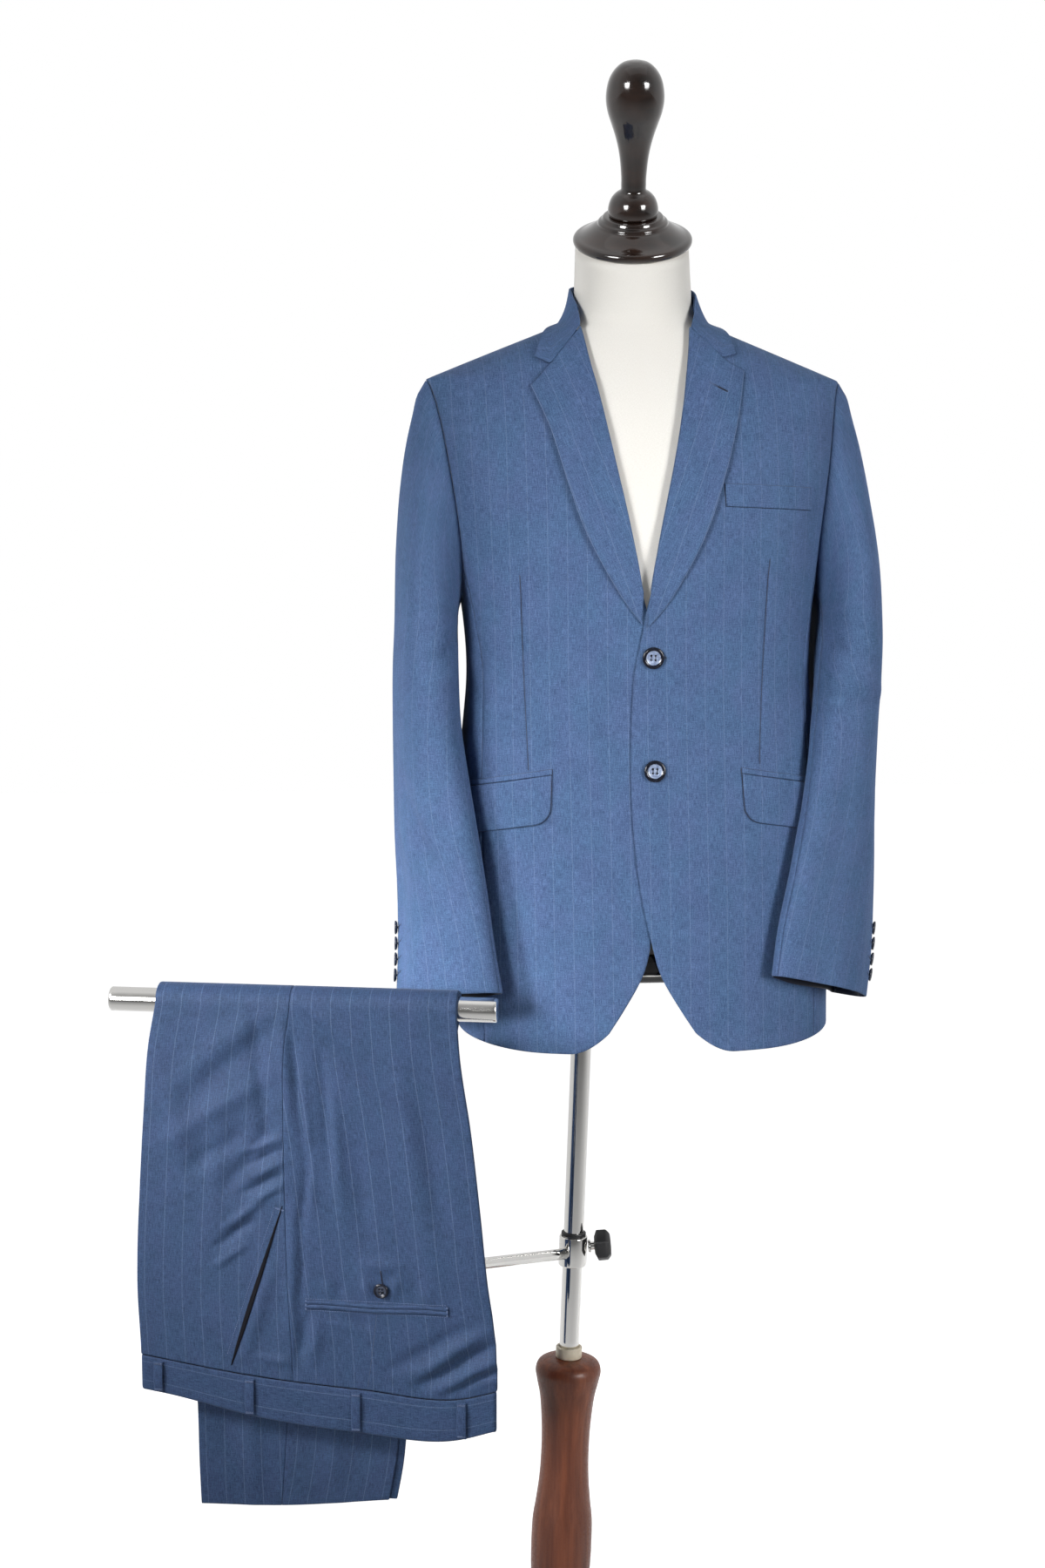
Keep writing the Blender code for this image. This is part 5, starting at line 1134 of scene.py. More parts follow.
upright = np.array([0.0, 0.0, 1.0])
standing = soft_step(fold[:, 2], 1.556, 1.575)[:, None]
roll_out, roll_in = [], []
for step in (4, 3, 2, 1):
    turn = math.pi * step / 5
    centre = leaf[0] + inward * 0.0014 - upright * 0.0004
    for rows, reach in ((roll_out, 0.0016), (roll_in, 0.0004)):
        over = centre + reach * (-math.cos(turn) * inward + math.sin(turn) * upright)
        flat = leaf[0] + inward * 0.00008 * step - normal[0] * (0.0016 - reach)
        rows.append(over * standing + flat * (1 - standing))
outside = np.concatenate([np.array(roll_out), leaf])
inside = np.concatenate([np.array(roll_in), under])
run = run_along(edge)
down = np.linalg.norm(outside - outside[0], axis=-1)
weave = np.stack([np.broadcast_to(run - run[-1] / 2, down.shape), down], axis=-1)
cloth_piece("collar", outside, inside, weave, [JACKET_CLOTH_FINISH], "folded",
            ["front_left_cloth", "front_right_cloth", "back_left_cloth", "back_right_cloth"], sewn=0.22)
print("collar leaf", outside.shape)

# %% Collar stand
standing = fold[fold[:, 2] > STAND_FROM]
centre = np.stack([middle_x(standing[:, 2]), np.full(len(standing), FORM_Y)], axis=1)
way = np.concatenate([unit(standing[:, :2] - centre), np.zeros((len(standing), 1))], axis=1)
turns = np.arctan2(way[:, 0], -way[:, 1])
foot_height = STAND_FOOT[0] + (STAND_FOOT[1] - STAND_FOOT[0]) * soft_step(np.abs(turns), 1.2, 2.6)
foot = torso_out(np.stack([turns, foot_height], axis=1), np.full(len(turns), NECK_GAP + STAND_CLOTH))
head = standing - way * (JACKET_CLOTH + LAYER_GAP) - np.array([0.0, 0.0, 0.0012])
shares = np.concatenate([[0, 0.03], np.linspace(0.09, 0.91, 9), [0.97, 1.0]])
grid = np.array([foot + (head - foot) * share for share in shares])
run = run_along(head)
weave = pairs((run - run[-1] / 2)[None, :], 0.03 * shares[:, None])
cloth_piece("collar_stand", grid, grid - way * STAND_CLOTH, weave, [JACKET_CLOTH_FINISH], "folded",
            ["form_torso"])
print("collar stand", grid.shape)

# %% [markdown]
# ## Pockets
# Three kinds of opening: a breast welt, which is one strip standing up over the cut, and on each hip a narrow
# jet with a flap under it.  All are strips whose places follow the front, so they take its creases too.

# %% Pocket strips
BREAST_WELT = (0.0825, 1.3838, 0.106, 0.0235, 0.0036, 0.0015)     # out, top, length, depth, fall, lean of ends
POCKET_WELT = (0.1, 1.0868, 0.152, 0.0056, 0.025, 0.0)
POCKET_FLAP = (0.1005, 1.0806, 0.15, 0.05, 0.025, 0.0025)
FLAP_CORNER = 0.016
STRIP_SHADOW_LINES = {}


def round_from(side, place, reach, length, fall):
    """Places at these reaches along the cloth from one place, falling towards the side."""
    pieces = 90
    line = [np.asarray(place, float)]
    for _ in range(pieces):
        ahead = moved_round(line[-1][None], SIDES[side] * length / pieces)[0]
        line.append(ahead - np.array([0.0, fall / pieces]))
    line, at = np.array(line), np.linspace(0, length, pieces + 1)
    return np.stack([np.interp(reach, at, line[:, k]) for k in (0, 1)], axis=1)


def strip_on_front(name, side, row, thickness, rounded=0.0, swell=0.0):
    out, top, length, depth, fall, lean = row
    reach = even_with_edges(length, 0.003, 0.0005, 0.0016) * length
    shares = even_with_edges(depth, 0.0022, 0.0005, 0.0013)
    places = []
    for v in shares:
        start = front_place(side, out + lean * (1 - v), top - depth * (1 - v))
        line = round_from(side, start, reach, length, fall)
        if rounded:
            near = np.clip(1 - reach / rounded, 0, 1)
            line[:, 1] += (1 - v) * rounded * (1 - np.sqrt(1 - near**2))
        places.append(line)
    places = np.array(places)
    # The strip's end and top lines later carry navy tubes: painted shadow at its edges.
    rims = {"end": np.concatenate([places[::-1, 0], places[0, 1:]]), "top": places[-1]}
    STRIP_SHADOW_LINES[name] = {where: torso_out(rim, front_lift(side, rim) + 0.0003) for where, rim in rims.items()}
    belly = swell * np.sin(math.pi * shares)[:, None] * np.sin(math.pi * np.clip(reach / length * 1.2, 0, 1))[None]
    lift = front_lift(side, places) + LAYER_GAP + thickness + belly
    weave = body_weave(places) + np.array([0.0004, 0.0])
    cloth_piece(name, torso_out(places, lift), torso_out(places, lift - thickness), weave,
                [JACKET_CLOTH_FINISH], "laid", [f"front_{side}_cloth"], sewn=0.3)


strip_on_front("breast_welt", "left", BREAST_WELT, 0.0016)
for side in SIDES:
    strip_on_front(f"pocket_welt_{side}", side, POCKET_WELT, 0.0016)
    strip_on_front(f"flap_{side}", side, POCKET_FLAP, 0.0028, FLAP_CORNER, 0.0006)
print("breast welt, two jets and two flaps")

# %% [markdown]
# ## Sleeves
# A sleeve is a tube lofted from the armhole to the cuff through a few rings.  Near the top the rings leave the
# shoulder smoothly, and further down they bend forward, as an arm does.  The tube is cut at the two sleeve
# seams into a top sleeve and an under sleeve.  Elbow creases sit at the inside of the bend.

# %% Sleeve tables
SLEEVE_SECTIONS = {
    # height, out from the form's middle, forward, half across, half deep, slant in degrees
    "left": ((1.24, 0.2285, 0.0, 0.0335, 0.083, 0.0), (1.19, 0.227, 0.004, 0.0375, 0.08, 8.0),
             (1.13, 0.2225, 0.014, 0.043, 0.075, 22.0), (1.07, 0.2168, 0.03, 0.0475, 0.069, 34.0),
             (1.01, 0.2095, 0.047, 0.052, 0.062, 42.0), (0.95, 0.2005, 0.062, 0.056, 0.055, 46.0),
             (0.895, 0.191, 0.074, 0.059, 0.049, 46.0), (0.846, 0.183, 0.083, 0.0585, 0.045, 44.0)),
    "right": ((1.24, 0.2295, 0.0, 0.033, 0.083, 0.0), (1.19, 0.2315, 0.002, 0.034, 0.081, 4.0),
              (1.13, 0.232, 0.01, 0.035, 0.077, 12.0), (1.07, 0.2293, 0.024, 0.0385, 0.071, 24.0),
              (1.01, 0.226, 0.04, 0.0425, 0.064, 32.0), (0.95, 0.222, 0.054, 0.0455, 0.056, 38.0),
              (0.895, 0.2198, 0.067, 0.049, 0.048, 40.0), (0.842, 0.2179, 0.078, 0.0545, 0.042, 38.0)),
}
SLEEVE_CLEARANCE, SLEEVE_SQUARE = 0.0066, 2.4
CUFF_FORWARD_TILT, CUFF_SIDE_TILT = 15.0, {"left": 10.0, "right": 0.0}
SLEEVE_HEAD_STEPS = (0.0, 0.1, 0.26, 0.5, 0.76)
SLEEVE_HEAD_EASE = 0.01              # the sleeve starts this share inside the armhole
SLEEVE_FRONT_LIMIT = {"left": 0.15, "right": 0.1215}
AROUND = 128                       # columns round a sleeve
SEAM_COLUMNS = (56, 104)           # front and back seam
SLEEVE_ROWS, SLEEVE_LENGTH = 165, 0.62
SLEEVE_CREASES = {
    # degrees round (0 outside, 90 front), height, degrees, height, width in metres, height of the crease
    "left": ((60, 1.19, 150, 1.215, 0.0085, -0.0032), (50, 1.165, 140, 1.18, 0.008, 0.0026),
             (75, 1.15, 150, 1.14, 0.008, -0.0028), (20, 1.33, 60, 1.12, 0.014, 0.002),
             (5, 1.24, 35, 1.06, 0.013, -0.0014), (70, 1.09, 40, 0.92, 0.013, 0.0016),
             (20, 1.03, 30, 0.88, 0.012, -0.0013), (-20, 1.4, -35, 1.25, 0.016, 0.0018),
             (-60, 1.33, -95, 1.18, 0.017, -0.0024), (-90, 1.25, -60, 1.08, 0.015, 0.0022),
             (-100, 1.13, -40, 1.06, 0.011, -0.0018), (-80, 1.02, -70, 0.88, 0.016, 0.0016),
             (30, 1.45, 55, 1.38, 0.012, -0.0016), (-25, 1.455, -50, 1.37, 0.012, -0.0016)),
    "right": ((95, 1.2, 160, 1.225, 0.0085, -0.003), (85, 1.175, 150, 1.185, 0.0075, 0.0026),
              (60, 1.075, 105, 0.98, 0.01, 0.0028), (48, 1.06, 95, 0.96, 0.008, -0.0026),
              (30, 1.04, 70, 0.93, 0.011, 0.0016), (15, 1.3, 22, 1.1, 0.012, 0.0014),
              (30, 1.01, 25, 0.88, 0.01, -0.0012), (60, 0.93, 55, 0.87, 0.01, 0.0012),
              (-20, 1.4, -30, 1.26, 0.015, 0.0017), (-60, 1.32, -90, 1.17, 0.016, -0.0023),
              (-95, 1.24, -65, 1.09, 0.015, 0.0021), (-100, 1.12, -45, 1.05, 0.011, -0.0018),
              (-75, 1.01, -72, 0.88, 0.016, 0.0015), (32, 1.45, 58, 1.375, 0.012, -0.0015)),
}
METRES_PER_DEGREE = 0.0011         # round a sleeve, about


# %% Sleeve grids
def sleeve_ring(side, row, height_share, turn):
    height, out, forward, half_across, half_deep, slant = row
    swing, stride = np.cos(turn), np.sin(turn - math.radians(slant))
    across = half_across * np.sign(swing) * np.abs(swing) ** (2 / SLEEVE_SQUARE)
    ahead = half_deep * np.sign(stride) * np.abs(stride) ** (2 / SLEEVE_SQUARE)
    tilt = soft_step(height_share, 0.35, 1.0)
    rise = ahead * math.tan(math.radians(CUFF_FORWARD_TILT)) * tilt
    rise = rise - across * math.tan(math.radians(CUFF_SIDE_TILT[side])) * tilt
    x = middle_x(height) + SIDES[side] * (out + across)
    limit = SLEEVE_FRONT_LIMIT[side]
    ahead = forward + ahead
    ahead = np.where(ahead > limit - 0.006, limit - 0.006 + 0.006 * np.tanh((ahead - limit + 0.006) / 0.006), ahead)
    return np.stack([x, FORM_Y - ahead, height + rise], axis=1)


def ring_normals(rings):
    around = (np.roll(rings, -1, axis=1) - np.roll(rings, 1, axis=1)) / 2
    return unit(np.cross(around, np.gradient(rings, axis=0)))


def sleeve_grid(side):
    """Rows of the middle of the sleeve's wall, from the armhole down to the cuff, and the way out."""
    turn = full_turn(AROUND)
    sections = SLEEVE_SECTIONS[side]
    lower = [sleeve_ring(side, row, share, turn) for row, share in zip(sections, np.linspace(0, 1, len(sections)))]
    places = np.array([armhole_point(side, ARMHOLE_STEPS * k / AROUND) for k in range(AROUND)])
    middle = np.array([SIDES[side] * math.pi / 2, ARMHOLE_MIDDLE])
    places = middle + (places - middle) * (1 - SLEEVE_HEAD_EASE)
    start = torso_out(places, np.full(AROUND, -0.0006))
    end, top = lower[0], (1 + np.cos(turn)) / 2
    length = np.linalg.norm(end - start, axis=1)
    leave = np.stack([SIDES[side] * (0.012 + 0.072 * top), -0.034 * np.sin(turn), -0.02 - 0.15 * top], axis=1)
    arrive = np.stack([SIDES[side] * 0.004 * top, 0 * turn, -1.15 * length], axis=1)
    rings = np.array([hermite(t, start, end, leave, arrive) for t in SLEEVE_HEAD_STEPS] + lower)
    fade = np.linspace(0, 1, len(SLEEVE_HEAD_STEPS))[1:]
    least = np.full((len(rings) - 1, 1), SLEEVE_CLEARANCE)
    least[:len(fade), 0] = LAYER_GAP + JACKET_CLOTH / 2 + 0.0006 + 0.002 * fade
    rings[1:] = kept_clear(rings[1:], least)
    shares = even_with_edges(SLEEVE_LENGTH, SLEEVE_LENGTH / SLEEVE_ROWS, 0.001, 0.003)
    rings = smooth_rows(rings, shares)
    normal = ring_normals(rings) * SIDES[side]
    degrees = np.degrees(turn)
    degrees = np.where(degrees > 180, degrees - 360, degrees)[None, :]
    rows = [(a * METRES_PER_DEGREE, z, b * METRES_PER_DEGREE, w, wide, high)
            for a, z, b, w, wide, high in SLEEVE_CREASES[side]]
    relief = creases(degrees * METRES_PER_DEGREE, rings[..., 2], rows)
    roped = 0.0018 * np.exp(-((shares[:, None] - 0.018) / 0.016) ** 2) * soft_step(np.cos(turn), 0.0, 0.8)[None, :]
    calm = soft_step(shares, 0.0, 0.02)[:, None]
    rings = rings + normal * ((relief + roped) * calm)[..., None]
    clear = 0.0024 + (SLEEVE_CLEARANCE - 0.0024) * soft_step(shares, 0.0, 0.22)[:, None]
    body_side = np.broadcast_to(clear, rings.shape[:2]).copy()
    body_side[:4] = np.array([-0.0008, -0.0002, 0.0006, 0.0016])[:, None]
    rings = kept_clear(rings, body_side)
    normal = ring_normals(rings) * SIDES[side]
    return rings, normal, shares


SLEEVES = {}
for side in SIDES:
    rings, normal, shares = sleeve_grid(side)
    outside, inside = rings + normal * JACKET_CLOTH / 2, rings - normal * JACKET_CLOTH / 2
    SLEEVES[side] = (outside, normal)
    closed = np.concatenate([outside, outside[:, :1]], axis=1)
    steps = np.linalg.norm(np.diff(closed, axis=1), axis=-1)
    way = np.concatenate([np.zeros((len(shares), 1)), np.cumsum(steps, axis=1)], axis=1)
    girth = way[:, -1:]
    way = np.where(np.arange(AROUND + 1)[None, :] > SEAM_COLUMNS[1] - 16, way - girth, way)[:, :AROUND]
    along = run_along(outside[:, 8])[:, None]
    weave = pairs(SIDES[side] * way + 0.006, along)
    first, second = SEAM_COLUMNS
    chosen = {"under": np.arange(first, second + 1),
              "top": np.arange(second, AROUND + first + 1) % AROUND}
    for part, columns in chosen.items():
        part_weave = weave[:, columns].copy()
        if part == "under":
            part_weave[..., 0] = np.where(part_weave[..., 0] * SIDES[side] < 0,
                                          part_weave[..., 0] + SIDES[side] * girth, part_weave[..., 0])
        layers = []
        for grid in (outside, inside):
            piece = grid[:, columns].copy()
            for end, near in ((0, 1), (-1, -2)):
                toward = unit(piece[:, near] - piece[:, end])
                piece[:, end] += toward * SEAM_GAP / 2
            layers.append(piece)
        cloth_piece(f"sleeve_{part}_{side}", layers[0], layers[1], part_weave, CLOTH_FINISHES, "hung",
                    [f"front_{side}_cloth", f"back_{side}_cloth"])
    print("sleeve", side, outside.shape, "cuff round", round(float(girth[-1, 0]), 3), "m")

# %% [markdown]
# ## Laying small things on cloth
# Buttonholes, bar tacks and stitches are small and lie on curved cloth.  Each is drawn flat, in metres along
# and across its own line, and a short function lays those flat points on the cloth.  One function serves the
# jacket's body, one a sleeve and one the trousers.

# %% Laying functions
def on_jacket(side, out, height, turn_degrees, base):
    """A layer function round a spot on the front: (along, across, out) to points."""
    spot = front_place(side, out, height)
    spot = np.array([float(spot[0]), float(spot[1])])
    turn = math.radians(turn_degrees)
    rate = float(np.linalg.norm(torso(spot[0] + 1e-3, spot[1]) - torso(spot[0] - 1e-3, spot[1])) / 2e-3)

    def lay(flat):
        along, across, rise = flat[..., 0], flat[..., 1], flat[..., 2]
        round_way = along * math.cos(turn) - across * math.sin(turn)
        upward = along * math.sin(turn) + across * math.cos(turn)
        places = np.stack([spot[0] + round_way / rate, spot[1] + upward], axis=-1)
        return torso_out(places, base + rise)

    return lay


def on_plane(origin, way_along, way_across, way_out):
    """A layer function on a flat spot given by three directions."""
    return lambda flat: (origin + flat[..., :1] * way_along + flat[..., 1:2] * way_across
                         + flat[..., 2:3] * way_out)


# %% Tubes for thread
def tube_rings(path, radii, sides=6, closed=False):
    """Rings of points round a path, each with its own radius."""
    path = np.asarray(path, float)
    if closed:
        tangent = unit(np.roll(path, -1, axis=0) - np.roll(path, 1, axis=0))
    else:
        tangent = unit(np.gradient(path, axis=0))
    side_way = unit(np.cross(tangent, np.array([0.011, 0.023, 1.0])))
    up_way = np.cross(side_way, tangent)
    turn = full_turn(sides)
    radii = np.broadcast_to(radii, len(path))
    return (path[:, None] + radii[:, None, None] * (np.cos(turn)[None, :, None] * side_way[:, None]
                                                    + np.sin(turn)[None, :, None] * up_way[:, None]))


def ring_faces(rows, columns, start=0, closed=False):
    """Quads of a tube whose rings follow each other, with both ends filled unless it closes on itself."""
    i, j = np.meshgrid(np.arange(rows if closed else rows - 1), np.arange(columns), indexing="ij")
    a = (i * columns + j).ravel()
    b = (i * columns + (j + 1) % columns).ravel()
    c = (((i + 1) % rows) * columns + (j + 1) % columns).ravel()
    d = (((i + 1) % rows) * columns + j).ravel()
    faces = (np.stack([a, b, c, d], axis=1) + start).tolist()
    if not closed:
        faces.append([start + k for k in range(columns)][::-1])
        faces.append([start + (rows - 1) * columns + k for k in range(columns)])
    return faces


def thread_piece(name, tubes, finish_used, closed=False):
    """One object from many short tubes of thread."""
    points, faces = [], []
    for rings in tubes:
        faces += ring_faces(len(rings), rings.shape[1], sum(len(p) for p in points), closed)
        points.append(rings.reshape(-1, 3))
    points = np.concatenate(points)
    return new_piece(name, points, faces, points[:, [0, 2]], [finish_used])


STITCH_RADIUS = 0.00028


def stitch_row(name, lay, flat_path, pitch=0.0026, length=0.0018, finish_used=None, radius=STITCH_RADIUS):
    """A row of short stitches along a flat path."""
    flat_path = np.asarray(flat_path, float)
    at = run_along(flat_path)
    tubes = []
    for start in np.arange(0, at[-1] - length, pitch):
        wanted = start + length * np.array([0, 0.15, 0.5, 0.85, 1.0])
        line = np.stack([np.interp(wanted, at, flat_path[:, k]) for k in (0, 1)], axis=1)
        rise = radius * np.array([-0.9, 0.1, 0.45, 0.1, -0.9])
        tubes.append(tube_rings(lay(np.concatenate([line, rise[:, None]], axis=1)), radius))
    return thread_piece(name, tubes, finish_used or SEAM_THREAD)


def stitched_hole(name, lay, length, width=0.0023, thread=None):
    """A worked buttonhole: a rim of purl stitches round a dark slit."""
    turn = full_turn(120)
    half, bend = length / 2 - width / 2, width / 2
    along = np.clip(np.cos(turn) * (half + bend) * 1.25, -half, half) + bend * np.cos(turn)
    across = bend * np.sign(np.sin(turn)) * np.minimum(1, np.abs(np.sin(turn)) * 3.2)
    purl = 0.00018 * width / 0.001 * (1 + 0.22 * np.sin(turn * 37))
    rim = lay(np.stack([along, across, 0.00022 + 0 * turn], axis=1))
    tubes = [tube_rings(rim, purl, 7, closed=True)]
    thread_piece(name, tubes, thread or NAVY_THREAD_AND_SHADE, closed=True)
    if thread:                                     # a sham hole: sewn, but not cut
        return
    # The cut is a black sheet: painted shade in the slit.
    slit_x = np.linspace(-half, half, 13)
    spread = (bend - 0.0002) * (1 - (slit_x / (half * 1.02)) ** 8)
    grid = np.array([lay(np.stack([slit_x, sign * spread, 0.0001 + 0 * slit_x], axis=1)) for sign in (-1, 0, 1)])
    low = np.array([lay(np.stack([slit_x, sign * spread, -0.0003 + 0 * slit_x], axis=1)) for sign in (-1, 0, 1)])
    shell(name + "_slit", grid, low, np.zeros((*grid.shape[:2], 2)), [OPENING_SHADE_BLACK], sewn=0.0)


def bar_tack(name, lay, length, width=0.0016):
    """A short bar of close stitches that keeps the end of a pocket from tearing."""
    tubes = []
    for along in np.arange(-length / 2, length / 2, 0.00055):
        across = np.array([-0.5, -0.4, 0, 0.4, 0.5]) * width
        rise = np.array([-0.0002, 0.0002, 0.00034, 0.0002, -0.0002])
        flat = np.stack([along + 0 * across, across, rise], axis=1)
        tubes.append(tube_rings(lay(flat), 0.0003))
    thread_piece(name, tubes, SEAM_THREAD)


# %% Buttonholes of the jacket
BUTTON_LINE, BUTTON_HEIGHTS = 0.0012, (1.204, 1.085)
lapel_face = LAPEL_LIFT + 0.0016
stitched_hole("lapel_buttonhole", on_jacket("left", 0.0803, 1.4812, -33.0, lapel_face), 0.0165, 0.0015)
for number, height, shift in ((1, BUTTON_HEIGHTS[0], 0.0038), (2, BUTTON_HEIGHTS[1], 0.0016)):
    out = BUTTON_LINE - FRONT_MIDDLE + shift
    lay = on_jacket("left", out, height, 0.0, OVERLAP_LIFT + 0.0001)
    stitched_hole(f"front_buttonhole_{number}", lay, 0.022, 0.0019)
for side in SIDES:
    # A dark navy tube in each dart's furrow: painted shade along the dart line.
    (top, top_out), (bottom, bottom_out) = DARTS[side]
    height = np.linspace(bottom, top - 0.004, 60)
    out = np.interp(height, (bottom, top), (bottom_out, top_out))
    places = np.stack([angle_at(out, height), height], axis=1)
    sunk = 0.0011 * soft_step(height, bottom, bottom + 0.008) * (1 - soft_step(height, top - 0.03, top - 0.005))
    seam = torso_out(places, front_lift(side, places) - sunk - 0.0001)
    thread_piece(f"dart_shade_line_{side}", [tube_rings(seam, 0.00042)], NAVY_THREAD_AND_SHADE)
    # A pale tube along each lapel's outer edge: painted highlight on the pressed edge.
    thread_piece(f"lapel_edge_highlight_{side}", [tube_rings(LAPEL_HIGHLIGHT_PATHS[side], 0.00035)], LAPEL_EDGE_HIGHLIGHT)
# Navy tubes round the ends and lower edges of flaps and welts, and along the welts' tops: painted shadow lines at
# their edges.
for name, rims in STRIP_SHADOW_LINES.items():
    kept = ("end", "top") if "welt" in name else ("end",)
    thread_piece(name + "_rim", [tube_rings(rims[where], 0.00042) for where in kept], NAVY_THREAD_AND_SHADE)
print("three worked buttonholes, two dart seams, rims of lapels and pockets")

# %% [markdown]
# ## Buttons
# A button is turned on a lathe and then drilled.  Here its face is a grid of rings and spokes: the rings take
# the turned profile, and four soft pits are pressed into the middle for the holes.  Two short bars of thread
# cross the holes and a wound shank lifts the button from the cloth.

# %% Button maker
BUTTON_SPOKES = 72


def turned_button(name, place, facing, radius, height, rim, face):
    """A four-hole button that stands for its solid."""
    facing = unit(np.asarray(facing, float))
    first = unit(np.cross(facing, (0.0, 0.0, 1.0)))
    second = np.cross(first, facing)
    profile = [(0.0, 0.02), (0.0, 0.55), (0.1, 0.74), (0.25, 0.87), (0.42, 0.96), (0.6, 1.0), (0.78, 0.99),
               (0.9, 0.95), (0.97, 0.9), (1.0, 0.84), (0.985, 0.78), (0.93, 0.72), (0.84, 0.66), (0.76, 0.6),
               (0.72, 0.54)] + [(0.7, r) for r in np.linspace(0.5, 0.02, 16)]
    turn = full_turn(BUTTON_SPOKES)
    hole_way, hole = radius * 0.2, 0.0006 + radius * 0.042
    rings, pits = [], np.zeros((len(profile), BUTTON_SPOKES))
    for k, (rise, reach) in enumerate(profile):
        x, y = radius * reach * np.cos(turn), radius * reach * np.sin(turn)
        z = np.full(BUTTON_SPOKES, rise * height)
        if k > 9:
            for sx in (-1, 1):
                for sy in (-1, 1):
                    away = np.hypot(x - sx * hole_way, y - sy * hole_way)
                    pits[k] += np.exp(-(away / hole) ** 4)
            z = z - 0.52 * height * pits[k]
        rings.append(place + x[:, None] * first + y[:, None] * second + z[:, None] * facing)
    rings = np.array(rings)
    faces = ring_faces(len(rings), BUTTON_SPOKES)
    per_ring = np.repeat(np.arange(len(rings) - 1), BUTTON_SPOKES)
    # The pits of the four holes take the flat black: painted shade in the holes.
    in_pit = ((pits[1:] + pits[:-1]) / 2).ravel() > 0.45
    finish_of = np.concatenate([np.where(in_pit, 2, per_ring >= 12), [0, 1]]).astype(int)
    new_piece(name + "_turned", rings.reshape(-1, 3), faces, np.zeros((rings.size // 3, 2)),
              [rim, face, OPENING_SHADE_BLACK], finish_of, name)
    lay = on_plane(np.asarray(place, float) + facing * height * 0.72, first, second, facing)
    tubes = []
    for sx in (-1, 1):
        for shift in (-0.014, 0.014):
            across = np.linspace(-1.0, 1.0, 9)
            flat = np.stack([sx * hole_way + shift * radius + 0 * across, across * hole_way,
                             0.00016 - 0.0016 * np.abs(across) ** 3], axis=1)
            tubes.append(tube_rings(lay(flat), 0.00017))
    thread_piece(name + "_thread", tubes, NAVY_THREAD_AND_SHADE)
    wound = np.linspace(-0.0006, height * 0.15, 9)
    spiral = np.stack([0 * wound, 0 * wound, wound - height * 0.72], axis=1)
    turns_of_thread = radius * 0.16 * (1 + 0.12 * np.cos(np.arange(9) * math.pi))
    thread_piece(name + "_shank", [tube_rings(lay(spiral), turns_of_thread, 12)], NAVY_THREAD_AND_SHADE)


def on_sleeve(ring, facing, reach):
    """A layer function on a ring of the sleeve, this far forward of its outer line and slanting up."""
    columns = np.arange(24)
    run = run_along(ring[columns])

    def lay(flat):
        at = reach + 0.93 * flat[..., 0] - 0.36 * flat[..., 1]
        rise = 0.36 * flat[..., 0] + 0.93 * flat[..., 1]
        point, way = (np.stack([np.interp(at, run, rows[columns, k]) for k in range(3)], axis=-1)
                      for rows in (ring, facing))
        point[..., 2] += rise
        return point + way * (flat[..., 2:3] + 0.0001)

    return lay


# %% Front and cuff buttons
for number, height in enumerate(BUTTON_HEIGHTS, start=1):
    spot = np.array([float(angle_at(BUTTON_LINE, height)), height])
    turned_button(f"front_button_{number}", torso_out(spot, OVERLAP_LIFT + BUTTON_GAP),
                  torso_normal(spot[0], spot[1]), 0.0115, 0.0042, BUTTON_RIM, BUTTON_PEARL)

CUFF_BUTTONS, CUFF_BUTTON_PITCH = 4, 0.0165
CUFF_HOLE_REACH = {"left": 0.0145, "right": 0.01}
for side, (outside, normal) in SLEEVES.items():
    line, facings, round_way = outside[:, 0], normal[:, 0], unit(outside[:, 1] - outside[:, -1])
    order = np.argsort(line[:, 2])
    for number in range(1, CUFF_BUTTONS + 1):
        height = line[-1, 2] + 0.024 + (CUFF_BUTTONS - number) * CUFF_BUTTON_PITCH
        foot, facing, toward = (np.array([np.interp(height, line[order, 2], rows[order, k]) for k in range(3)])
                                for rows in (line, facings, round_way))
        facing = unit(unit(facing) - np.array([0.0, 0.32 if side == "left" else 0.0, 0.0]))
        turned_button(f"cuff_button_{side}_{number}", foot + facing * BUTTON_GAP, facing, 0.0075, 0.0032,
                      BUTTON_DARK, BUTTON_DARK)
        row = int(np.argmin(np.abs(line[:, 2] - height)))
        lay = on_sleeve(outside[row], normal[row], CUFF_HOLE_REACH[side])
        stitched_hole(f"cuff_buttonhole_{side}_{number}", lay, 0.013, 0.0009, SEAM_THREAD)
print("two front buttons and eight cuff buttons")

# %% [markdown]
# ## Trousers over the rail
# The trousers hang folded: over the rail at the knee, waistband down in front and hems down behind.  Each
# panel is drawn along the rail and down its drop.  It runs from the side seam to the pressed crease, round
# the crease and back on the layer behind.  All four layers take the same creases, as stacked cloth does.

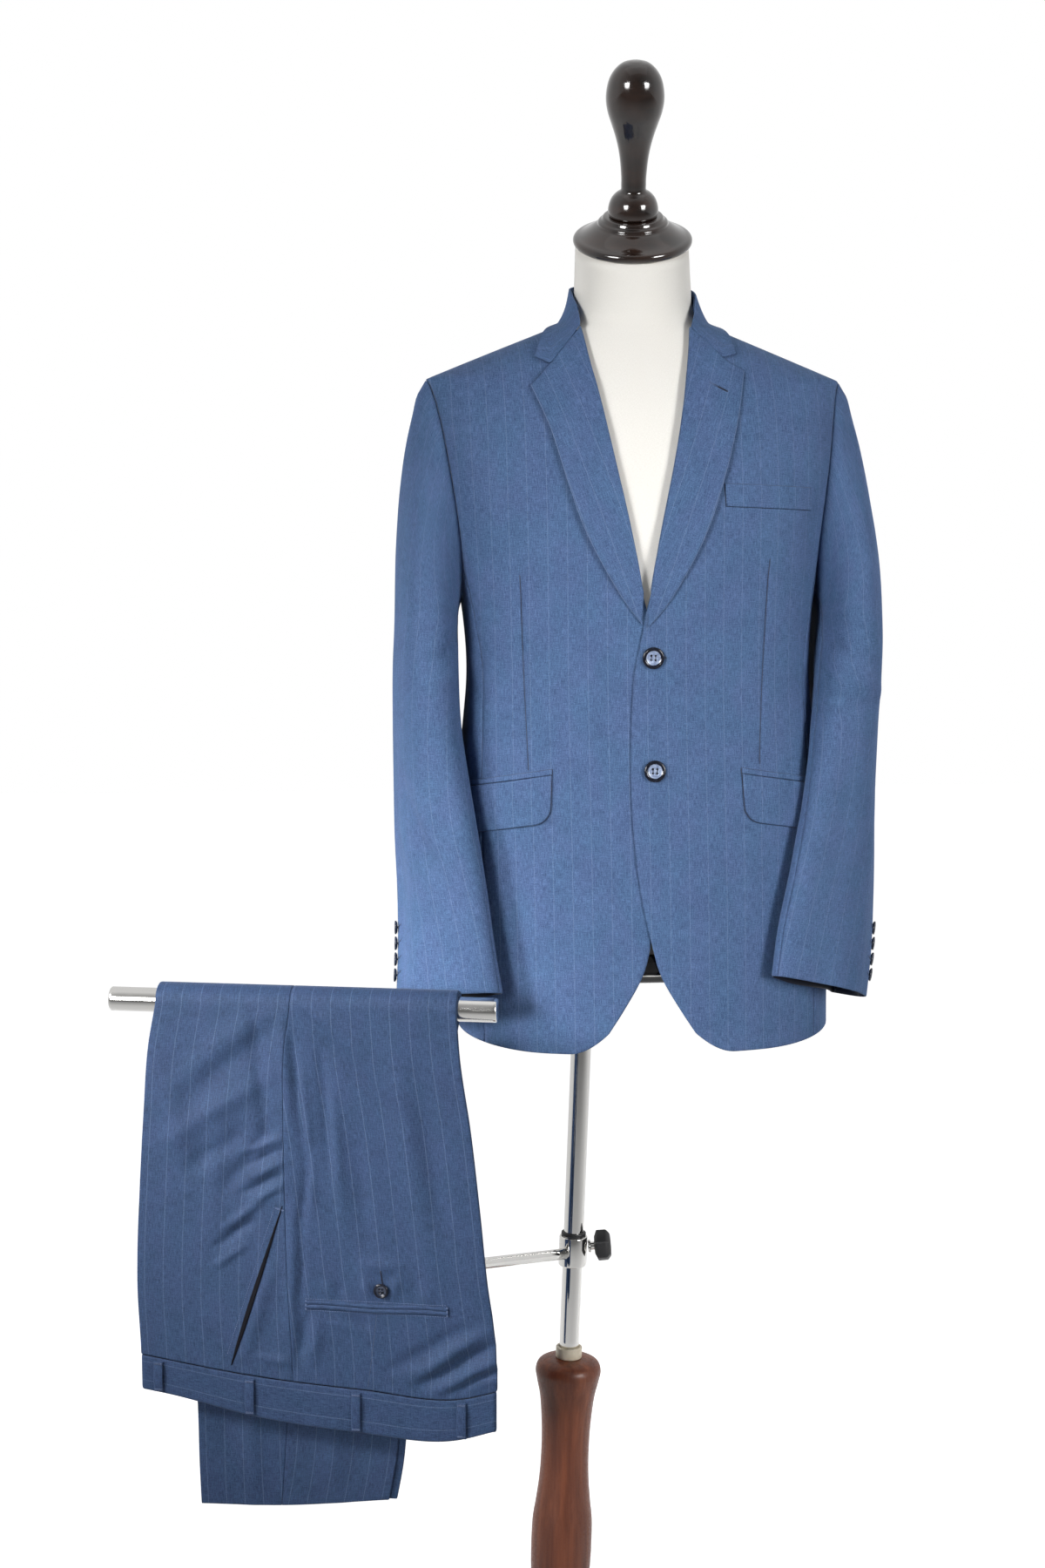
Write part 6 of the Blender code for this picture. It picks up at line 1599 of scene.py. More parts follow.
# %% Trouser tables
BAR_CENTRE = np.array([-0.282, -0.147, 0.845])
BAR_YAW = math.radians(-13.16)
BAR_ALONG = np.array([math.cos(BAR_YAW), math.sin(BAR_YAW), 0.0])
BAR_FORWARD = np.array([math.sin(BAR_YAW), -math.cos(BAR_YAW), 0.0])
BAR_UP = np.array([0.0, 0.0, 1.0])
BAR_LENGTH, BAR_RADIUS = 0.413, 0.0127
DRAPE_RADIUS, LAYER_PITCH, FIRST_LAYER = BAR_RADIUS + 0.0005, 0.0016, 0.0009
CROTCH_HEIGHTS = (0.56, 0.68)
CREASES_FRONT_DROP = (          # height, front crease, side seam, back crease, all along the rail
    (0.39, -0.175, -0.008, 0.204), (0.45, -0.176, -0.01, 0.208), (0.52, -0.1785, -0.013, 0.203),
    (0.56, -0.1777, -0.015, 0.1975), (0.63, -0.174, -0.0165, 0.1905), (0.72, -0.168, -0.017, 0.1805),
    (0.8, -0.161, -0.015, 0.169), (0.845, -0.153, -0.009, 0.166))
CREASES_BACK_DROP = ((0.286, -0.122, -0.0325, 0.085), (0.33, -0.1235, -0.029, 0.093),
                     (0.408, -0.1248, -0.024, 0.1), (0.56, -0.135, -0.018, 0.118),
                     (0.7, -0.145, -0.013, 0.142), (0.845, -0.153, -0.009, 0.166))
BAND_LOWER = ((-0.1755, 0.427), (-0.145, 0.4223), (-0.051, 0.403), (0.059, 0.392), (0.168, 0.3902),
              (0.2035, 0.401))
BAND_UPPER = ((-0.175, 0.464), (-0.058, 0.4475), (0.063, 0.4385), (0.175, 0.435), (0.207, 0.444))
BAND_CLOTH, BAND_SEAM_GAP = 0.0018, 0.0009
HEM_LINE = ((-0.122, 0.287), (-0.033, 0.2905), (0.087, 0.3045))
LEG_SLIP, FOLD_STRENGTH = 0.008, 2.3
BELT_LOOPS, BELT_LOOP_WIDTH = (-0.156, -0.0565, 0.0583, 0.1708), 0.01
SLANT_POCKET = ((0.634, -0.019), (0.456, -0.0775))
BACK_POCKET, BACK_POCKET_BUTTON = (0.0045, 0.157, 0.5335, 0.524), (0.086, 0.548)

FRONT_DROP_CREASES = (
    # along the rail, height, to along, height, width, height of the crease
    (-0.128, 0.764, -0.03, 0.846, 0.013, 0.0011), (-0.115, 0.752, -0.022, 0.826, 0.011, -0.0009),
    (-0.14, 0.7, -0.036, 0.77, 0.011, 0.0014), (-0.12, 0.67, -0.06, 0.712, 0.01, -0.0013),
    (-0.15, 0.8, -0.12, 0.64, 0.013, 0.001), (-0.085, 0.74, -0.095, 0.6, 0.012, 0.0009),
    (0.0, 0.85, 0.112, 0.722, 0.0045, -0.0012), (0.01, 0.856, 0.118, 0.742, 0.01, 0.0014),
    (-0.006, 0.806, 0.01, 0.668, 0.005, -0.0018), (0.003, 0.77, 0.014, 0.64, 0.005, 0.002),
    (0.012, 0.7, -0.001, 0.604, 0.0045, -0.0016), (0.024, 0.8, 0.032, 0.68, 0.0055, -0.0013),
    (0.036, 0.756, 0.046, 0.622, 0.006, 0.0013), (0.06, 0.7, 0.072, 0.6, 0.008, -0.001),
    (0.1, 0.82, 0.14, 0.56, 0.015, 0.0013), (0.13, 0.74, 0.15, 0.62, 0.011, -0.0012),
    # little pulls beside the side seam above the slant pocket
    (-0.02, 0.706, -0.06, 0.69, 0.0038, 0.0015), (-0.02, 0.694, -0.056, 0.676, 0.0034, -0.0014),
    (-0.02, 0.68, -0.05, 0.664, 0.0034, 0.0014), (-0.02, 0.667, -0.062, 0.646, 0.0036, -0.0015),
    (-0.021, 0.654, -0.048, 0.64, 0.003, 0.0013), (-0.04, 0.64, -0.078, 0.61, 0.0046, 0.0014),
    (-0.052, 0.616, -0.09, 0.588, 0.0048, -0.0014), (-0.06, 0.59, -0.092, 0.566, 0.004, 0.0012),
    (-0.03, 0.72, -0.08, 0.65, 0.008, -0.0012),
    # along the slant pocket and between it and the back pocket
    (-0.034, 0.56, -0.062, 0.47, 0.008, 0.0012), (-0.006, 0.63, -0.01, 0.5, 0.007, 0.0015),
    (0.002, 0.6, -0.003, 0.52, 0.004, -0.0013), (0.004, 0.512, -0.004, 0.462, 0.0055, -0.0018),
    (0.018, 0.508, 0.012, 0.468, 0.006, 0.0014), (-0.044, 0.468, -0.01, 0.464, 0.005, 0.0012),
    # round the back pocket
    (0.068, 0.56, 0.072, 0.544, 0.005, 0.0014), (0.104, 0.562, 0.1, 0.546, 0.005, 0.0014),
    (0.07, 0.574, 0.104, 0.574, 0.007, 0.0012), (0.12, 0.556, 0.122, 0.542, 0.0034, -0.001),
    (0.04, 0.552, 0.043, 0.54, 0.0034, -0.001), (0.136, 0.552, 0.139, 0.541, 0.003, 0.0009),
    (0.026, 0.55, 0.03, 0.54, 0.003, 0.0009), (0.056, 0.515, 0.074, 0.508, 0.0045, -0.0012),
    (0.03, 0.512, 0.052, 0.505, 0.004, 0.0009),
    # strong slanting folds at the seat
    (0.122, 0.456, 0.192, 0.506, 0.0065, 0.002), (0.128, 0.446, 0.204, 0.494, 0.006, -0.0023),
    (0.146, 0.442, 0.21, 0.48, 0.0058, 0.0022), (0.158, 0.44, 0.214, 0.468, 0.005, -0.002),
    (0.096, 0.462, 0.172, 0.51, 0.007, -0.0013), (0.172, 0.446, 0.212, 0.462, 0.005, 0.0015),
    (-0.048, 0.846, -0.034, 0.69, 0.008, -0.0014), (-0.018, 0.846, -0.01, 0.72, 0.007, 0.0011),
    (0.15, 0.6, 0.2, 0.54, 0.011, 0.0014),
)
BACK_DROP_CREASES = (
    (-0.14, 0.76, -0.04, 0.64, 0.012, 0.0018), (-0.11, 0.64, -0.02, 0.54, 0.01, -0.0016),
    (0.12, 0.78, 0.03, 0.66, 0.012, 0.0018), (0.1, 0.64, 0.01, 0.56, 0.01, -0.0016),
    (-0.1, 0.52, -0.09, 0.36, 0.013, 0.0014), (0.06, 0.52, 0.052, 0.35, 0.013, 0.0014),
    (-0.06, 0.42, -0.064, 0.3, 0.009, -0.0011), (0.02, 0.4, 0.03, 0.31, 0.009, -0.0011),
)


# %% Hanging cloth over the rail
def drop_relief(part, along, height):
    """Creases of the front or the back drop, flat over the rail itself."""
    if part == "over":
        return 0.0 * along
    rows = FRONT_DROP_CREASES if part == "front" else BACK_DROP_CREASES
    calm = 1 - soft_step(height, 0.835, 0.845)
    if part == "front":
        calm = calm * (0.35 + 0.65 * soft_step(height, 0.425, 0.462))
    return creases(along, height, rows) * calm * FOLD_STRENGTH


def hang(part, along, share, out):
    """Points of the trousers: share is a height on a drop, or the turn over the rail from 0 to 1."""
    along, share, out = np.broadcast_arrays(np.asarray(along, float), share, out)
    if part == "over":
        radius, turn = DRAPE_RADIUS + out, math.pi * share
        round_bar = np.cos(turn)[..., None] * BAR_FORWARD + np.sin(turn)[..., None] * BAR_UP
        return BAR_CENTRE + along[..., None] * BAR_ALONG + radius[..., None] * round_bar
    sign = 1 if part == "front" else -1
    radius = DRAPE_RADIUS + out + drop_relief(part, along, share)
    return (BAR_CENTRE + along[..., None] * BAR_ALONG + sign * radius[..., None] * BAR_FORWARD
            + (share - BAR_CENTRE[2])[..., None] * BAR_UP)


def layer_out(layer):
    return FIRST_LAYER + LAYER_PITCH * layer


band_lower, band_upper, hem_line = (smooth_curve(rows, 1) for rows in (BAND_LOWER, BAND_UPPER, HEM_LINE))
DROP_LINES = {"front": [smooth_curve(CREASES_FRONT_DROP, column) for column in (1, 2, 3)],
              "back": [smooth_curve(CREASES_BACK_DROP, column) for column in (1, 2, 3)]}


def trouser_stations(front_rows, arc_rows, back_rows):
    front = np.concatenate([[0, 0.002, 0.006], np.linspace(0.014, 1, front_rows)])
    back = np.concatenate([np.linspace(1, 0.012, back_rows), [0.006, 0.002, 0]])
    over = np.linspace(0, 1, arc_rows + 1)[1:-1]
    return [("front", s) for s in front] + [("over", s) for s in over] + [("back", s) for s in back]


def folded_run(start, crease, end, layers, near_count, far_count):
    """Along, out and the way out from the side seam to the crease, round it and back on the next layer."""
    outer, inner = layers
    toward = math.copysign(1.0, crease - start)
    radius, outward = abs(outer - inner) / 2, math.copysign(1.0, outer - inner)
    turn_start = crease - toward * (radius + TROUSER_CLOTH / 2)
    near = np.concatenate([[0, 0.004, 0.012], np.linspace(0.03, 1, near_count)])
    along, out = [start + (turn_start - start) * near], [np.full(len(near), outer)]
    ways = [np.stack([0 * near, np.full(len(near), outward)], axis=1)]
    turn = np.linspace(0, math.pi, 9)[1:-1]
    along.append(turn_start + toward * radius * np.sin(turn))
    out.append((outer + inner) / 2 + outward * radius * np.cos(turn))
    ways.append(np.stack([toward * np.sin(turn), outward * np.cos(turn)], axis=1))
    far = np.concatenate([np.linspace(0, 0.985, far_count), [0.996, 1.0]])
    along.append(turn_start + (end - turn_start) * far)
    out.append(np.full(len(far), inner))
    ways.append(np.stack([0 * far, np.full(len(far), -outward)], axis=1))
    return np.concatenate(along), np.concatenate(out), np.concatenate(ways)


# %% Trouser panels
def trouser_panel(leg, panel):
    """A leg's front or back panel, with the stripes laid out from its pressed crease."""
    fine = leg == "right"
    layers = (layer_out(3), layer_out(2)) if fine else (layer_out(0), layer_out(1))
    toward = -1 if panel == "front" else 1
    stations = trouser_stations(*((126, 14, 84) if fine else (48, 12, 60)))
    near_count, far_count = (56, 20) if fine else (22, 14)
    outer_rows, inner_rows, weave_rows = [], [], []
    down = 0.0
    for part, share in stations:
        height = BAR_CENTRE[2]
        if part == "front":
            height = 0.44 + (BAR_CENTRE[2] - 0.44) * share
        elif part == "back":
            height = 0.29 + (BAR_CENTRE[2] - 0.29) * share
        lines = DROP_LINES["front" if part == "front" else "back"]
        slip = LEG_SLIP * (1 - float(soft_step(height, 0.3, 0.8))) if part == "back" and fine else 0.0
        front_crease, seam, back_crease = (float(line(height)) + slip for line in lines)
        crease = front_crease if panel == "front" else back_crease
        start = seam + toward * SEAM_GAP / 2
        closing = 1.0 if part != "front" else float(soft_step(height, *CROTCH_HEIGHTS))
        short = crease - toward * 0.016
        end = short + (start - short) * closing
        along, out, ways = folded_run(start, crease, end, layers, near_count, far_count)
        for rows, sign in ((outer_rows, 1), (inner_rows, -1)):
            w = along + sign * ways[:, 0] * TROUSER_CLOTH / 2
            o = out + sign * ways[:, 1] * TROUSER_CLOTH / 2
            if part == "over":
                rows.append(hang(part, w, share, o))
                continue
            low = band_upper(w) + BAND_SEAM_GAP if part == "front" else hem_line(w)
            rows.append(hang(part, w, low + (BAR_CENTRE[2] - low) * share, o))
        run = np.concatenate([[0], np.cumsum(np.hypot(np.diff(along), np.diff(out)))])
        from_crease = run - run[near_count + 6]
        if outer_rows[1:]:
            down += float(np.linalg.norm(outer_rows[-1][near_count // 2] - outer_rows[-2][near_count // 2]))
        weave_rows.append(np.stack([from_crease + STRIPE_PITCH * 0.4, np.full(len(along), down)], axis=1))
    name = f"trouser_{panel}_{leg}"
    cloth_piece(name, np.array(outer_rows), np.array(inner_rows), np.array(weave_rows),
                [TROUSER_CLOTH_SHADED_FINISH, TROUSER_CLOTH_SHADED_FINISH], "hung", ["trouser_bar"], sewn=0.26)
    print(name, np.array(outer_rows).shape)


for leg in SIDES:
    for panel in ("front", "back"):
        trouser_panel(leg, panel)

# %% [markdown]
# ## Waistband, loops and pockets
# The waistband is one ring, flattened as the waist hangs closed.  Its stripes run along the band, because a
# band is cut lengthways.  The belt loops are narrow doubled strips, tacked at both ends, so their middle
# stands off the band a little.

# %% Waistband
near_face, far_face = layer_out(0) - 0.0002, layer_out(3) + 0.0006
band_radius = (far_face - near_face) / 2
band_first = float(DROP_LINES["front"][0](0.43)) + band_radius + BAND_CLOTH / 2
band_last = float(DROP_LINES["front"][2](0.43)) - band_radius - BAND_CLOTH / 2
loop = []
for end, sign, face in ((band_last, 1, far_face), (band_first, -1, near_face)):
    loop += [(w, face, (0.0, sign)) for w in np.linspace(band_first, band_last, 110)[::sign]]
    for turn in np.linspace(0, math.pi, 9)[1:-1]:
        across, out = sign * math.sin(turn), sign * math.cos(turn)
        loop.append((end + band_radius * across, (near_face + far_face) / 2 + band_radius * out, (across, out)))
loop_along, loop_out = np.array([row[0] for row in loop]), np.array([row[1] for row in loop])
loop_way = np.array([row[2] for row in loop])
shares = np.concatenate([[0, 0.03, 0.08], np.linspace(0.15, 0.85, 12), [0.92, 0.97, 1.0]])
low, high = band_lower(loop_along), band_upper(loop_along)
outer_rows, inner_rows = [], []
for share in shares:
    for rows, sign in ((outer_rows, 1), (inner_rows, -1)):
        w = loop_along + sign * loop_way[:, 0] * BAND_CLOTH / 2
        o = loop_out + sign * loop_way[:, 1] * BAND_CLOTH / 2
        rows.append(hang("front", w, band_lower(w) + (band_upper(w) - band_lower(w)) * share, o))
outer_rows, inner_rows = np.array(outer_rows), np.array(inner_rows)
run = np.concatenate([[0], np.cumsum(np.hypot(np.diff(loop_along), np.diff(loop_out)))])
weave = pairs((shares[:, None] - 0.28) * 0.037, run[None, :])
cloth_piece("waistband", outer_rows, inner_rows, weave, [TROUSER_CLOTH_SHADED_FINISH, LINING_WITH_PAINTED_SHADE], "hung",
            ["trouser_front_right_cloth", "trouser_back_right_cloth"], ring=True)
print("waistband round", round(float(run[-1]), 3), "m")

# %% Belt loops and pocket pieces
BAND_FACE = far_face + BAND_CLOTH / 2
LEG_FACE = layer_out(3) + TROUSER_CLOTH / 2


def flat_piece(name, outline, base, thickness, finishes, weave, lift=None, sewn=0.36):
    """A thin piece on the front drop; outline rows are lists of (along, height)."""
    outline = np.asarray(outline, float)
    rise = np.zeros(outline.shape[:2]) if lift is None else np.asarray(lift)
    front = hang("front", outline[..., 0], outline[..., 1], base + thickness + rise)
    back = hang("front", outline[..., 0], outline[..., 1], base + rise)
    return shell(name + "_cloth", front, back, weave, finishes, sewn=sewn, stands_for=name)


BELT_LOOP_CLOTH, BELT_LOOP_ARCH = 0.0017, 0.0016
BELT_LOOP_BASE = BAND_FACE + LAYER_GAP * 0.6
TACK_WIDTH, TACK_FROM_END, TACK_ABOVE = 0.008, 0.0024, 0.0019
SLANT_LINING_CLOTH = 0.0005

for number, along in enumerate(BELT_LOOPS, start=1):
    low, high = float(band_lower(along)) + 0.0015, float(band_upper(along)) - 0.003
    half = BELT_LOOP_WIDTH / 2
    across = np.array([-1.0, -0.86, -0.6, -0.2, 0.2, 0.6, 0.86, 1.0]) * half
    up = np.concatenate([[0, 0.02, 0.06], np.linspace(0.12, 0.88, 14), [0.94, 0.98, 1.0]])
    outline = [[(along + a, low + (high - low) * s) for a in across] for s in up]
    arch = BELT_LOOP_ARCH * np.sin(math.pi * np.clip((up - 0.08) / 0.84, 0, 1))[:, None] * np.ones(8)[None]
    weave = pairs(across[None] + 0.009, up[:, None] * 0.04)
    made = flat_piece(f"belt_loop_{number}", outline, BELT_LOOP_BASE, BELT_LOOP_CLOTH,
                      [TROUSER_CLOTH_SHADED_FINISH], weave, arch, 0.3)
    for row, height in enumerate((low + TACK_FROM_END, high - TACK_FROM_END)):
        spot = hang("front", along, height, BELT_LOOP_BASE + TACK_ABOVE)
        bar_tack(f"belt_loop_tack_{number}_{row}", on_plane(spot, BAR_ALONG, BAR_UP, BAR_FORWARD), TACK_WIDTH)

(top, at_top), (bottom, at_bottom) = SLANT_POCKET
share = np.linspace(0, 1, 60)
height = top + (bottom + 0.002 - top) * share
middle = at_top + (at_bottom + 0.001 - at_top) * share
width = 0.001 + 0.0044 * np.sin(math.pi * share ** 1.4) ** 0.8
outline = np.stack([np.stack([middle + width * k, height], axis=1) for k in (-0.5, -0.25, 0, 0.25, 0.5)], axis=1)
# A narrow black piece in the pocket's mouth: painted shade in the opening.
slant_mouth_shade = flat_piece("slant_pocket_lining", outline, LEG_FACE + 0.0002, SLANT_LINING_CLOTH, [OPENING_SHADE_BLACK],
                          np.zeros((*outline.shape[:2], 2)))


def on_trousers(along, height, turn_degrees, base):
    turn = math.radians(turn_degrees)

    def lay(flat):
        w = along + flat[..., 0] * math.cos(turn) - flat[..., 1] * math.sin(turn)
        z = height + flat[..., 0] * math.sin(turn) + flat[..., 1] * math.cos(turn)
        return hang("front", w, z, base + flat[..., 2])

    return lay


slant_turn = math.degrees(math.atan2(bottom - top, at_bottom - at_top))
slant_length = math.hypot(bottom - top, at_bottom - at_top)
stitch_row("slant_pocket_stitches", on_trousers(at_top, top, slant_turn, LEG_FACE),
           [(0.004, -0.0075), (slant_length - 0.012, -0.0075)])
bar_tack("slant_pocket_tack", on_trousers(at_top - 0.003, top - 0.004, slant_turn + 90, LEG_FACE), 0.009)

start, stop, top, bottom = BACK_POCKET
w = np.concatenate([[0, 0.003, 0.009], np.linspace(0.02, 0.98, 50), [0.991, 0.997, 1.0]]) * (stop - start) + start
z = np.array([0, 0.05, 0.2, 0.36, 0.44, 0.5, 0.56, 0.64, 0.8, 0.95, 1.0])
plump = np.array([-0.5, 0.2, 0.6, 0.5, 0.0, -0.9, 0.0, 0.5, 0.6, 0.2, -0.5]) * 0.001
outline = np.array([[(a, bottom + (top - bottom) * s + 0.0008 * math.sin(a * 60)) for a in w] for s in z])
weave = pairs(z[:, None] * 0.0095 + 0.005, w[None])
jets = flat_piece("back_pocket_jets", outline, LEG_FACE + 0.0003, 0.0016, [TROUSER_CLOTH_SHADED_FINISH], weave,
                  plump[:, None] + 0 * w[None])
for number, along in enumerate((start + 0.0012, stop - 0.0012), start=1):
    bar_tack(f"back_pocket_tack_{number}", on_trousers(along, (top + bottom) / 2, 90, LEG_FACE + 0.0018), 0.01)
middle_z = (top + bottom) / 2
# A black sheet between the jets: painted shade in the pocket's slit.
slit = np.array([[(a, middle_z + k + 0.0008 * math.sin(a * 60)) for a in w[2:-2]] for k in (-0.0005, 0, 0.0005)])
front = hang("front", slit[..., 0], slit[..., 1], LEG_FACE + 0.0011)
back = hang("front", slit[..., 0], slit[..., 1], LEG_FACE + 0.0006)
shell("back_pocket_slit", front, back, np.zeros((*front.shape[:2], 2)), [OPENING_SHADE_BLACK], sewn=0.0)
along, height = BACK_POCKET_BUTTON
turned_button("back_pocket_button", hang("front", along, height, LEG_FACE + BUTTON_GAP), BAR_FORWARD, 0.008, 0.0034,
              BUTTON_RIM, BUTTON_DARK)
for number, edge in enumerate((top + 0.0014, bottom - 0.0014), start=1):
    lay = on_trousers(start, edge, 0.0, LEG_FACE)
    stitch_row(f"back_pocket_stitches_{number}", lay, [(0.0, 0.0), (stop - start, 0.0)])
stitched_hole("back_pocket_buttonhole", on_trousers(along + 0.0005, height + 0.013, 97.0, LEG_FACE), 0.017, 0.0011)
stitch_row("back_dart_seam", on_trousers(0.0811, 0.5234, 0.0, LEG_FACE - 0.0001),
           [(0.0, -0.0005), (-0.005, -0.042), (-0.0103, -0.082)], 0.0022, 0.0021, NAVY_THREAD_AND_SHADE, 0.00022)
print("loops, slant pocket and back pocket")

# %% [markdown]
# ## The form
# The form is the jacket's own torso made smaller by the clearance under it, so it fits the coat everywhere.
# At the top it ends in a slanting neck rim.  A black lacquered band closes it below, with a thin pale line
# where the linen is tucked in.

# %% Linen form
FORM_BOTTOM, BASE_CAP_BOTTOM = 0.889, 0.858
NECK_TILT, NECK_CAP_CENTRE = math.radians(27.0), np.array([0.0768, -0.03, 1.645])
NECK_AXIS = unit(np.array([-0.05, -math.sin(NECK_TILT), math.cos(NECK_TILT)]))
FORM_HEIGHTS = (FORM_BOTTOM, 0.96, 1.04, 1.11, 1.17, 1.23, 1.29, 1.35, 1.41, 1.462, 1.4935, 1.505, 1.518,
                1.532, 1.545, 1.556, 1.566, 1.58)
SHOULDER_DROP, FORM_SIDES = 0.0045, 144


def form_clearance(height):
    """How far the form lies inside the jacket's outside."""
    snug, roomy = JACKET_CLOTH + 0.003, 0.009 - 0.0032 * soft_step(height, 1.2, 1.29)
    lower = roomy + (snug - roomy) * soft_step(height, 1.47, 1.525)
    return lower * (1 - soft_step(height, 1.556, 1.574))


def plain_out(turns, height, out):
    height = np.full(len(turns), height)
    return torso(turns, height) + torso_normal(turns, height) * out


def stacked(name, rings, weave, finishes, finish_of_row, stands_for):
    """A closed piece from rings that lie over each other, each end filled."""
    rings = np.array(rings)
    rows, around = rings.shape[:2]
    faces = ring_faces(rows, around)
    finish_of = np.concatenate([np.repeat(finish_of_row, around), [finish_of_row[0], finish_of_row[-1]]])
    return new_piece(name, rings.reshape(-1, 3), faces, weave.reshape(-1, 2), finishes, finish_of, stands_for)


turns = full_turn(FORM_SIDES)
rings = []
for height in FORM_HEIGHTS:
    ring = plain_out(turns, height, -float(form_clearance(height)))
    outer = soft_step(np.abs(ring[:, 0] - middle_x(height)), 0.08, 0.19)
    ring[:, 2] -= SHOULDER_DROP * outer * soft_step(height, 1.4, 1.49)
    rings.append(ring)
rings[0][:, 2] = FORM_BOTTOM
rim = torso(turns, np.full(FORM_SIDES, 1.64))
from_cap = rim - NECK_CAP_CENTRE
across = -0.006 - SEAM_GAP - from_cap[:, 0] * NECK_AXIS[0] - from_cap[:, 1] * NECK_AXIS[1]
rim[:, 2] = NECK_CAP_CENTRE[2] + across / NECK_AXIS[2]
for share in (0.25, 0.5, 0.75):
    rings.append(rings[len(FORM_HEIGHTS) - 1] * (1 - share) + rim * share)
rings.append(rim)
rings.insert(0, rings[0] + (rings[0].mean(axis=0) - rings[0]) * 0.02)
rings[0][:, 2] = FORM_BOTTOM
rings[1][:, 2] += 0.0016
rings = np.array(rings)
signed_turns = np.where(turns > math.pi, turns - 2 * math.pi, turns)
weave = pairs(way_round(signed_turns, 1.3)[None, :], rings[..., 2])
form = stacked("form_linen_body", rings, weave, [LINEN], np.zeros(len(rings) - 1, int),
               "form_torso")

BASE_CAP_PROFILE = ((BASE_CAP_BOTTOM, 0.0135), (0.8588, 0.0118), (0.8603, 0.0104), (0.8625, 0.0095), (0.8654, 0.009),
                    (0.866, 0.0082), (0.8672, 0.0082), (0.8678, 0.009), (0.8715, 0.0086), (0.88, 0.0085),
                    (0.8868, 0.0086), (FORM_BOTTOM - SEAM_GAP, 0.01))
rings = []
for height, inset in BASE_CAP_PROFILE:
    ring = plain_out(turns, height, -inset)
    ring[:, 2] = height
    rings.append(ring)
rows = np.zeros(len(rings) - 1, int)
rows[5] = 1
cap = stacked("form_cap_lacquer", rings, np.zeros((len(rings), FORM_SIDES, 2)), [GLOSS_BLACK, CAP_RIM], rows,
              "form_base_cap")
print("form", len(form.data.polygons), "faces, cap", len(cap.data.polygons))

# %% [markdown]
# ## Turned pieces
# Wood and metal pieces are turned: a profile of (along, radius) swept round an axis.  The frame's profiles
# have few points, so a smooth curve is run through them first and small coves and beads are added where a
# turner would cut them.

# %% Lathe
def lathe(name, stands_for, profile, foot, axis, finishes, sides=96, finish_at=None, level_foot=False):
    """Sweep a closed-ended profile round an axis."""
    axis = unit(np.asarray(axis, float))
    first = unit(np.cross(axis, (0.0, 1.0, 0.02)))
    second = np.cross(axis, first)
    turn = full_turn(sides)[:, None]
    rings = np.array([np.asarray(foot, float) + along * axis + radius * (np.cos(turn) * first + np.sin(turn) * second)
                      for along, radius in profile])
    if level_foot:
        rings[0, :, 2] = rings[0, :, 2].mean()
    ends = np.array([row[0] for row in profile])
    which = np.zeros(len(profile) - 1, int)
    if finish_at:
        for low, high, index in finish_at:
            middle = (ends[:-1] + ends[1:]) / 2
            which[(middle > low) & (middle < high)] = index
    weave = np.zeros((rings.size // 3, 2))
    stacked(name, rings, weave, finishes, which, stands_for)


def rounded_profile(rows, per_step=5, keep=()):
    """A smooth profile through given rows; rows named in keep stay sharp."""
    rows = np.asarray(rows, float)
    at = run_along(rows)
    slope = np.gradient(rows, at, axis=0)
    out = [rows[0]]
    for i in range(len(rows) - 1):
        step = at[i + 1] - at[i]
        flat = (rows[i + 1] - rows[i]) / step
        start = flat if i in keep else slope[i]
        stop = flat if i + 1 in keep else slope[i + 1]
        for t in np.linspace(0, 1, per_step + 1)[1:]:
            out.append(hermite(t, rows[i], rows[i + 1], step * start, step * stop))
    return np.array(out)


# %% Neck cap and finial
NECK_CAP_PROFILE = ((-0.006, 0.0585), (-0.0055, 0.0605), (-0.0048, 0.0618), (-0.003, 0.0632), (-0.001, 0.0637),
                    (0.001, 0.0635), (0.003, 0.0622), (0.0042, 0.06), (0.0052, 0.057), (0.0085, 0.0508),
                    (0.012, 0.0455), (0.015, 0.041), (0.0166, 0.0384), (0.0175, 0.0376), (0.019, 0.0374),
                    (0.0205, 0.0364), (0.0222, 0.0335), (0.024, 0.0325), (0.0252, 0.0318), (0.026, 0.03))
FINIAL_PROFILE = ((0.0263, 0.024), (0.027, 0.0258), (0.03, 0.0266), (0.038, 0.0258), (0.045, 0.0228),
                  (0.05, 0.018), (0.053, 0.0138), (0.06, 0.0132), (0.075, 0.0138), (0.096, 0.0165),
                  (0.112, 0.0205), (0.124, 0.0245), (0.136, 0.0284), (0.1485, 0.0303), (0.16, 0.0294),
                  (0.1705, 0.0264), (0.179, 0.0208), (0.1845, 0.014), (0.187, 0.0055))
lathe("neck_cap_lacquer", "neck_cap", rounded_profile(NECK_CAP_PROFILE, 3), NECK_CAP_CENTRE, NECK_AXIS,
      [LACQUER, CAP_RIM], 128, [(-0.0062, -0.005, 1)])
lathe("finial_lacquer", "finial", rounded_profile(FINIAL_PROFILE, 5), NECK_CAP_CENTRE, NECK_AXIS, [LACQUER],
      96)

# %% Base, column and pole
STAND_LEAN, POLE_RADIUS, BASE_RADIUS, BASE_TOP = 0.0363, 0.01125, 0.165, 0.022
STAND_AXIS = unit(np.array([STAND_LEAN, 0.0, 1.0]))
AXIS_LENGTH = math.sqrt(1 + STAND_LEAN**2)
COLUMN_PROFILE = ((BASE_TOP + 0.0003, 0.029), (0.05, 0.027), (0.09, 0.029), (0.144, 0.034), (0.184, 0.0348),
                  (0.205, 0.0342), (0.228, 0.0312), (0.255, 0.0284), (0.29, 0.0273), (0.328, 0.0288),
                  (0.355, 0.0318), (0.373, 0.0358), (0.383, 0.0373), (0.391, 0.0345), (0.3955, 0.026),
                  (0.397, 0.0165))


def stand_point(height):
    return np.array([STAND_LEAN * height, 0.0, height])


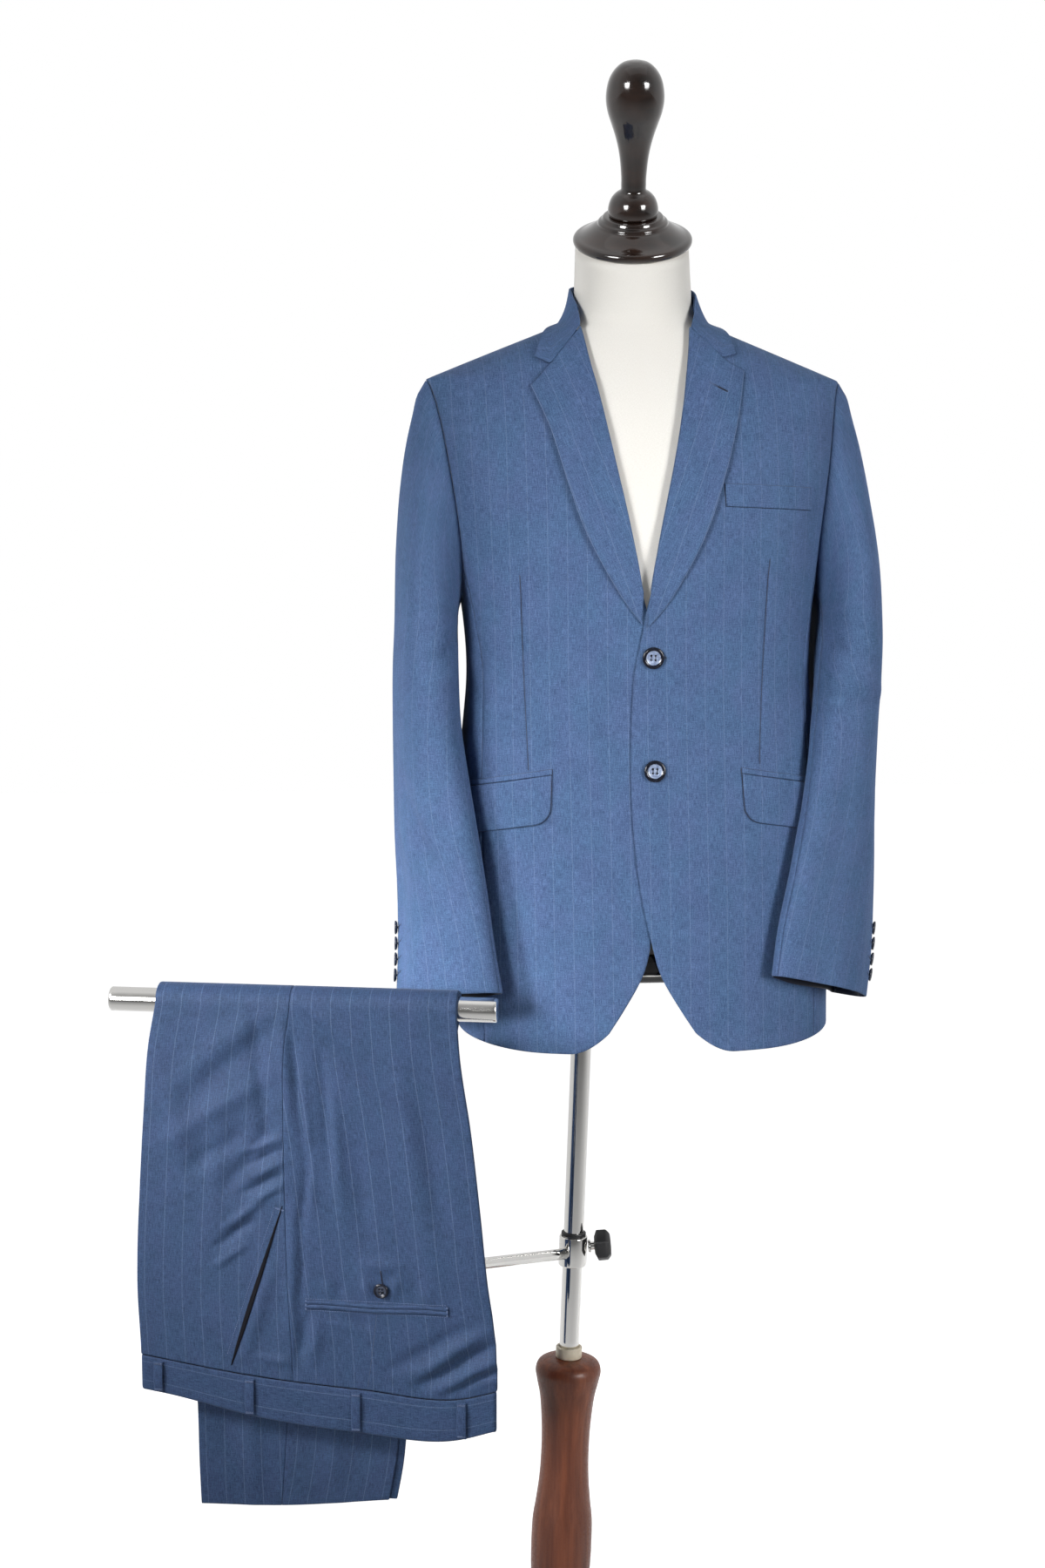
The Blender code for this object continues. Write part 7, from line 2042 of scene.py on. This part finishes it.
base_rows = ((0.0, BASE_RADIUS - 0.004), (0.0012, BASE_RADIUS - 0.0012), (0.004, BASE_RADIUS), (0.01, BASE_RADIUS),
             (0.0124, BASE_RADIUS - 0.0008), (0.014, BASE_RADIUS - 0.003), (0.0152, BASE_RADIUS - 0.004),
             (0.018, BASE_RADIUS - 0.0062), (0.0208, BASE_RADIUS - 0.0125), (BASE_TOP, BASE_RADIUS - 0.022),
             (BASE_TOP, 0.06), (BASE_TOP, 0.03))
lathe("base_wood", "base", rounded_profile(base_rows, 3, (9, 10, 11)), (0, 0, 0), (0, 0, 1), [RED_WOOD],
      128)
column_rows = [(height * AXIS_LENGTH, radius) for height, radius in COLUMN_PROFILE]
lathe("column_wood", "wood_column", rounded_profile(column_rows, 5, (0,)), (0, 0, 0), STAND_AXIS, [RED_WOOD],
      96, level_foot=True)
column_top = COLUMN_PROFILE[-1][0]
foot, top = (column_top + SEAM_GAP) * AXIS_LENGTH, (BASE_CAP_BOTTOM - SEAM_GAP) * AXIS_LENGTH
pole_rows = [(along, POLE_RADIUS) for along in np.linspace(foot, top, 24)]
lathe("pole_chrome", "pole", pole_rows, (0, 0, 0), STAND_AXIS, [CHROME], 72)

# %% Clamp, ferrule, knob and screw
CLAMP_HEIGHT, CLAMP_HALF, CLAMP_OUTER, KNOB_RISE = 0.523, 0.0172, 0.016, 0.003
INSERT_RISE, INSERT_RADIUS, FERRULE_RISE, FERRULE_RADIUS = 0.0045, 0.014, 0.013, 0.015


def collar_ring(name, node_name, low, high, inner, outer, bevel, made_of, groove=0.0):
    """A ring round the pole with softened rims."""
    arc = [(bevel * (1 - math.cos(a)), bevel * (1 - math.sin(a))) for a in np.linspace(0, math.pi / 2, 5)]
    rows = [(low, inner)] + [(low + up, outer - back) for up, back in arc]
    if groove:
        middle = (low + high) / 2
        rows += [(middle - 0.001, outer), (middle - 0.0005, outer - groove), (middle + 0.0005, outer - groove),
                 (middle + 0.001, outer)]
    rows += [(high - up, outer - back) for up, back in reversed(arc)] + [(high, inner)]
    turn = full_turn(96)[:, None]
    first = unit(np.cross(STAND_AXIS, (0.0, 1.0, 0.0)))
    second = np.cross(STAND_AXIS, first)
    points = np.array([stand_point(h) + r * (np.cos(turn) * first + np.sin(turn) * second) for h, r in rows])
    faces = ring_faces(len(rows), 96, closed=True)
    new_piece(name, points.reshape(-1, 3), faces, np.zeros((points.size // 3, 2)), [made_of],
              stands_for=node_name)


bore, low, high = POLE_RADIUS + SEAM_GAP, CLAMP_HEIGHT - CLAMP_HALF, CLAMP_HEIGHT + CLAMP_HALF
collar_ring("clamp_chrome", "clamp_collar", low, high, bore, CLAMP_OUTER, 0.0016, CHROME)
collar_ring("clamp_insert_plastic", "clamp_insert", high + SEAM_GAP, high + INSERT_RISE, bore, INSERT_RADIUS, 0.0012,
            BLACK_PLASTIC)
collar_ring("ferrule_enamel", "ferrule", column_top + SEAM_GAP, column_top + FERRULE_RISE, bore,
            FERRULE_RADIUS, 0.0014, FERRULE_CREAM)
centre = stand_point(CLAMP_HEIGHT + KNOB_RISE)
knob_way = unit(np.array([math.cos(math.radians(-8)), math.sin(math.radians(-8)), 0.1]))
nut_rows = [(CLAMP_OUTER + 0.0014, 0.0068), (CLAMP_OUTER + 0.0016, 0.0074), (CLAMP_OUTER + 0.0038, 0.0075),
            (CLAMP_OUTER + 0.0041, 0.007), (CLAMP_OUTER + 0.0042, 0.0048)]
nut_rows += [(CLAMP_OUTER + 0.0042 + 0.0043 * k / 12, 0.0048 - 0.0003 * (k % 2)) for k in range(1, 13)]
lathe("clamp_screw_chrome", "clamp_screw", nut_rows, centre, knob_way, [CHROME], 48)

start = nut_rows[-1][0] + SEAM_GAP
knob_axis, knob_first = knob_way, unit(np.cross(knob_way, (0.0, 1.0, 0.02)))
knob_second = np.cross(knob_axis, knob_first)
knob_turn = full_turn(72)
hexagon = np.cos(math.pi / 6) / np.cos((knob_turn % (math.pi / 3)) - math.pi / 6)
hexagon = 1 - (1 - hexagon) * 0.93 - 0.012 * np.cos(6 * knob_turn)
knob_rows = ((start, 0.0112), (start + 0.0006, 0.0122), (start + 0.0028, 0.018), (start + 0.0038, 0.0185),
             (start + 0.0128, 0.0185), (start + 0.0142, 0.018), (start + 0.0172, 0.0145), (start + 0.018, 0.0128),
             (start + 0.018, 0.009), (start + 0.0168, 0.008), (start + 0.0168, 0.002))
rings = np.array([centre + along * knob_axis + (radius * np.where(radius > 0.0085, hexagon, 1.0))[:, None]
                  * (np.cos(knob_turn)[:, None] * knob_first + np.sin(knob_turn)[:, None] * knob_second)
                  for along, radius in knob_rows])
stacked("clamp_knob_plastic", rings, np.zeros((rings.size // 3, 2)), [BLACK_PLASTIC],
        np.zeros(len(rings) - 1, int), "clamp_knob")

# %% Trouser rail and its arm
half = BAR_LENGTH / 2
rail_rows = [(-half, 0.0035), (-half, 0.0105), (-half + 0.0004, 0.0118), (-half + 0.0014, BAR_RADIUS)]
rail_rows += [(along, BAR_RADIUS) for along in np.linspace(-half + 0.004, half - 0.004, 12)]
rail_rows += [(half - 0.0014, BAR_RADIUS), (half - 0.0004, 0.0118), (half, 0.0105), (half, 0.0035)]
lathe("trouser_rail_chrome", "trouser_bar", rail_rows, BAR_CENTRE, BAR_ALONG, [CHROME], 96)

ARM_RADIUS, ARM_AT_BAR = 0.0063, 0.1465
top = BAR_CENTRE + ARM_AT_BAR * BAR_ALONG
top[2] -= BAR_RADIUS + SEAM_GAP
clamp = stand_point(CLAMP_HEIGHT)
reach = np.array([top[0] - clamp[0], top[1] - clamp[1], 0.0])
level = unit(reach)
start = clamp + level * (CLAMP_OUTER + 0.0016)
corner = clamp + reach + np.array([0, 0, math.tan(math.radians(10.6)) * np.linalg.norm(reach)])
slope, bend = unit(corner - start), 0.024
before, after = corner - slope * bend, corner + np.array([0, 0, bend])
route = [start + (before - start) * s for s in np.linspace(0, 1, 10)]
route += [(1 - s) ** 2 * before + 2 * s * (1 - s) * corner + s**2 * after for s in np.linspace(0, 1, 17)[1:]]
route += [after + (top - after) * s for s in np.linspace(0, 1, 10)[1:]]
tube = tube_rings(route, ARM_RADIUS, 48)
tube[0] = tube[0] - ((tube[0] - start) @ slope)[:, None] * slope
tube[-1, :, 2] = top[2]
new_piece("rail_arm_chrome", tube.reshape(-1, 3), ring_faces(len(tube), 48), np.zeros((tube.size // 3, 2)),
          [CHROME], stands_for="bar_arm")
print("stand pieces re-turned")

# %% [markdown]
# ## Cloth sheets and their pattern sizes
# Each garment piece was noted as a sheet: how large it is when it lies flat, how it is held and what it
# rests on.  Here the sizes are printed, measured on the middle of each shell's thickness.

for name, (made, (width, length, area), held, rests_on) in SHEETS.items():
    if name.startswith("pocket_welt"):
        continue
    print(f"{name:22s} {width:.3f} x {length:.3f} m, {area:.4f} square metres")

# %% [markdown]
# ## A plain studio
# The object stands on a pale floor in front of white.  Two wide soft boxes in front, left and right, light
# it evenly, as in a shop's picture.  Smaller ones reach the folds of the trousers and the neckline, one hangs
# above, and two stand behind, which chrome and lacquer don't mirror.
# The world is white where the camera looks and dimmer for the light it gives, so the soft boxes keep their
# say over the folds.

# %% Floor
floor_mesh = bpy.data.meshes.new("studio_floor")
floor_mesh.from_pydata([(-9, -9, 0), (9, -9, 0), (9, 9, 0), (-9, 9, 0)], [], [(0, 1, 2, 3)])
floor = bpy.data.objects.new("studio_floor", floor_mesh)
bpy.context.scene.collection.objects.link(floor)
made, tree, shader = finish("studio_floor_paper", Roughness=0.9)
place = node(tree, "ShaderNodeTexCoord").outputs["Object"]
tree.links.new(mixed(tree, noise(tree, place, 3.0), (0.6, 0.6, 0.6), (0.66, 0.66, 0.66)), shader.inputs["Base Color"])
away = node(tree, "ShaderNodeVectorMath", {0: place}, operation="LENGTH").outputs["Value"]
path = node(tree, "ShaderNodeLightPath").outputs
behind = node(tree, "ShaderNodeSeparateXYZ", {"Vector": place}).outputs["Y"]
mirrored = sums(tree, "MULTIPLY", path["Is Glossy Ray"], ranged(tree, behind, -3.0, 0.5, 0.1, 0.6))
seen = sums(tree, "ADD", path["Is Camera Ray"], mirrored)
shader.inputs["Emission Color"].default_value = (1, 1, 1, 1)
fading = ranged(tree, away, 0.25, 1.1, 0.6, 1.0)
tree.links.new(sums(tree, "MULTIPLY", seen, fading), shader.inputs["Emission Strength"])
floor_mesh.materials.append(made)
floor.location.z = min(0.0, cad_box[0][2]) - 0.0005

# %% World and soft boxes
world = bpy.data.worlds.new("studio_white")
bpy.context.scene.world = world
world.use_nodes = True
tree = world.node_tree
tree.nodes.clear()
ray = node(tree, "ShaderNodeLightPath").outputs
behind = node(tree, "ShaderNodeSeparateXYZ", {"Vector": node(tree, "ShaderNodeTexCoord").outputs["Generated"]})
room = ranged(tree, behind.outputs["Y"], -0.95, -0.1, 0.1, 0.66)
glow = sums(tree, "ADD", sums(tree, "MULTIPLY", ray["Is Camera Ray"], 0.98),
            sums(tree, "MULTIPLY", ray["Is Glossy Ray"], room))
background = node(tree, "ShaderNodeBackground", {"Color": (1, 1, 1, 1), "Strength": sums(tree, "ADD", glow, 0.02)})
tree.links.new(background.outputs[0], node(tree, "ShaderNodeOutputWorld").inputs["Surface"])


def soft_box(name, place, target, wide, high, watts, colour=(1.0, 1.0, 1.0)):
    light = bpy.data.lights.new(name, "AREA")
    light.shape, light.size, light.size_y = "RECTANGLE", wide, high
    light.energy, light.color = watts, colour
    made = bpy.data.objects.new(name, light)
    made.location = place
    from_target = np.array(place, float) - np.array(target, float)
    pan = math.atan2(from_target[0], -from_target[1])
    tip = math.atan2(math.hypot(from_target[0], from_target[1]), from_target[2])
    made.rotation_euler = (tip, 0, pan)
    bpy.context.scene.collection.objects.link(made)
    return made


for name, place, target, wide, high, watts, spread in (
        ("box_left", (-1.98, -2.42, 1.75), (-0.01, 0.0, 1.13), 1.0, 1.6, 6.7, 38),
        ("box_right", (2.05, -2.42, 1.75), (0.26, 0.0, 1.13), 1.0, 1.6, 6.3, 38),
        ("box_trousers", (-2.2, -0.9, 1.9), (-0.51, -0.16, 0.84), 0.6, 0.6, 3.2, 24),
        ("box_neckline", (-0.15, -2.3, 1.4), (0.02, -0.1, 1.29), 0.25, 0.25, 0.045, 9),
        ("box_above", (0.1, -0.6, 3.2), (0.0, 0.0, 1.2), 2.0, 1.4, 1.5, 180),
        ("box_behind_left", (-2.2, 2.4, 1.6), (-0.1, 0.0, 1.05), 1.0, 1.8, 10, 64),
        ("box_behind_right", (2.2, 2.4, 1.6), (-0.1, 0.0, 1.05), 1.0, 1.8, 10, 64)):
    box = soft_box(name, place, target, wide, high, watts)
    box.data.spread = math.radians(spread)
    box.visible_glossy = "behind" not in name

# %% Camera
camera_data = bpy.data.cameras.new("camera")
camera_data.lens, camera_data.sensor_width, camera_data.sensor_fit = 50.0, 36.0, "AUTO"
camera = bpy.data.objects.new("camera", camera_data)
camera.location = (-0.2475, -2.3875, 1.33)
camera.rotation_euler = (math.radians(90 - 6.5), 0, math.radians(-5.0))
bpy.context.scene.collection.objects.link(camera)
bpy.context.scene.camera = camera
bpy.context.scene.view_settings.view_transform = "Standard"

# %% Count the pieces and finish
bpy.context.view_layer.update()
total = sum(len(piece.data.loop_triangles) or len(piece.data.polygons) * 2 for piece in PIECES)
largest = max(PIECES, key=lambda piece: len(piece.data.polygons))
print(len(PIECES), "pieces,", total, "triangles, the largest", largest.name, len(largest.data.polygons) * 2)
